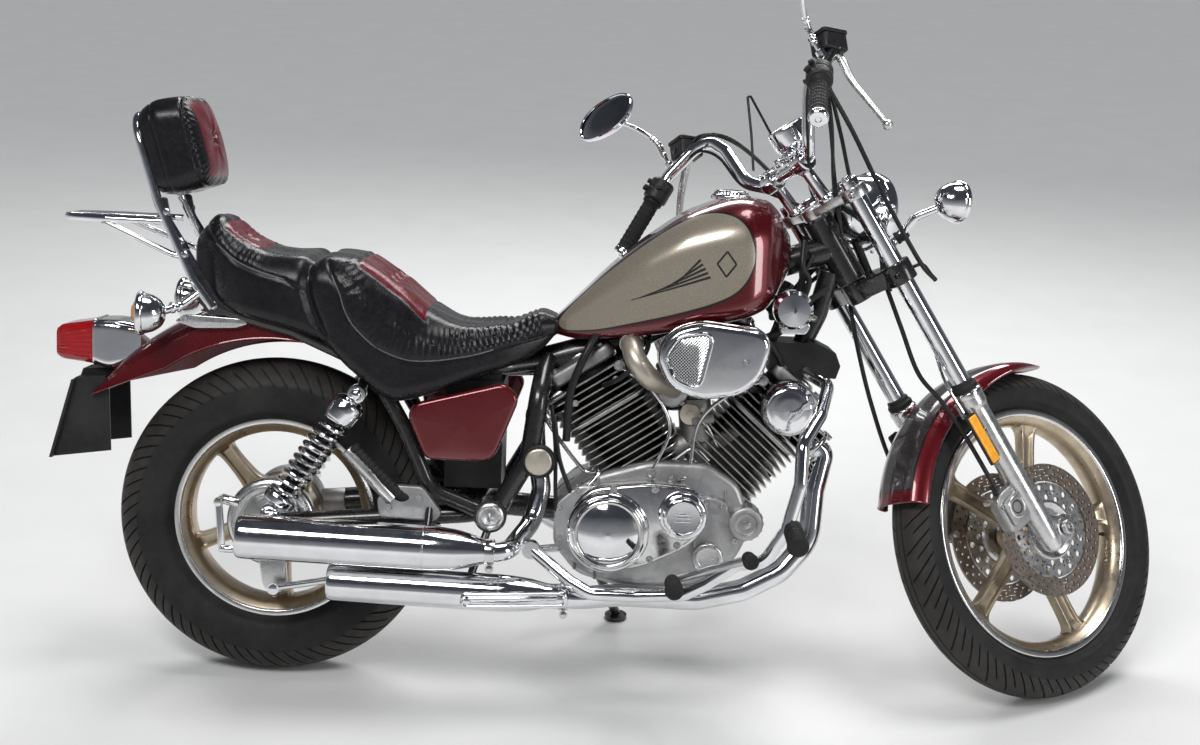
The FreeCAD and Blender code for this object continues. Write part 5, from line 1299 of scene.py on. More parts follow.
def sheet_arch(centre, rows, first_deg, last_deg, thickness, narrow, steps=120, across=41):
    """Rows of (aside, out) bent round an axle; narrow(t) gives (width, drop) scales.

    A closed ring of outer and inner points is carried over the angle; the mark is the
    aside distance over the half width, kept for the paint's panels.
    """
    rows = np.array(rows, float)
    aside_line = np.linspace(rows[0, 0], rows[-1, 0], across)
    out_line = np.interp(aside_line, rows[:, 0], rows[:, 1])
    kernel = np.array([1, 2, 3, 2, 1]) / 9
    inside = np.convolve(out_line, kernel, "same")
    out_line[2:-2] = inside[2:-2]
    top = out_line.max()
    t = np.linspace(0, 1, steps)
    angle = np.radians(first_deg + (last_deg - first_deg) * t)
    layers, marks = [], []
    for share, turn in zip(t, angle):
        wide, drop = narrow(share)
        aside = aside_line * wide
        out = top - (top - out_line) * drop
        ring_aside = np.concatenate([aside, (aside * (1 - thickness / 64))[::-1]])
        ring_out = np.concatenate([out, (out - thickness)[::-1]])
        layers.append(np.stack([np.cos(turn) * ring_out, ring_aside, np.sin(turn) * ring_out], axis=-1))
        ratio = np.abs(aside_line) / np.abs(aside_line).max()
        marks.append(np.concatenate([ratio, ratio[::-1]]))
    return np.array(layers) + centre, np.array(marks), t


FENDER_HALF = [
    (-64, CROWN - 42), (-63, CROWN - 30), (-60, CROWN - 20), (-54, CROWN - 12), (-34, CROWN - 4)
]
FENDER_ROWS = symmetric(FENDER_HALF, [(0, CROWN)], column=0)


def pointed(share):
    """Width and skirt depth near the tip: square root and power curves of the angle."""
    return 0.25 + 0.75 * min(1.0, share / 0.22) ** 0.55, min(1.0, share / 0.42) ** 0.85


fender_points, fender_ratio, fender_t = sheet_arch(FRONT_AXLE, FENDER_ROWS, 79, 171, 3.0, pointed)
panel_start, panel_end = 0.30, 0.955
inside_along = np.minimum((fender_t - panel_start) * 7.0, (panel_end - fender_t) * 22.0)[:, None]
panel = np.clip(0.5 + np.minimum(inside_along, (0.80 - fender_ratio) * 3.2), 0, 1)
fender = grid(fender_points, caps=(True, True), mark=panel)
bead_edge = swept(fender_points[2:, 0], circle(1.9, 8))
bead_edge_left = swept(fender_points[2:, 40], circle(1.9, 8))
bead_rear = swept(fender_points[-1, :41], circle(1.9, 8))
piece(
    "front_fender_sheet", fender, "fork", fender_paint, ["front_fender"], marked=True,
    sharp_deg=50
)
piece("front_fender_bead", combined([bead_edge, bead_edge_left, bead_rear]), "fork", red_paint)
stay = []
for side in (-1, 1):
    outline = [(8, 640), (34, 640), (30, 672), (10, 674)]
    stay.append(fork_slab(side, outline, -3, 9, on_fork(0, side * 66, 0), 5, 2))
    stay.append(bolt(on_fork(18, side * 74, 656), (0, side, 0), 5, 5))
piece("front_fender_stays", combined(stay), "fork", satin)

# Cables on the fork: hydraulic hose and pipe, speedometer drive, throttle, clutch and loom.
HOSE_TABLE = [
    (4.6, 90, [
        (20, -58, 950), (-2, -60, 860), (-30, -70, 770), (-26, -84, 700), (-24, -92, 620), (-24, -94, 492)
    ]),
    (4.6, 90, [
        (22, 58, 950), (-20, 60, 860), (-44, 84, 740), (-50, 116, 600), (-44, 124, 440), (20, 122, 372)
    ]),
    (4.6, 80, [(56, -150, 1340), (70, -134, 1240), (64, -128, 1100), (66, -124, 960), (84, -118, 908)]),
]
CABLE_TABLE = [
    (4.0, [
        (8, -232, 1374), (46, -200, 1392), (66, -160, 1350), (62, -110, 1240), (40, -76, 1130),
        (26, -64, 1010), (-4, -56, 930)
    ]),
    (3.6, [
        (-6, -240, 1368), (34, -226, 1418), (66, -168, 1400), (60, -118, 1290), (28, -70, 1180),
        (-4, -40, 1090)
    ]),
    (3.6, [
        (-2, -246, 1362), (26, -236, 1406), (58, -182, 1384), (50, -120, 1270), (16, -62, 1160),
        (-12, -36, 1070)
    ]),
    (4.0, [
        (8, 232, 1374), (48, 196, 1388), (66, 150, 1330), (58, 104, 1220), (30, 70, 1120), (4, 52, 1010)
    ]),
    (3.6, [
        (-8, 244, 1362), (38, 216, 1396), (62, 160, 1356), (50, 100, 1250), (14, 56, 1150),
        (-12, 36, 1070)
    ]),
    (3.2, [
        (-6, -216, 1370), (6, -190, 1366), (0, -150, 1332), (-24, -112, 1262), (-16, -70, 1220),
        (6, -36, 1166)
    ]),
    (3.2, [
        (-6, 216, 1370), (6, 190, 1366), (0, 150, 1332), (-24, 112, 1262), (-16, 70, 1220), (6, 36, 1166)
    ]),
    (4.5, [(45, 0, 1252), (70, 24, 1230), (60, 46, 1160), (44, 56, 1040), (22, 58, 950)]),
    (5.5, [(34, -30, 1120), (52, -40, 1070), (44, -48, 1010), (10, -34, 940)]),
]
hoses = [
    pipe(fork_route(*rows), thick, smooth=True, samples=samples) for thick, samples, rows in HOSE_TABLE
]
hoses.append(pipe(fork_route((50, -97, 956), (88, -106, 948), (82, -118, 916)), 3.6, 12))
cable_routes = [fork_route(*rows) for _, rows in CABLE_TABLE]
cables = [
    bar_tilted(pipe(route, thick, smooth=True, samples=70, count=12))
    for (thick, _), route in zip(CABLE_TABLE, cable_routes)
]
ferrules = [
    lathe([(0, -2), (6, 0), (6.5, 10), (5, 22), (4.2, 30)], route[0], route[1] - route[0], 20, 1)
    for route in cable_routes[:5]
]
piece(
    "fork_cable_set", [combined(hoses), combined(cables), bar_tilted(combined(ferrules))], "fork",
    [cable_black, cable_black, steel], ["fork_cables"],
)
metal_pipe = pipe(
    fork_route((44, -52, 934), (60, -60, 900), (30, -78, 800), (0, -92, 730), (-6, -100, 660)), 3.0,
    smooth=True, samples=80, count=10
)
piece("brake_pipe", metal_pipe, "fork", chrome)


# The engine: two finned cylinders, cases with their covers, intake and exhaust.
FIN_FIRST, FIN_PITCH, FIN_COUNT, FIN_THICK = 112.0, 14.0, 16, 4.0
BARREL_FINS, RIM_DEPTH = 10, 3.2
BARREL_REACH, HEAD_REACH, BARREL_WIDE, HEAD_WIDE = 92.0, 100.0, 84.0, 92.0
REAR_DEG, FRONT_DEG = -33.0, 42.0
CRANK = on_engine(0, 0, 0)


def along_cylinder(lean_deg, height, across, aside=0.0):
    """A point up a cylinder from the crankshaft, and across it."""
    lean = math.radians(lean_deg)
    return CRANK + vec(
        math.sin(lean) * height + math.cos(lean) * across, aside,
        math.cos(lean) * height - math.sin(lean) * across,
    )


def cylinder_parts(lean_deg):
    """Rounded fins round a barrel, a deeper head, bolts and the rocker covers.

    Each fin is an outline with rounded corners whose edge is a half round; its rim is a
    separate ring of faces, because it is worn bright.
    """
    outward = 1 if lean_deg > 0 else -1
    half_vee = math.radians((FRONT_DEG - REAR_DEG) / 2)
    turn = about(LEFT, lean_deg)
    plates, rims = [], []
    for index in range(FIN_COUNT):
        height = FIN_FIRST + FIN_PITCH * index
        in_barrel = index < BARREL_FINS
        reach_in = min(BARREL_REACH, height * math.tan(half_vee) - 8)
        reach_out = BARREL_REACH if in_barrel else HEAD_REACH
        half_wide = BARREL_WIDE if in_barrel else HEAD_WIDE
        low_x, high_x = (-reach_in, reach_out) if outward > 0 else (-reach_out, reach_in)
        outline = softened([
            (low_x, -half_wide), (high_x, -half_wide), (high_x, half_wide), (low_x, half_wide)
        ], 34, 8)
        scallop = 1 - 0.012 * np.cos(np.arctan2(outline[:, 1], outline[:, 0]) * 8)
        outline = outline * scallop[:, None]
        inner = inset(outline, RIM_DEPTH)
        low_ring = np.concatenate([inner, np.full((len(inner), 1), height)], axis=1)
        high_ring = np.concatenate([inner, np.full((len(inner), 1), height + FIN_THICK)], axis=1)
        plates.append(grid(np.array([low_ring, high_ring])[::-1], caps=(True, True)))
        rows = []
        for a in np.linspace(0, math.pi, 6):
            flat = inset(outline, RIM_DEPTH * (1 - math.sin(a)) + 0.01)
            rows.append(np.concatenate([
                flat, np.full((len(flat), 1), height + FIN_THICK / 2 * (1 - math.cos(a)))
            ], axis=1))
        rims.append(grid(np.array(rows)))
    core = lathe([(0, 88), (66, 88), (66, 250), (62, 252), (62, 345), (0, 345)], (0, 0, 0), UP, 72, 2)
    base = slab(rectangle(74, 76), 84, 104, (0, 0, 0), AHEAD, LEFT, 24, 3)
    deck = slab(rectangle(78, 80), 246, 258, (0, 0, 0), AHEAD, LEFT, 26, 2)
    cover = slab(rectangle(70, 72), 336, 366, (0, 0, 0), AHEAD, LEFT, 20, 8, dome=3)
    cap = lathe([(0, 362), (27, 362), (30, 365), (30, 371), (25, 375), (0, 376)], (0, 0, 0), UP, 48, 2)
    hexes = [bolt((x, y, 364), UP, 7, 8) for x in (-52, 52) for y in (-54, 54)]
    side_bolts = [screw((x, y * 92.5, 298), (0, y, 0), 5, 5) for x in (-46, 46) for y in (-1, 1)]
    parts = [
        combined(plates), combined(rims), core, combined([base, deck]), cover, cap,
        combined(hexes + side_bolts)
    ]
    return [changed(changed(part, turn), shift=CRANK) for part in parts]


cylinder_finish = [fin_black, fin_edge, fin_black, cast, cast, satin, steel]
for label, lean_deg in (("rear", REAR_DEG), ("front", FRONT_DEG)):
    piece(
        label + "_cylinder_fins", cylinder_parts(lean_deg), "chassis", cylinder_finish,
        [label + "_cylinder"]
    )


def cam_cover(lean_deg, side):
    near = along_cylinder(lean_deg, 315, 0, side * 93.0)
    body = lathe([
        (0, 0), (52, 0), (53, 6), (53, 34), (50, 42), (46, 46), (45, 50), (40, 53), (34, 54), (24, 56.5),
        (0, 58),
    ], near, (0, side, 0), 96, 4, 4)
    groove = lathe([(53.5, 4), (54.5, 5), (54.5, 9), (53.5, 10)], near, (0, side, 0), 96, 0.6)
    screws = [
        screw(near + about(LEFT, a) @ vec(46, 0, 0) + vec(0, side * 44, 0), (0, side, 0), 5, 4)
        for a in (40, 160, 280)
    ]
    return [body, groove, combined(screws)]


right_cam = cam_cover(FRONT_DEG, -1)
left_cam = cam_cover(REAR_DEG, 1)
cap_foot = along_cylinder(FRONT_DEG, 315, 0, 93.0)
plain_cap = lathe([(0, 0), (40, 0), (40, 9), (36, 13), (0, 14)], cap_foot, LEFT, 58, 3)

# Right cover: a large dome in a raised ring, a smaller round, and the bridge under both.
clutch_at = on_engine(-128, -105, -15)
clutch_wall = lathe([
    (80, 0), (81, 6), (81, 44), (78, 52), (74, 56.5), (70, 57.5)
], clutch_at, RIGHT, 66, 4)
clutch_ring = lathe([
    (70, 56), (69.5, 62), (68, 68), (65, 71), (61.5, 71.5), (59, 69), (58.5, 67)
], clutch_at, RIGHT, 66, 2)
clutch_dome = lathe([
    (58.5, 67.5), (50, 71.5), (38, 75.5), (22, 78.6), (0, 80)
], clutch_at, RIGHT, 66, 10, 6)
starter_at = on_engine(15, -105, 23)
starter_wall = lathe([
    (48, 0), (48.5, 4), (48.5, 50), (46, 55), (42, 58), (39, 59), (38.5, 66), (36.5, 70), (32, 71.5)
], starter_at, RIGHT, 58, 2.5)
starter_face = lathe([(32, 71.5), (31, 70), (0, 70)], starter_at, RIGHT, 58, 1)
starter_bars = [
    slab([
        (-15, z - 1.6), (15, z - 1.6), (15, z + 1.6), (-15, z + 1.6)
    ], 0, 1.6, starter_at + vec(0, -70, 0), AHEAD, UP, 1.4, 0.5)
    for z in (-7, 0, 7)
]
bridge = side_slab(
    engine_outline([
        (-196, 40), (-160, 72), (-60, 84), (30, 80), (66, 50), (60, -6), (22, -44), (-60, -84),
        (-130, -98), (-186, -76), (-206, -20)
    ]),
    -104, -150, corner=24, edge=9
)
rim_bolts = [
    screw(on_engine(x, -150, z), RIGHT, 5.5, 5)
    for x, z in [
        (-182, 34), (-120, 70), (-40, 72), (48, 60), (52, 6), (6, -36), (-46, -66), (-196, -30),
        (-168, -72)
    ]
]
plate_round = lathe([
    (0, 0), (30, 0), (31, 3), (31, 20), (28, 24), (22, 25), (20, 22), (0, 22)
], on_engine(68, -104, -66), RIGHT, 58, 1.5)
filter_can = lathe([
    (0, 0), (33, 0), (33, 22), (31, 25), (34, 28), (34, 66), (31, 71), (22, 73), (20, 70), (0, 70)
], on_engine(139, -60, 6), RIGHT, 58, 2)
filter_ribs = ringed(
    rod(on_engine(139, -90, 6) + vec(34, 0, 0), on_engine(139, -126, 6) + vec(34, 0, 0), 1.6, 0.6, 10),
    on_engine(139, 0, 6), LEFT, 16
)
filter_bolt = bolt(on_engine(139, -130, 6), RIGHT, 8, 9)
alternator_at = on_engine(-21, 105, -2)
alternator = lathe([
    (92, 0), (93, 5), (93, 40), (88, 49), (80, 54), (71, 56), (69, 64), (64, 68.5), (50, 70), (24, 71),
    (0, 71)
], alternator_at, LEFT, 66, 4, 4)
alternator_bolts = [
    screw(alternator_at + about(LEFT, a) @ vec(84, 0, 0) + vec(0, 44, 0), LEFT, 5.5, 9)
    for a in range(20, 380, 60)
]
piece(
    "engine_cover_set",
    [
        clutch_wall, clutch_ring, clutch_dome, starter_wall, starter_face, combined(starter_bars), bridge,
        combined(rim_bolts), alternator, combined(alternator_bolts),
        combined([right_cam[0], left_cam[0]]), combined([right_cam[1], left_cam[1]]),
        combined([right_cam[2], left_cam[2]]), plain_cap
    ],
    "chassis",
    [
        chrome, lip, chrome, chrome, bare_plate, chrome, old_chrome, steel, satin, steel, chrome, rubber,
        steel, chrome
    ],
    ["engine_covers"],
)
case_outline = [
    (556, 296), (604, 240), (700, 214), (850, 222), (915, 280), (945, 345), (915, 430), (850, 470),
    (740, 470), (640, 440), (556, 390),
]
case_half = side_slab(case_outline, 0, -105, corner=20, edge=12, steps=6, levels=(False, True))
seam = side_slab(case_outline, 3, -3, corner=20, edge=1)
seam = changed(seam, np.diag([1.006, 1, 1.008]), centre=(760, 0, 340))
case_ribs = []
for x, low_z, high_z in ((600, 250, 420), (640, 232, 436), (860, 236, 300), (890, 262, 420)):
    case_ribs.append(side_slab([
        (x - 3, low_z), (x + 3, low_z), (x + 3, high_z), (x - 3, high_z)
    ], -96, -109, corner=2, edge=1.5))
gearbox = side_slab([
    (560, 300), (600, 262), (660, 262), (660, 420), (600, 420), (556, 380)
], -96, -118, corner=16, edge=6)
pump = side_slab([
    (840, 250), (900, 262), (922, 320), (890, 400), (848, 410), (826, 330)
], -96, -116, corner=16, edge=6)
case_bolts = [
    screw(vec(x, -117, z), RIGHT, 5, 5)
    for x, z in [
        (568, 316), (610, 272), (650, 272), (650, 410), (600, 410), (568, 372), (850, 262), (892, 274),
        (910, 322), (884, 388), (852, 396)
    ]
]
sump_bolts = [
    bolt(vec(x, y, 216 + 0.05 * abs(x - 770)), (0, 0, -1), 8, 6) for x, y in [(720, -40), (800, 30)]
]
piece(
    "engine_case_set",
    [
        both(case_half), seam, both(combined(case_ribs)), both(combined([gearbox, pump])),
        combined([both(combined(case_bolts))] + sump_bolts), plate_round, filter_can, filter_ribs,
        filter_bolt
    ],
    "chassis", [cast, dull, dull, cast, steel, satin, cast, cast, steel], ["engine_cases"],
)

# Oil and breather pipes and wires between the cylinders.
pipe_table = [
    (4.0, old_chrome, [
        along_cylinder(REAR_DEG, 330, -98, -70), along_cylinder(REAR_DEG, 300, -112, -80),
        along_cylinder(REAR_DEG, 180, -102, -84), on_engine(-150, -98, 92), on_engine(-172, -108, 60)
    ]),
    (4.0, old_chrome, [
        along_cylinder(FRONT_DEG, 318, -70, -97), along_cylinder(FRONT_DEG, 250, -98, -94),
        along_cylinder(FRONT_DEG, 170, -100, -90), on_engine(24, -100, 96), on_engine(-6, -108, 84)
    ]),
    (3.6, old_chrome, [
        along_cylinder(REAR_DEG, 318, 66, -97), along_cylinder(REAR_DEG, 240, 96, -96),
        along_cylinder(REAR_DEG, 160, 86, -92), on_engine(-48, -104, 96)
    ]),
    (5.0, cable_black, [
        along_cylinder(REAR_DEG, 300, 20, -96), along_cylinder(REAR_DEG, 300, 60, -128),
        on_engine(-70, -120, 330), on_engine(-60, -60, 372)
    ]),
    (5.0, cable_black, [
        along_cylinder(FRONT_DEG, 300, -60, -96), along_cylinder(FRONT_DEG, 290, -90, -124),
        on_engine(70, -110, 330), on_engine(60, -50, 372)
    ]),
    (
        8.0, cable_black,
        engine_route((-150, -60, 380), (-180, -92, 330), (-210, -96, 250), (-216, -90, 150))
    ),
    (6.0, cable_black, engine_route((100, -60, 390), (150, -84, 376), (190, -70, 330), (200, -60, 300))),
    (
        4.5, cable_black,
        engine_route((-240, -100, 200), (-228, -112, 120), (-206, -114, 60), (-186, -104, 10))
    ),
    (
        4.0, cable_black,
        engine_route((-246, -96, 220), (-236, -108, 140), (-232, -114, 40), (-222, -110, -40))
    ),
]
lines = [pipe(route, thick, smooth=True, samples=44, count=12) for thick, _, route in pipe_table]
piece(
    "engine_lines", lines + [mirrored(one) for one in lines[2:5]], "chassis",
    [row[1] for row in pipe_table] + [row[1] for row in pipe_table[2:5]]
)
unions = []
for route in (pipe_table[0][2], pipe_table[1][2], pipe_table[2][2]):
    unions.append(bolt(route[0], RIGHT, 8, 8))
    unions.append(bolt(route[-1], RIGHT, 8, 8))
piece("engine_unions", combined(unions), "chassis", steel)

# Intake: twin carburettors with bells and tops, and the curved intake pipe.
carb_parts = [
    lathe(symmetric([(34, -52), (36, -48), (36, -30), (32, -26)]), on_engine(-11, 0, 248), LEFT, 56, 2),
    lathe([
        (0, -42), (30, -42), (31, -36), (31, 36), (34, 40), (34, 46), (26, 52), (0, 53)
    ], on_engine(-11, 0, 250), UP, 56, 2),
    lathe([(0, 54), (30, 54), (30, 58), (26, 62), (0, 63)], on_engine(-11, -2, 248), RIGHT, 56, 2),
    lathe([(0, 54), (30, 54), (30, 58), (26, 62), (0, 63)], on_engine(-11, 2, 248), LEFT, 56, 2),
]
wheel = lathe([
    (0, 0), (20, 0), (20, 2), (17, 3), (17, 6), (20, 7), (20, 9), (8, 9), (8, 12), (0, 12)
], on_engine(24, -70, 209), RIGHT, 56, 0.6)
elbow_path = bent([
    on_engine(-92, -40, 352), on_engine(-98, -96, 350), on_engine(-88, -126, 318),
    on_engine(-60, -128, 282), on_engine(-14, -66, 262), on_engine(-11, -52, 254),
], 46, 12)
elbow = swept(elbow_path, circle(21, 32))
elbow_band = lathe([
    (21.5, -6), (23.5, -6), (23.5, 6), (21.5, 6)
], elbow_path[6], elbow_path[7] - elbow_path[6], 40, 0.6)
# Downdraught bodies and their inlets fill the space between the cylinders.
inlet_parts = []
for aside in (-40, 40):
    inlet_parts.append(lathe([
        (0, 0), (26, 0), (30, 6), (30, 40), (35, 46), (35, 92), (29, 98), (29, 128), (0, 128),
    ], (842, aside, 462), (-0.12, 0, 1), 40, 2))
    inlet_parts.append(pipe([(838, aside, 505), (800, aside, 492), (764, aside, 486)], 24, 20, 24))
    inlet_parts.append(pipe([(846, aside, 500), (884, aside, 510), (912, aside, 530)], 24, 20, 24))
    inlet_parts.append(rod((818, aside * 1.7, 548), (862, aside * 1.7, 556), 13, 3))
inlet_parts.append(rod((832, -62, 520), (832, 62, 520), 12, 2))
piece("carburettor_bodies", combined(inlet_parts), "chassis", dull)
link_rods = [
    pipe([(812, -76, 566), (850, -78, 540), (872, -76, 500)], 2.4, 20, 8),
    pipe([(790, -74, 470), (826, -76, 500), (856, -74, 470)], 3.2, 20, 8)
]
piece("throttle_links", combined(link_rods), "chassis", steel)
piece(
    "carburettor_set",
    [
        combined(carb_parts), wheel, elbow, elbow_band,
        combined([
            screw(on_engine(-11 + x, -66, 248 + z), RIGHT, 3.5, 3) for x in (-20, 20) for z in (-20, 20)
        ])
    ],
    "chassis", [cast, beige, beige, steel, steel], ["carburettors"],
)

# Air cleaner covers: a bevelled chrome shell with a pierced panel in a rounded triangle.
AIR_OUTLINE = [
    (-53, 338), (-21, 386), (29, 403), (149, 390), (167, 363), (149, 298), (109, 264), (29, 254),
    (-26, 278)
]
air_points = engine_outline(AIR_OUTLINE)
shell = side_slab(air_points, -153, -200, corner=26, edge=13, steps=7, dome=3)
rim_line = side_slab(
    [(CRANK_X + 58 + (x - 58) * 1.012, CRANK_Z + 328 + (z - 328) * 1.015) for x, z in AIR_OUTLINE], -154,
    -160, corner=26, edge=2
)
inset_outline = [(-34, 338), (-8, 376), (44, 384), (54, 370), (36, 288), (22, 278), (-14, 292)]
inset_points = np.array(engine_outline(inset_outline), float)
frame_ring = side_slab(inset_points, -199.5, -204, corner=14, edge=1.6)
# The dark sheet just under the wires is painted shade: it stands for the shaded hollow behind the pierced panel.
hollow = side_slab(inset(inset_points, 5), -203.2, -204.4, corner=12, edge=0.4)
rim_path = softened(inset_points, 14, 6)
raised_rim = swept([vec(x, -204, z) for x, z in rim_path], circle(3.4, 12), closed=True)
clean = softened(inset(inset_points, 6), 12, 6)
wires = []


def chord(at, column, outline):
    """Where a straight line crosses an outline: the two outer crossings."""
    other = 1 - column
    a, b = outline, np.roll(outline, -1, axis=0)
    crossing = (a[:, column] - at) * (b[:, column] - at) < 0
    share = (at - a[crossing, column]) / (b[crossing, column] - a[crossing, column])
    found = a[crossing, other] + share * (b[crossing, other] - a[crossing, other])
    return (found.min(), found.max()) if len(found) > 1 else None


turned45 = about(LEFT, 45)
flat45 = np.stack([clean[:, 0], np.zeros(len(clean)), clean[:, 1]], axis=1) @ turned45.T
flat45 = flat45[:, [0, 2]]
for column in (0, 1):
    for at in np.arange(flat45[:, column].min() + 2, flat45[:, column].max() - 1, 4.2):
        ends = chord(at, column, flat45)
        if ends is None:
            continue
        two = [(at, ends[0]), (at, ends[1])] if column == 0 else [(ends[0], at), (ends[1], at)]
        line = np.array([(u, 0, v) for u, v in two]) @ turned45 + vec(0, -205.0 - 0.4 * column, 0)
        wires.append(rod(line[0], line[1], 0.95, 0.3, 8))
back_tube = rod(on_engine(59, -154, 328), on_engine(59, -62, 328), 40, 4, 56)
duct = rod(on_engine(46, -74, 320), on_engine(-11, -34, 262), 20, 3, 32)
air_screw = screw(on_engine(118, -201, 330), RIGHT, 6, 4)
# The sheet's near-black finish is painted shade for the hollow, not a colour of the cover.
mesh_painted_shade = finish("mesh_hollow_painted_shade", (0.03, 0.03, 0.03), 0.4, 0.5, 0.05, 0.2, 90)
air_finish = [chrome, chrome, chrome, mesh_painted_shade, chrome, black_plastic, black_plastic, steel]
air_parts = [
    shell, rim_line, combined([frame_ring, raised_rim]), hollow, combined(wires), back_tube, duct,
    air_screw
]
piece(
    "air_cover_set", [both(part) for part in air_parts], "chassis", air_finish, ["air_filter_covers"],
)

# Exhausts: headers with flanges, clamps, and two long mufflers with rolled ends.
REAR_PORT = along_cylinder(REAR_DEG, 318, -104) + vec(0, -30, 0)
FRONT_PORT = along_cylinder(FRONT_DEG, 296, 104) + vec(0, -45, 0)
UPPER_NOSE, LOWER_NOSE = vec(432, -206, 303), vec(575, -176, 213)
MUFFLER_WAY = unit((-460, 0, 12))
rear_header = pipe([
    REAR_PORT, REAR_PORT + vec(-21, 0, -13.6), on_engine(-273, -62, 118), on_engine(-261, -70, 48),
    on_engine(-279, -92, -17), UPPER_NOSE - MUFFLER_WAY * 40, UPPER_NOSE + MUFFLER_WAY * 20,
], 19, 50, 32)
front_header = pipe([
    FRONT_PORT, FRONT_PORT + vec(16.5, 0, -14.9), on_engine(275, -60, 64), on_engine(269, -76, -32),
    on_engine(214, -94, -94), on_engine(139, -106, -131), on_engine(49, -112, -151),
    on_engine(-101, -126, -145), LOWER_NOSE - MUFFLER_WAY * 40, LOWER_NOSE,
], 22, 80, 32)
flanges = []
PORT_ROOTS = (
    (REAR_PORT, along_cylinder(REAR_DEG, 318, -42) + vec(0, -30, 0)),
    (FRONT_PORT, along_cylinder(FRONT_DEG, 296, 42) + vec(0, -45, 0)),
)
for port, root in PORT_ROOTS:
    outward = unit(port - root)
    flanges.append(lathe([
        (27, -44), (27, -8), (36, -8), (37, -2), (33, 3), (24, 4), (22, 1)
    ], port, outward, 48, 1.5))
    first, second = axes_for(outward)
    flanges += [bolt(port + first * s * 31, outward, 5, 12) for s in (-1, 1)]


def muffler_parts(nose, length, radius, neck, band_at):
    body = lathe([
        (neck + 1, -8), (neck + 2, 0), (radius - 13, 22), (radius - 5, 54), (radius - 1, 92),
        (radius, 120), (radius, length - 14), (radius - 1.5, length - 4), (radius - 5, length),
        (radius - 9, length - 3), (radius - 11, length - 12),
    ], nose, MUFFLER_WAY, 72, 14, 5)
    lining = lathe([
        (radius - 11, length - 12), (radius - 12, length - 30), (14, length - 32), (13, length - 8),
        (11, length - 8), (11, length - 70), (0, length - 70)
    ], nose, MUFFLER_WAY, 60, 1.5)
    seam_at = nose + MUFFLER_WAY * 118
    weld = lathe([
        (radius - 0.4, -2), (radius + 0.7, -1), (radius + 0.7, 1), (radius - 0.4, 2)
    ], seam_at, MUFFLER_WAY, 72, 0.5)
    seam = swept(
        np.array([
            nose + MUFFLER_WAY * s + vec(0, 0, -radius * 0.995) for s in np.linspace(100, length - 14, 20)
        ]),
        circle(1.4, 8)
    )
    clamp_at = nose - MUFFLER_WAY * band_at
    clamp = lathe([
        (neck, -9), (neck + 3.2, -9), (neck + 3.2, 9), (neck, 9)
    ], clamp_at, MUFFLER_WAY, 48, 1)
    ears = rod(clamp_at + vec(0, -12, -neck - 9), clamp_at + vec(0, 12, -neck - 9), 4.5)
    return body, lining, combined([weld, seam]), combined([
        clamp, ears, bolt(clamp_at + vec(0, -12, -neck - 9), RIGHT, 6, 6)
    ])


upper = muffler_parts(UPPER_NOSE, 473.0, 43.0, 21.0, 8)
lower = muffler_parts(LOWER_NOSE, 448.0, 36.0, 23.0, 8)
dark_lining = finish("pipe_lining", (0.03, 0.028, 0.026), 0.5, 0.7, 0.06, 0.2, 60)
piece(
    "muffler_pair", [combined([upper[k], lower[k]]) for k in range(4)], "chassis",
    [chrome, dark_lining, chrome, old_chrome], ["mufflers"]
)
piece(
    "header_pipes", [combined([rear_header, front_header]), combined(flanges)], "chassis",
    [chrome, old_chrome], ["exhaust_headers"]
)

# The fuel tank, its seam and its painted design.
HEAD_X = 1126.3


def normals_of(points):
    """Unit normals of a grid whose rows close on themselves: the cross product of both slopes."""
    along = np.gradient(points, axis=0)
    around = np.roll(points, -1, axis=1) - np.roll(points, 1, axis=1)
    normal = np.cross(along, around)
    normal /= np.maximum(np.linalg.norm(normal, axis=-1), 1e-9)[..., None]
    outward = points - points.mean(axis=1, keepdims=True)
    outward[..., 0] = 0
    side = np.sign(np.sum(normal * outward, axis=-1).sum())
    return normal * side


def line_distance(points, line):
    """Distance to a line of points in side view, the length along it there, and the side it is on."""
    flat = points[..., (0, 2)].reshape(-1, 2)
    line = np.asarray(line, float)
    best = np.full(len(flat), 1e9)
    along = np.zeros(len(flat))
    side = np.zeros(len(flat))
    start_length = 0.0
    for start, end in zip(line, line[1:]):
        run = end - start
        length = np.linalg.norm(run)
        share = np.clip(((flat - start) @ run) / length ** 2, 0, 1)
        away = flat - start - share[:, None] * run
        distance = np.linalg.norm(away, axis=1)
        nearer = distance < best
        best = np.where(nearer, distance, best)
        along = np.where(nearer, start_length + share * length, along)
        side = np.where(nearer, np.sign(run[0] * away[:, 1] - run[1] * away[:, 0]), side)
        start_length += length
    return [value.reshape(points.shape[:-1]) for value in (best, along, side)]


def inside_outline(points, outline):
    """Signed distance to a closed outline in side view: above zero inside."""
    closed = list(outline) + [outline[0]]
    distance = line_distance(points, closed)[0]
    x, z = points[..., 0], points[..., 2]
    inside = np.zeros(x.shape, bool)
    for (x0, z0), (x1, z1) in zip(closed, closed[1:]):
        if z0 == z1:
            continue
        crosses = (z < max(z0, z1)) & (z >= min(z0, z1)) & (x < x0 + (z - z0) * (x1 - x0) / (z1 - z0))
        inside ^= crosses
    return np.where(inside, distance, -distance)


def smooth_step(value, low, high):
    t = np.clip((value - low) / (high - low), 0, 1)
    return t * t * (3 - 2 * t)


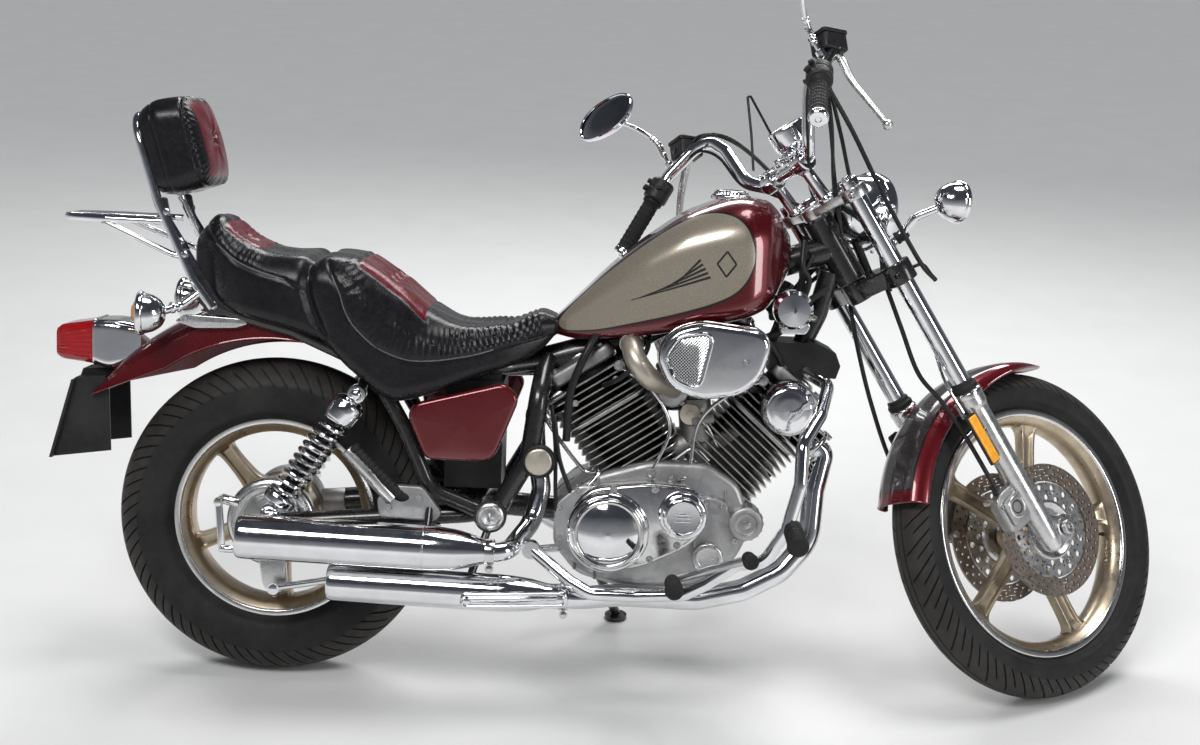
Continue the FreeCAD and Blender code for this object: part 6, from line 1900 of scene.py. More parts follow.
# The tank: sections behind the steering head (behind, half width, low, high, corner low, corner high).
TANK_ROWS = [
    (580, 40, 704, 738, 12, 15), (536, 66, 698, 782, 18, 30), (476, 98, 704, 842, 22, 48),
    (396, 128, 716, 908, 26, 66), (311, 146, 736, 962, 30, 84), (226, 150, 754, 986, 34, 92),
    (181, 134, 772, 982, 36, 86), (156, 104, 796, 962, 36, 66), (136, 62, 830, 925, 30, 40),
]
SIDE_PANEL = softened([
    (548, 724), (561, 711), (626, 719), (702, 740), (764, 757), (845, 783), (888, 804), (911, 831),
    (924, 865), (922, 897), (908, 932), (886, 952), (851, 960), (808, 952), (758, 925), (697, 880),
    (634, 826), (570, 762), (550, 736),
], 30, 4)
MARK_REACH = 100.0
tank_skin = lofted([(HEAD_X - row[0], *row[1:]) for row in TANK_ROWS], 136, 120)
tank_mark = np.clip(0.5 + inside_outline(tank_skin, SIDE_PANEL) / MARK_REACH, 0, 1)
# The rear tip and the front are crowned instead of cut off flat.
tip = [tank_skin[0] * (1, k, 1) + (-d, 0, 0) for k, d in ((0.75, 2.0), (0.4, 3.0))]
nose_middle = tank_skin[-1].mean(axis=0)
nose = [
    nose_middle + (tank_skin[-1] - nose_middle) * k + (d, 0, 0)
    for k, d in ((0.8, 6.0), (0.45, 10.0), (0.1, 11.0))
]
tank_all = np.concatenate([np.array(tip[::-1]), tank_skin, np.array(nose)])
tank_mark = np.concatenate([tank_mark[:1], tank_mark[:1], tank_mark, np.zeros((3, tank_mark.shape[1]))])


def on_side(skin, x, z, lift=0.0):
    """The point on the right side of a lofted skin at a place in side view."""
    half = skin.shape[1] // 2
    stations = skin[:, 0, 0]
    k = int(np.clip(np.searchsorted(stations, x) - 1, 0, len(stations) - 2))
    share = (x - stations[k]) / (stations[k + 1] - stations[k])
    wide = [np.interp(z, skin[i, :half, 2], skin[i, :half, 1]) for i in (k, k + 1)]
    return vec(x, -(wide[0] * (1 - share) + wide[1] * share) - lift, z)


def stripe(skin, start, end, width_start, width_end, lift=0.45, samples=26):
    """A thin stripe lying on a skin between two places in side view."""
    start, end = np.array(start, float), np.array(end, float)
    across = np.array([-(end - start)[1], (end - start)[0]]) / np.linalg.norm(end - start)
    layers = []
    for t in np.linspace(0, 1, samples):
        middle = start + (end - start) * t
        reach = across * (width_start + (width_end - width_start) * t) / 2
        corners = [
            (middle - reach, 0.0), (middle + reach, 0.0), (middle + reach, lift), (middle - reach, lift)
        ]
        layers.append([on_side(skin, place[0], place[1], depth - 0.1) for place, depth in corners])
    return grid(np.array(layers), caps=(True, True))


SEAM_COLUMN = 8
tank_seam = both(swept(tank_skin[4:-4, SEAM_COLUMN], circle(2.2, 8)))
design = []
for k in range(5):
    design.append(stripe(tank_skin, (690 + 20 * k, 784 + 8 * k), (838 - 5 * k, 836 + 8 * k), 1.6, 4.6))
lozenge = [(850, 862), (868, 886), (886, 862), (868, 838)]
for start, end in zip(lozenge, lozenge[1:] + lozenge[:1]):
    design.append(stripe(tank_skin, start, end, 3.4, 3.4, samples=10))
design = both(combined(design))
cap_profile = [(0, -6), (40, -6), (40, 1), (37, 4), (34, 4), (33, 9), (30, 12), (12, 14), (0, 14)]


def cap_wave(along, angle):
    """36 grips round the filler cap, 0.7 mm deep."""
    return np.where((along > 4) & (along < 9), 0.7 * np.cos(36 * angle), 0.0)


filler_cap = lathe(cap_profile, (HEAD_X - 246, 0, 985), (0.03, 0, 1), 108, 1.0, 3, wave=cap_wave)
piece(
    "tank_shell", [grid(tank_all, caps=(True, True), mark=tank_mark), tank_seam, design, filler_cap],
    "chassis", [tank_paint, red_paint, black_paint, chrome], ["fuel_tank"], marked=True,
    sharp_deg=50,
)

# The seat: a stitched two-level cushion with gathered bands above its seams.
SEAT_ROWS = [
    (-152, 72, 776, 880, 20, 40), (-118, 98, 750, 914, 24, 66), (-60, 128, 728, 870, 24, 64),
    (-10, 144, 716, 850, 26, 60), (40, 152, 706, 845, 26, 58), (100, 156, 684, 850, 28, 62),
    (160, 162, 630, 844, 30, 74), (245, 160, 574, 796, 30, 84), (310, 150, 588, 746, 28, 74),
    (380, 132, 614, 718, 26, 58), (453, 106, 636, 721, 24, 46), (519, 74, 674, 745, 18, 34),
    (544, 60, 702, 737, 14, 17),
]
RIDER_SEAM = [
    (112, 838), (122, 812), (139, 779), (146, 752), (162, 721), (206, 679), (267, 655), (323, 656),
    (393, 667), (430, 678), (524, 704)
]
PASSENGER_SEAM = [(-140, 896), (-108, 861), (-65, 828), (-12, 811), (31, 801), (66, 780)]
CREASE = [(90, 858), (84, 848), (76, 831), (74, 807), (74, 779), (84, 745), (104, 700)]
CHANNEL = [(-170, 775), (60, 745), (250, 705), (400, 680), (560, 690)]
BUTTONS = ((232, 0), (232, -62), (232, 62), (-62, 0))
OFF_PANEL = -50
UNEVEN_SIZE = 80
PLEAT_POWER, PLEAT_WAVE = 0.7, 17.0
PUFF, SEAM_SINK = 2.2, 2.6
seat_skin = lofted(SEAT_ROWS, 180, 210)
seat_y = np.abs(seat_skin[..., 1])
seat_normal = normals_of(seat_skin)
upward = np.clip(seat_normal[..., 2], 0, 1)
height = ripple(seat_skin.reshape(-1, 3), UNEVEN_SIZE, 4.5, 11).reshape(seat_y.shape) * upward


def gathered(skin, seam, pitch, band, depth, first=0.0, last=1e9):
    """Pleats above a seam: a puffed band whose folds stand square to the seam, and a sunk seam."""
    away, along, side = line_distance(skin, seam)
    above = away * side
    live = smooth_step(along, first, first + 25) * (1 - smooth_step(along, last - 25, last))
    window = smooth_step(above, 1, 9) * (1 - smooth_step(above, band * 0.55, band)) * live
    uneven = along + 2.2 * np.sin(along / PLEAT_WAVE) + 0.10 * above * np.sin(along / 29.0)
    folds = np.abs(np.sin(math.pi * uneven / pitch)) ** PLEAT_POWER - 0.55
    puff = np.sin(math.pi * np.clip(above / band, 0, 1)) * live
    sunk = np.exp(-(away / SEAM_SINK) ** 2)
    return depth * folds * window + PUFF * puff - SEAM_SINK * sunk


height += gathered(seat_skin, RIDER_SEAM, 11.0, 66, 4.4, 0)
height += gathered(seat_skin, PASSENGER_SEAM, 10.0, 46, 3.6, 0, 150)
crease_away = line_distance(seat_skin, CREASE)[0]
height -= 11.0 * np.exp(-(crease_away / 10.0) ** 2) + 3.0 * np.exp(-(crease_away / 24.0) ** 2)
seat_x = seat_skin[..., 0]


def panel_inside(half_wide, back, front, least_upward):
    """How far a point lies inside a rectangular panel on the upper side of the seat."""
    inside = np.minimum(half_wide - seat_y, np.minimum(seat_x - back, front - seat_x))
    return np.where(upward > least_upward, inside, OFF_PANEL)


rider_panel = panel_inside(128, 170, 300, 0.05)
passenger_panel = panel_inside(84, -96, -24, 0.25)
panel_edge = np.minimum(np.abs(rider_panel), np.abs(passenger_panel))
height -= 2.4 * np.exp(-(panel_edge / 3.0) ** 2) * (upward > 0.25)
for button_x, button_y in BUTTONS:
    reach = np.hypot(seat_x - button_x, seat_skin[..., 1] - button_y)
    turn = np.arctan2(seat_skin[..., 1] - button_y, seat_x - button_x)
    gathers = 2.0 * np.cos(7 * turn) * np.exp(-reach / 20.0) * (1 - np.exp(-(reach / 8.0) ** 2))
    tuft = -7.5 * np.exp(-(reach / 11.0) ** 2) + gathers
    height += tuft * (upward > 0.2)
seat_shape = seat_skin + seat_normal * height[..., None]
roof = np.interp(seat_x, *zip(*CHANNEL))
skirt_inside = np.minimum(112, seat_y.max(axis=1, keepdims=True) - 18)
under = (seat_y < skirt_inside) & (seat_shape[..., 2] < roof) & (seat_normal[..., 2] < 0.1)
seat_shape[..., 2] = np.where(under, roof, seat_shape[..., 2])
seat_mark = np.clip(0.5 + np.maximum(rider_panel, passenger_panel) / 40.0, 0, 1)


def crowned_ends(points, mark, reach):
    """Both end rows drawn in toward their middles, so that the form closes round."""
    out, marks = [points], [mark]
    for row, direction, at_start in ((points[0], -1, True), (points[-1], 1, False)):
        middle = row.mean(axis=0)
        caps = [
            middle + (row - middle) * k + (direction * reach * d, 0, 0)
            for k, d in ((0.86, 0.55), (0.6, 0.85), (0.25, 1.0))
        ]
        blank = np.zeros((3, points.shape[1]))
        if at_start:
            out.insert(0, np.array(caps[::-1]))
            marks.insert(0, blank)
        else:
            out.append(np.array(caps))
            marks.append(blank)
    return np.concatenate(out), np.concatenate(marks)


seat_shape, seat_mark = crowned_ends(seat_shape, seat_mark, 8.0)
seam_cord = finish("seam_cord", (0.10, 0.10, 0.105), 0.0, 0.45, 0.06, 0.2, 90)


def cord_on(skin, seam, inward=0.0, radius=1.5):
    """A thin piping cord that lies in a seam, on both sides."""
    path = softened(seam, 25, 4, closed=False)
    return both(pipe([on_side(skin, x, z, -inward) for x, z in path], radius, 10, 8))


rider_cord = cord_on(seat_skin, RIDER_SEAM[1:-1], 1.6)
passenger_cord = cord_on(seat_skin, PASSENGER_SEAM[1:-1], 1.6)
seat_thing = piece(
    "seat_cushion", [grid(seat_shape, caps=(True, True), mark=seat_mark), rider_cord, passenger_cord],
    "chassis", [seat_leather, seam_cord, seam_cord], ["seat"], marked=True, sharp_deg=70,
)

# The backrest pad: rows of (depth, half width, low, high, corner), from its back to its crown.
PAD_FOOT = vec(-206, 0, 945)
PAD_UP = unit((-54, 0, 188))
PAD_FACE = unit((188, 0, 54))
PAD_ROWS = np.array([
    (-13, 96, 14, 168, 30), (0, 102, 6, 176, 34), (30, 112, 0, 184, 40), (72, 108, 2, 180, 44),
    (92, 88, 18, 162, 42), (101, 56, 46, 134, 34), (104, 14, 82, 98, 7),
], float)
PAD_RING, PAD_MIDDLE, PAD_GIRTH, PLEAT_PITCH = 190, 92, 560, 9.5
steps = np.linspace(0, len(PAD_ROWS) - 1, 110)
pad_values = np.stack([eased(steps, np.arange(len(PAD_ROWS)), PAD_ROWS[:, k]) for k in range(5)], axis=1)
pad_local = np.array([
    np.column_stack([
        np.full(PAD_RING, depth), rounded_section(half, low, high, corner, corner, PAD_RING)
    ])
    for depth, half, low, high, corner in pad_values
])
pad_depth, pad_aside, pad_high = pad_local[..., 0], pad_local[..., 1], pad_local[..., 2] - PAD_MIDDLE
pad_reach = np.hypot(pad_aside, pad_high)
pad_turn = np.arctan2(pad_high, pad_aside)
girth = np.linspace(0, 1, PAD_RING, endpoint=False)[None, :] * PAD_GIRTH
seam_band = np.exp(-((pad_depth - 82) / 8.0) ** 2)
folds = (np.abs(np.sin(math.pi * girth / PLEAT_PITCH)) ** PLEAT_POWER - 0.5) * 3.4 * seam_band
front_side = smooth_step(pad_depth, 60, 95)
tuft = -13 * np.exp(-(pad_reach / 13) ** 2) - 4.0 * np.exp(-(pad_reach / 34) ** 2)
tuft += 4.0 * np.cos(6 * pad_turn + 0.4) * np.exp(-pad_reach / 30) * (1 - np.exp(-(pad_reach / 10) ** 2))
sunk_seam = -2.8 * np.exp(-((pad_depth - 74) / 2.2) ** 2) - 2.2 * np.exp(-((pad_depth - 12) / 2.0) ** 2)
pad_uneven = ripple(pad_local.reshape(-1, 3), UNEVEN_SIZE, 2.4, 5).reshape(pad_depth.shape)
pad_rise = folds + front_side * tuft + sunk_seam + pad_uneven
pad_shape = pad_local + normals_of(pad_local) * pad_rise[..., None]
pad_points = PAD_FOOT + PAD_FACE * pad_shape[..., :1] + PAD_UP * pad_shape[..., 2:]
pad_points = pad_points + vec(0, 1, 0) * pad_shape[..., 1:2]
pad_panel = np.minimum(np.minimum(80 - np.abs(pad_aside), 74 - np.abs(pad_high)), pad_depth - 80)
pad_mark = np.clip(0.5 + pad_panel / 30, 0, 1)
pad_button = lathe([
    (0, -2), (9, -2), (10, 1), (7, 4), (0, 5)
], PAD_FOOT + PAD_FACE * 92 + PAD_UP * PAD_MIDDLE, PAD_FACE, 28, 1.5)
pad_thing = piece(
    "backrest_cushion", [grid(pad_points, caps=(True, True), mark=pad_mark), pad_button], "chassis",
    [seat_leather, black_plastic], ["backrest_pad"], marked=True, sharp_deg=70,
)

# Side covers under the seat and the horns.
COVER_OUTLINE = [(268, 548), (283, 572), (455, 618), (484, 588), (442, 478), (425, 462), (305, 462)]
cover = side_slab(COVER_OUTLINE, -118, -138, corner=16, edge=9, steps=6, dome=2.0)
cover_lugs = both(rod((312, -106, 505), (312, -119, 505), 8))
piece(
    "side_cover_pair", [both(cover), cover_lugs], "chassis", [red_paint, rubber], ["side_covers"],
    sharp_deg=45
)

HORN = on_engine(209, -110, 426)
HORN_LINE = [
    (0, 0), (37, 0), (38, 3), (38, 22), (36, 27), (31, 30), (29, 29), (27, 33), (20, 37), (8, 39),
    (0, 39.5)
]
horn = lathe(HORN_LINE, HORN, RIGHT, 72, 1.2)
horn_skirt = side_slab([
    (HORN[0] - 26, HORN[2] - 22), (HORN[0] - 22, HORN[2] - 46), (HORN[0] + 26, HORN[2] - 46),
    (HORN[0] + 34, HORN[2] - 30), (HORN[0] + 24, HORN[2] - 12),
], HORN[1] - 4, HORN[1] - 24, corner=5, edge=2)
piece("horn_trim", [both(horn), both(horn_skirt)], "chassis", [chrome, chrome])

# The rear fender: a deep crowned sheet whose skirt lifts toward the tail.
REAR_CROWN = 432
REAR_FENDER_HALF = [(-96, 340), (-96, 366), (-95, 392), (-88, 406), (-80, 416), (-48, 428)]
REAR_FENDER_ROWS = symmetric(REAR_FENDER_HALF, [(0, REAR_CROWN)], column=0)
TAIL_SLOPE = 0.236
TAIL_REACH = 324.8
FENDER_FROM_DEG, FENDER_TO_DEG = 60.0, 145.6


def lifted_skirt(share):
    """Full width, and a skirt cut along a straight line that climbs to the tail."""
    turn = math.radians(FENDER_FROM_DEG + (FENDER_TO_DEG - FENDER_FROM_DEG) * share)
    lowest = TAIL_REACH / (math.sin(turn) - TAIL_SLOPE * math.cos(turn))
    return 1.0 - 0.10 * max(0.0, (share - 0.8) / 0.2) ** 2, float(np.clip(
        (REAR_CROWN - lowest) / 92.0, 0.06, 1.0
    ))


rear_points, _, _ = sheet_arch(
    REAR_AXLE, REAR_FENDER_ROWS, FENDER_FROM_DEG, FENDER_TO_DEG, 3.0, lifted_skirt, steps=110, across=37,
)
rear_edges = [swept(rear_points[:, k], circle(2.0, 8)) for k in (0, 36)]
piece(
    "rear_fender_sheet", [grid(rear_points, caps=(True, True)), *rear_edges], "chassis", [red_paint] * 3,
    ["rear_fender"], sharp_deg=40,
)

# The tail lamp's chrome body and its red lens.
LAMP_ROWS = [(-358, 54, 611, 699, 14, 16), (-330, 56, 604, 700, 14, 16), (-268, 44, 620, 690, 14, 16)]
LENS_ROWS = [
    (-434, 44, 626, 680, 10, 12), (-424, 48, 620, 687, 12, 14), (-396, 51, 616, 692, 14, 15),
    (-359, 54, 612, 698, 14, 16)
]
lamp_skin = lofted(LAMP_ROWS, 80, 30)
lens_skin = lofted(LENS_ROWS, 96, 60)
lens_wave = 0.5 * np.sin(lens_skin[..., 2] * 2 * math.pi / 6.0) * (np.abs(lens_skin[..., 1]) > 30)
lens_skin[..., 1] += np.sign(lens_skin[..., 1]) * (lens_wave - 0.5)
lamp_rim = lamp_skin[0]
piece(
    "tail_lamp_body", [grid(lamp_skin, caps=(True, True)), swept(lamp_rim, circle(2.4, 8), closed=True)],
    "chassis", [chrome, chrome], ["tail_lamp"],
)
piece(
    "tail_lamp_lens", grid(lens_skin, caps=(True, True)), "chassis", red_lens, ["tail_lens"]
)

# Rear signals, the backrest bar and its side plates.
REAR_SIGNAL = vec(-226, 166, 729)
rear_signal = signal_parts(REAR_SIGNAL, unit((-1, 0.1, 0)))
rear_stalk = pipe([(-134, 108, 770), (-168, 124, 742), (-206, 148, 730)], 8, 30, 20)
stalk_rings = [
    lathe([
        (8, 0), (11, 1), (11, 8), (8, 9)
    ], vec(-170, 126, 741) + unit((-46, 26, -10)) * d, (-46, 26, -10), 28, 1.0)
    for d in (0, 12)
]
piece(
    "rear_signal_pair",
    [both(part) for part in rear_signal] + [both(rear_stalk), both(combined(stalk_rings))], "chassis",
    [chrome, chrome, amber_lens, chrome, chrome], ["rear_signals"],
)

bar_side = [(-112, 112, 738), (-150, 110, 790), (-222, 94, 935), (-275, 84, 1098)]
bar_loop = bar_side + [(x, -y, z) for x, y, z in reversed(bar_side)]
backrest_bar = pipe(bar_loop, 9, 60, 24)
LOWER_PLATE = [(-176, 848), (-160, 850), (-100, 752), (-60, 724), (-120, 724), (-150, 760)]
UPPER_PLATE = [(-222, 946), (-204, 946), (-196, 906), (-158, 846), (-178, 846), (-214, 906)]
lower_plate = side_slab(LOWER_PLATE, -103, -109, corner=6, edge=1.6)
upper_plate = side_slab(UPPER_PLATE, -94, -100, corner=6, edge=1.6)
plate_bolts = [
    bolt(place, RIGHT, 6, 5)
    for place in (vec(-168, -109, 838), vec(-112, -109, 742), vec(-205, -100, 918), vec(-178, -100, 862))
]
piece(
    "backrest_bar", [backrest_bar, both(lower_plate), both(upper_plate), both(combined(plate_bolts))],
    "chassis", [chrome, black_paint, black_paint, chrome], ["sissy_bar"],
)

# A polished strip along the fender under the passenger seat.
seat_strip = side_slab([
    (-187, 709), (-168, 723), (-52, 718), (-46, 708), (-70, 700), (-148, 697)
], -99, -105, corner=5, edge=1.6)
piece("fender_strip", both(seat_strip), "chassis", satin)

# Shock absorbers: a helical spring round a damper, with caps and eyes.
SHOCK_TOP, SHOCK_FOOT = vec(174, -150, 588), vec(10, -150, 352)
shock_way = unit(SHOCK_TOP - SHOCK_FOOT)
shock_length = np.linalg.norm(SHOCK_TOP - SHOCK_FOOT)
shock_side, shock_other = axes_for(shock_way)
COIL_TURNS, COIL_FROM, COIL_RUN, COIL_RADIUS = 10.5, 48, 184, 25.0
t = np.linspace(0, 1, 330)
pitch_ease = t + 0.02 * np.sin(2 * math.pi * t)
coil_angle = 2 * math.pi * COIL_TURNS * t
coil_path = (
    SHOCK_FOOT + shock_way * (COIL_FROM + COIL_RUN * pitch_ease[:, None])
    + COIL_RADIUS * (np.cos(coil_angle)[:, None] * shock_side + np.sin(coil_angle)[:, None] * shock_other)
)
coil = swept(coil_path, circle(4.8, 10))
damper = rod(SHOCK_FOOT + shock_way * 16, SHOCK_FOOT + shock_way * (shock_length - 16), 14, 2, 32)
foot_cap = lathe([
    (14, 0), (26, 2), (33, 8), (33, 22), (30, 26), (14, 28)
], SHOCK_FOOT + shock_way * 18, shock_way, 48, 2)
top_cap = lathe([
    (14, 0), (31, 0), (34, 4), (34, 26), (30, 40), (20, 47), (14, 48)
], SHOCK_FOOT + shock_way * 226, shock_way, 48, 3)
eyes = [
    lathe([(0, -13), (r, -13), (r + 1, -10), (r + 1, 10), (r, 13), (0, 13)], place, RIGHT, 40, 1.5)
    for place, r in ((SHOCK_FOOT, 16), (SHOCK_TOP, 17))
]
nuts = [bolt(place + vec(0, -13, 0), RIGHT, 9, 9) for place in (SHOCK_FOOT, SHOCK_TOP)]
acorn = lathe([(0, 0), (11, 0), (11, 5), (8, 11), (0, 13)], SHOCK_TOP + vec(0, -13, 0), RIGHT, 24, 2)
piece(
    "shock_pair",
    [
        both(coil), both(damper), both(combined([foot_cap, top_cap])), both(combined(eyes)),
        both(combined(nuts + [acorn]))
    ],
    "chassis", [spring_steel, black_paint, chrome, chrome, chrome], ["shocks"],
)

# Swingarm: black arms, the rear brake's alloy plate, the shaft drive's case and the brake's rods.
PIVOT = vec(434, 0, 356)


def from_pivot(ahead, aside, up):
    return PIVOT + vec(ahead, aside, up)


right_arm = pipe([
    from_pivot(0, -74, 0), from_pivot(-54, -90, -6), on_rear(40, -102, 6), on_rear(0, -102, 0)
], 19, 50, 28)
left_arm = pipe([
    from_pivot(0, 74, 0), from_pivot(-50, 108, -6), on_rear(90, 112, 6), on_rear(0, 112, 0)
], 26, 50, 28)
PLATE_LINE = [
    (0, 66), (88, 66), (88, 80), (84, 85), (78, 88), (62, 88), (60, 85), (56, 86), (54, 92), (30, 96),
    (0, 97)
]
brake_plate = lathe(PLATE_LINE, REAR_AXLE, RIGHT, 72, 1.6)
raised_ring = lathe([(66, 87), (66, 92), (73, 92), (74, 87)], REAR_AXLE, RIGHT, 72, 1.0)
drive_case = lathe([(0, 76), (76, 76), (76, 132), (62, 146), (30, 150), (0, 150)], REAR_AXLE, LEFT, 72, 4)
drive_rod = rod(on_rear(0, 106, 0), on_rear(120, 106, 8), 27, 4)
axle = rod(on_rear(0, -132, 0), on_rear(0, 150, 0), 9, 1)
axle_nut = bolt(on_rear(0, -121, 0), RIGHT, 14, 12)
lug = slab([
    (-24, -66), (30, -66), (34, -124), (22, -140), (-2, -140), (-14, -124)
], 78, 92, REAR_AXLE, AHEAD, UP, corner=7, edge=2.5)
lug_bolt = bolt(on_rear(12, -119, -125), RIGHT, 9, 6)
torque_rod = pipe([
    on_rear(12, -112, -125), on_rear(200, -112, -90), on_rear(300, -104, -60), on_rear(330, -98, 12)
], 7, 40, 16)
brake_arm = combined([
    slab([
        (-104, 52), (-90, 52), (-82, -54), (-96, -56)
    ], 112, 119, REAR_AXLE, AHEAD, UP, corner=5, edge=1.6),
    rod(on_rear(-97, -80, 44), on_rear(-97, -124, 44), 8, 1),
    rod(on_rear(-62, -84, 36), on_rear(-98, -84, 44), 10, 2),
])
pull_rod = rod(on_rear(-86, -120, -48), on_rear(300, -116, -66), 4, 1)
rod_fork = [
    rod(on_rear(-92, -120, -48), on_rear(-66, -119, -49), 7, 1),
    rod(on_rear(-86, -128, -48), on_rear(-86, -110, -48), 5, 1)
]
spring_t = np.linspace(0, 1, 260)
rod_way = unit(on_rear(300, -116, -66) - on_rear(-86, -120, -48))
rod_side, rod_other = axes_for(rod_way)
return_spring = swept(
    on_rear(-86, -120, -48) + rod_way * (26 + 60 * spring_t[:, None]) + 7.0 * (
        np.cos(60 * spring_t)[:, None] * rod_side + np.sin(60 * spring_t)[:, None] * rod_other
    ),
    circle(1.4, 6),
)
pivot_boss = rod(from_pivot(0, -70, 0), from_pivot(0, 70, 0), 26, 2)
piece(
    "swingarm_dress",
    [
        combined([right_arm, left_arm, pivot_boss]), combined([brake_plate, raised_ring, lug]),
        combined([drive_case, drive_rod]), combined([axle, axle_nut, lug_bolt]),
        combined([torque_rod, brake_arm, pull_rod] + rod_fork), return_spring
    ],
    "chassis", [black_paint, satin, cast, chrome, chrome, steel], ["swingarm"],
)

# Caps over the frame's pivot, and rubbers on the rider's pegs.
pivot_cap = lathe([
    (0, 0), (27, 0), (27, 4), (22, 7), (18, 5), (8, 6), (0, 9)
], from_pivot(0, -138, 0), RIGHT, 48, 1.2)
piece("pivot_caps", both(pivot_cap), "chassis", satin)


def ribbed(start, end, radius, ribs=9):
    """A round rubber sleeve with rounded ribs and a swollen end."""
    length = np.linalg.norm(np.asarray(end) - start)
    line = [(radius - 3, 0)]
    step = (length - 14) / ribs
    for k in range(ribs):
        line += [
            (radius, step * (k + 0.15)), (radius, step * (k + 0.75)), (radius - 1.8, step * (k + 0.9))
        ]
    line += [(radius + 2, length - 10), (radius + 2, length - 3), (radius - 2, length), (0, length)]
    return lathe(line, start, np.asarray(end, float) - start, 28, 0.9, 1)


PEG_FOOT, PEG_TIP = vec(246, -150, 385), vec(158, -153, 480)
PEG_BRACKET = [(216, 388), (252, 414), (304, 412), (342, 362), (330, 346), (221, 350)]
folded_peg = rod(PEG_FOOT, PEG_TIP, 14.5, 3, 32)
peg_pad = ribbed(PEG_FOOT + vec(16, -2, 8), PEG_TIP + vec(9, -2, 7), 11, 11)
peg_bracket = side_slab(PEG_BRACKET, -136, -156, corner=9, edge=3)
bracket_bolts = [bolt(vec(x, -156, z), RIGHT, 7, 6) for x, z in ((240, 372), (298, 392), (322, 360))]
piece(
    "passenger_pegs", [both(folded_peg), both(peg_pad), both(combined([peg_bracket] + bracket_bolts))],
    "chassis", [satin, rubber, cast],
)

# A folded wire foot on the lower right silencer and a round canister on the frame.
FOOT_OUT = -218
loop_line = softened([(391, 197), (586, 206), (586, 230), (391, 220)], 10, 6)
wire_loop = swept([vec(x, FOOT_OUT, z) for x, z in loop_line], circle(4.6, 12), closed=True)
loop_ends = [
    bolt(vec(x, FOOT_OUT + depth, z), RIGHT, 7, depth + 7)
    for x, z, depth in ((400, 209, 9), (576, 218, 26))
]
loop_arm = rod((402, FOOT_OUT, 212), (572, FOOT_OUT, 221), 5)
piece("folded_foot", combined([wire_loop, loop_arm] + loop_ends), "chassis", chrome)
CANISTER = vec(524, -128, 467)
canister_body = lathe([
    (0, -8), (31, -8), (33, -4), (33, 10), (30, 14), (27, 14), (26, 12), (0, 12)
], CANISTER, RIGHT, 56, 1)
canister_face = lathe([(26.5, 11), (26, 15), (23, 17), (6, 18.5), (0, 18.5)], CANISTER, RIGHT, 56, 1.2)
piece("frame_canister", [canister_body, canister_face], "chassis", [black_plastic, beige])

peg_rubbers = [
    ribbed(on_engine(-3, -226, -91), on_engine(-3, -323, -82), 15.5),
    ribbed(on_engine(135, -264, -29), on_engine(135, -323, -22), 13.2, 6),
]
highway_rubber = ribbed(on_engine(212, -298, 33), on_engine(214, -373, 20), 18.4, 5)
piece("peg_rubbers", both(combined(peg_rubbers + [highway_rubber])), "chassis", rubber)

# Wiring looms from the steering head back under the tank, and a thin cable that arches over the bar.
loom_ends = [
    (-46, 1104, -52, 6.0), (-46, 1090, -40, 4.5), (-44, 1068, -28, 5.0), (-46, 1040, 30, 6.0),
    (-44, 1020, 44, 4.5), (-50, 1000, -36, 7.0),
]
looms = []
for k, (ahead, up, aside, radius) in enumerate(loom_ends):
    head = on_fork(ahead, aside, up)
    middle = vec(1034 - 9 * k, aside * 1.25, 822 - 14 * k)
    looms.append(pipe([
        head, (head + middle) / 2 + vec(-8, aside * 0.2, -6), middle,
        vec(1000 - 6 * k, aside * 1.1, 742 - 8 * k), vec(948, aside * 0.9, 704)
    ], radius, 60, 12, smooth=True, samples=60))
loom_clips = [
    lathe(symmetric([(0, -6), (17, -6), (18, -3)]), vec(1018, side * 44, 790), (-0.4, 0, 1), 24, 1)
    for side in (-1, 1)
]
piece("wiring_looms", [combined(looms), combined(loom_clips)], "chassis", [cable_black, black_plastic])
arched = pipe([
    (949, 60, 1052), (950, 60, 1130), (947, 60, 1206), (953, 58, 1208), (982, 60, 1163), (1012, 60, 1112)
], 2.6, 6, 10)
piece("arched_cable", arched, "fork", cable_black)


# Every construction solid that still shows gets its finish and smooth shading.
SLOT_FINISH = {
    "paint": red_paint, "black_metal": black_paint, "grey_alloy": cast, "gold_alloy": champagne,
    "chrome": chrome, "steel": steel, "tyre": tyre_rubber, "rubber": rubber,
    "black_plastic": black_plastic, "seat_leather": seat_leather, "red_lens": red_lens,
    "clear_glass": clear_glass, "engine_black": fin_black,
}
slots = {part["node"]: part["material_slot"] for part in frame["record"]["subparts"]}
for name, thing in frame["nodes"].items():
    if thing.hide_render:
        continue
    thing.data.materials.clear()
    thing.data.materials.append(SLOT_FINISH[slots[name]])
    thing.data.polygons.foreach_set("use_smooth", np.ones(len(thing.data.polygons), bool))
    thing.data.set_sharp_from_angle(angle=math.radians(30))

# The floor, the studio light and the camera at the photograph's place.
floor_finish = finish("floor_paint", (0.70, 0.70, 0.695), 0.0, 0.62, 0.05, 0.02, 4)
floor_mesh = bpy.data.meshes.new("floor")
floor_mesh.from_pydata([(-90, -90, 0), (90, -90, 0), (90, 90, 0), (-90, 90, 0)], [], [(0, 1, 2, 3)])
floor = bpy.data.objects.new("floor", floor_mesh)
bpy.context.scene.collection.objects.link(floor)
floor_mesh.materials.append(floor_finish)

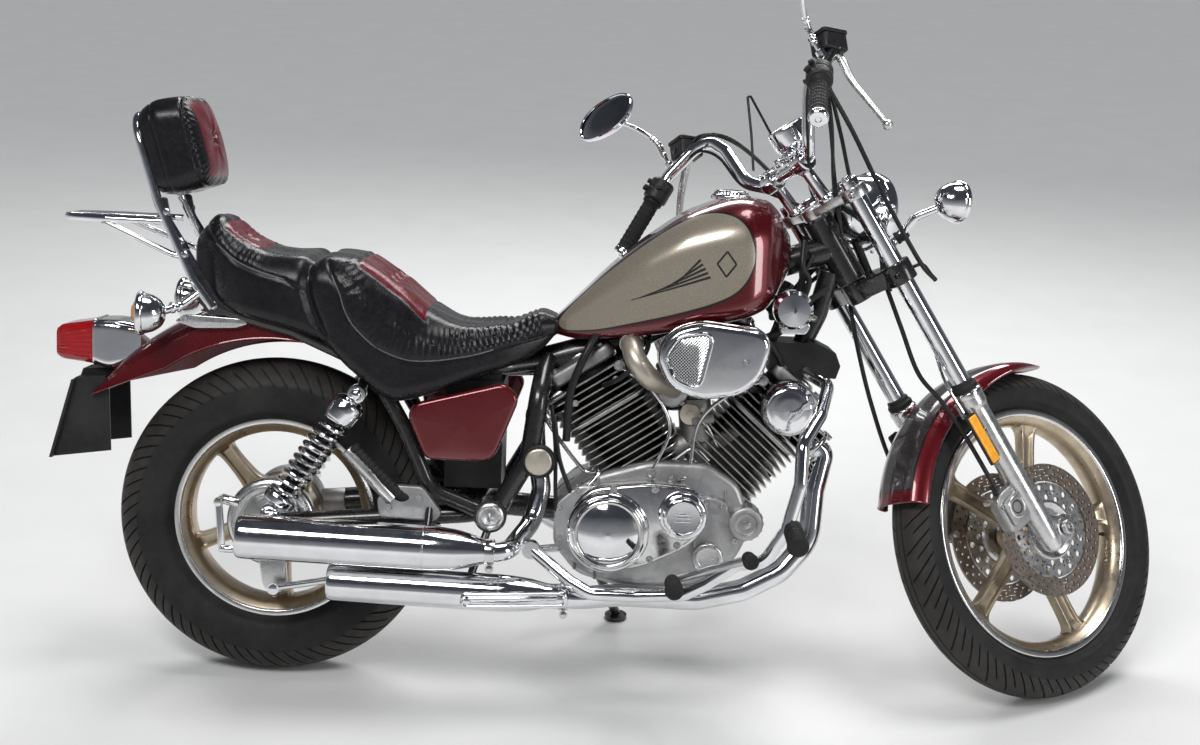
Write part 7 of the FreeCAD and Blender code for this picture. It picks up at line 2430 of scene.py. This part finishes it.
world = bpy.data.worlds.new("studio")
bpy.context.scene.world = world
world.use_nodes = True
sky = world.node_tree
background = sky.nodes["Background"]
background.inputs["Strength"].default_value = 1.0
SKY_TO_SURFACES = (0.20, 0.207, 0.217)
SKY_IN_METAL_LOW = (0.26, 0.265, 0.28)
SKY_IN_METAL_HIGH = (0.045, 0.05, 0.06)
SKY_TO_CAMERA = (0.66, 0.665, 0.67)
rays = sky.nodes.new("ShaderNodeLightPath")
direction = sky.nodes.new("ShaderNodeTexCoord")
split = sky.nodes.new("ShaderNodeSeparateXYZ")
sky.links.new(direction.outputs["Generated"], split.inputs[0])
in_metal = mixed(
    sky, spread_of(sky, split.outputs["Z"], 0.0, 1.0, 0.02, 0.42), colour4(SKY_IN_METAL_LOW),
    colour4(SKY_IN_METAL_HIGH)
)
seen = mixed(sky, rays.outputs["Is Glossy Ray"], colour4(SKY_TO_SURFACES), in_metal)
seen = mixed(sky, rays.outputs["Is Camera Ray"], seen, colour4(SKY_TO_CAMERA))
sky.links.new(seen, background.inputs["Color"])


def soft_light(name, place, target, size, power, colour=(1, 1, 1)):
    """A rectangular soft lamp, turned toward a point."""
    data = bpy.data.lights.new(name, "AREA")
    data.shape = "RECTANGLE"
    data.size, data.size_y = size
    data.energy = power
    data.color = colour
    lamp = bpy.data.objects.new(name, data)
    bpy.context.scene.collection.objects.link(lamp)
    lamp.location = place
    away = -unit(vec(*target) - vec(*place))
    first, second = axes_for(away, vec(0, 0, 1))
    right = np.cross(first, away)
    lamp.matrix_world = to_matrix(right, first, away, place)
    return lamp


def to_matrix(right, up, back, place):
    rows = [[right[k], up[k], back[k], place[k]] for k in range(3)]
    return Matrix(rows + [[0, 0, 0, 1]])


sun_data = bpy.data.lights.new("sun", "SUN")
SUN_POWER, SUN_WIDE_DEG = 1.25, 24
sun_data.energy = SUN_POWER
sun_data.angle = math.radians(SUN_WIDE_DEG)
sun = bpy.data.objects.new("sun", sun_data)
bpy.context.scene.collection.objects.link(sun)
SUN_BACK = unit((0.22, 0.10, 1.0))
sun_up, sun_right = axes_for(SUN_BACK, vec(0, 1, 0))
sun.matrix_world = to_matrix(-sun_right, sun_up, SUN_BACK, (0, 0, 4))

soft_light("key", (-1.2, -2.6, 3.6), (0, 0, 0.5), (2.2, 1.0), 95)
soft_light("fill", (3.4, -2.4, 1.7), (0.2, 0, 0.6), (0.8, 1.8), 45)
soft_light("back", (0.5, 3.0, 3.2), (0, 0, 0.6), (3.6, 0.9), 110)

camera_data = bpy.data.cameras.new("camera")
CAMERA_LENS, CAMERA_SENSOR = 51.8869, 36.0
camera_data.lens = CAMERA_LENS
camera_data.sensor_width = CAMERA_SENSOR
camera = bpy.data.objects.new("camera", camera_data)
bpy.context.scene.collection.objects.link(camera)
CAMERA_FROM_REAR_WHEEL = vec(0.64506, -3.23212, 1.34274)
CAMERA_RIGHT = vec(0.99954, 0.01105, 0.02838)
CAMERA_UP = vec(-0.03039, 0.30207, 0.95280)
camera.matrix_world = to_matrix(
    CAMERA_RIGHT, CAMERA_UP, np.cross(CAMERA_RIGHT, CAMERA_UP),
    joint_at["rear_wheel_spin"] + CAMERA_FROM_REAR_WHEEL
)
bpy.context.scene.camera = camera
bpy.context.scene.view_settings.view_transform = "Standard"
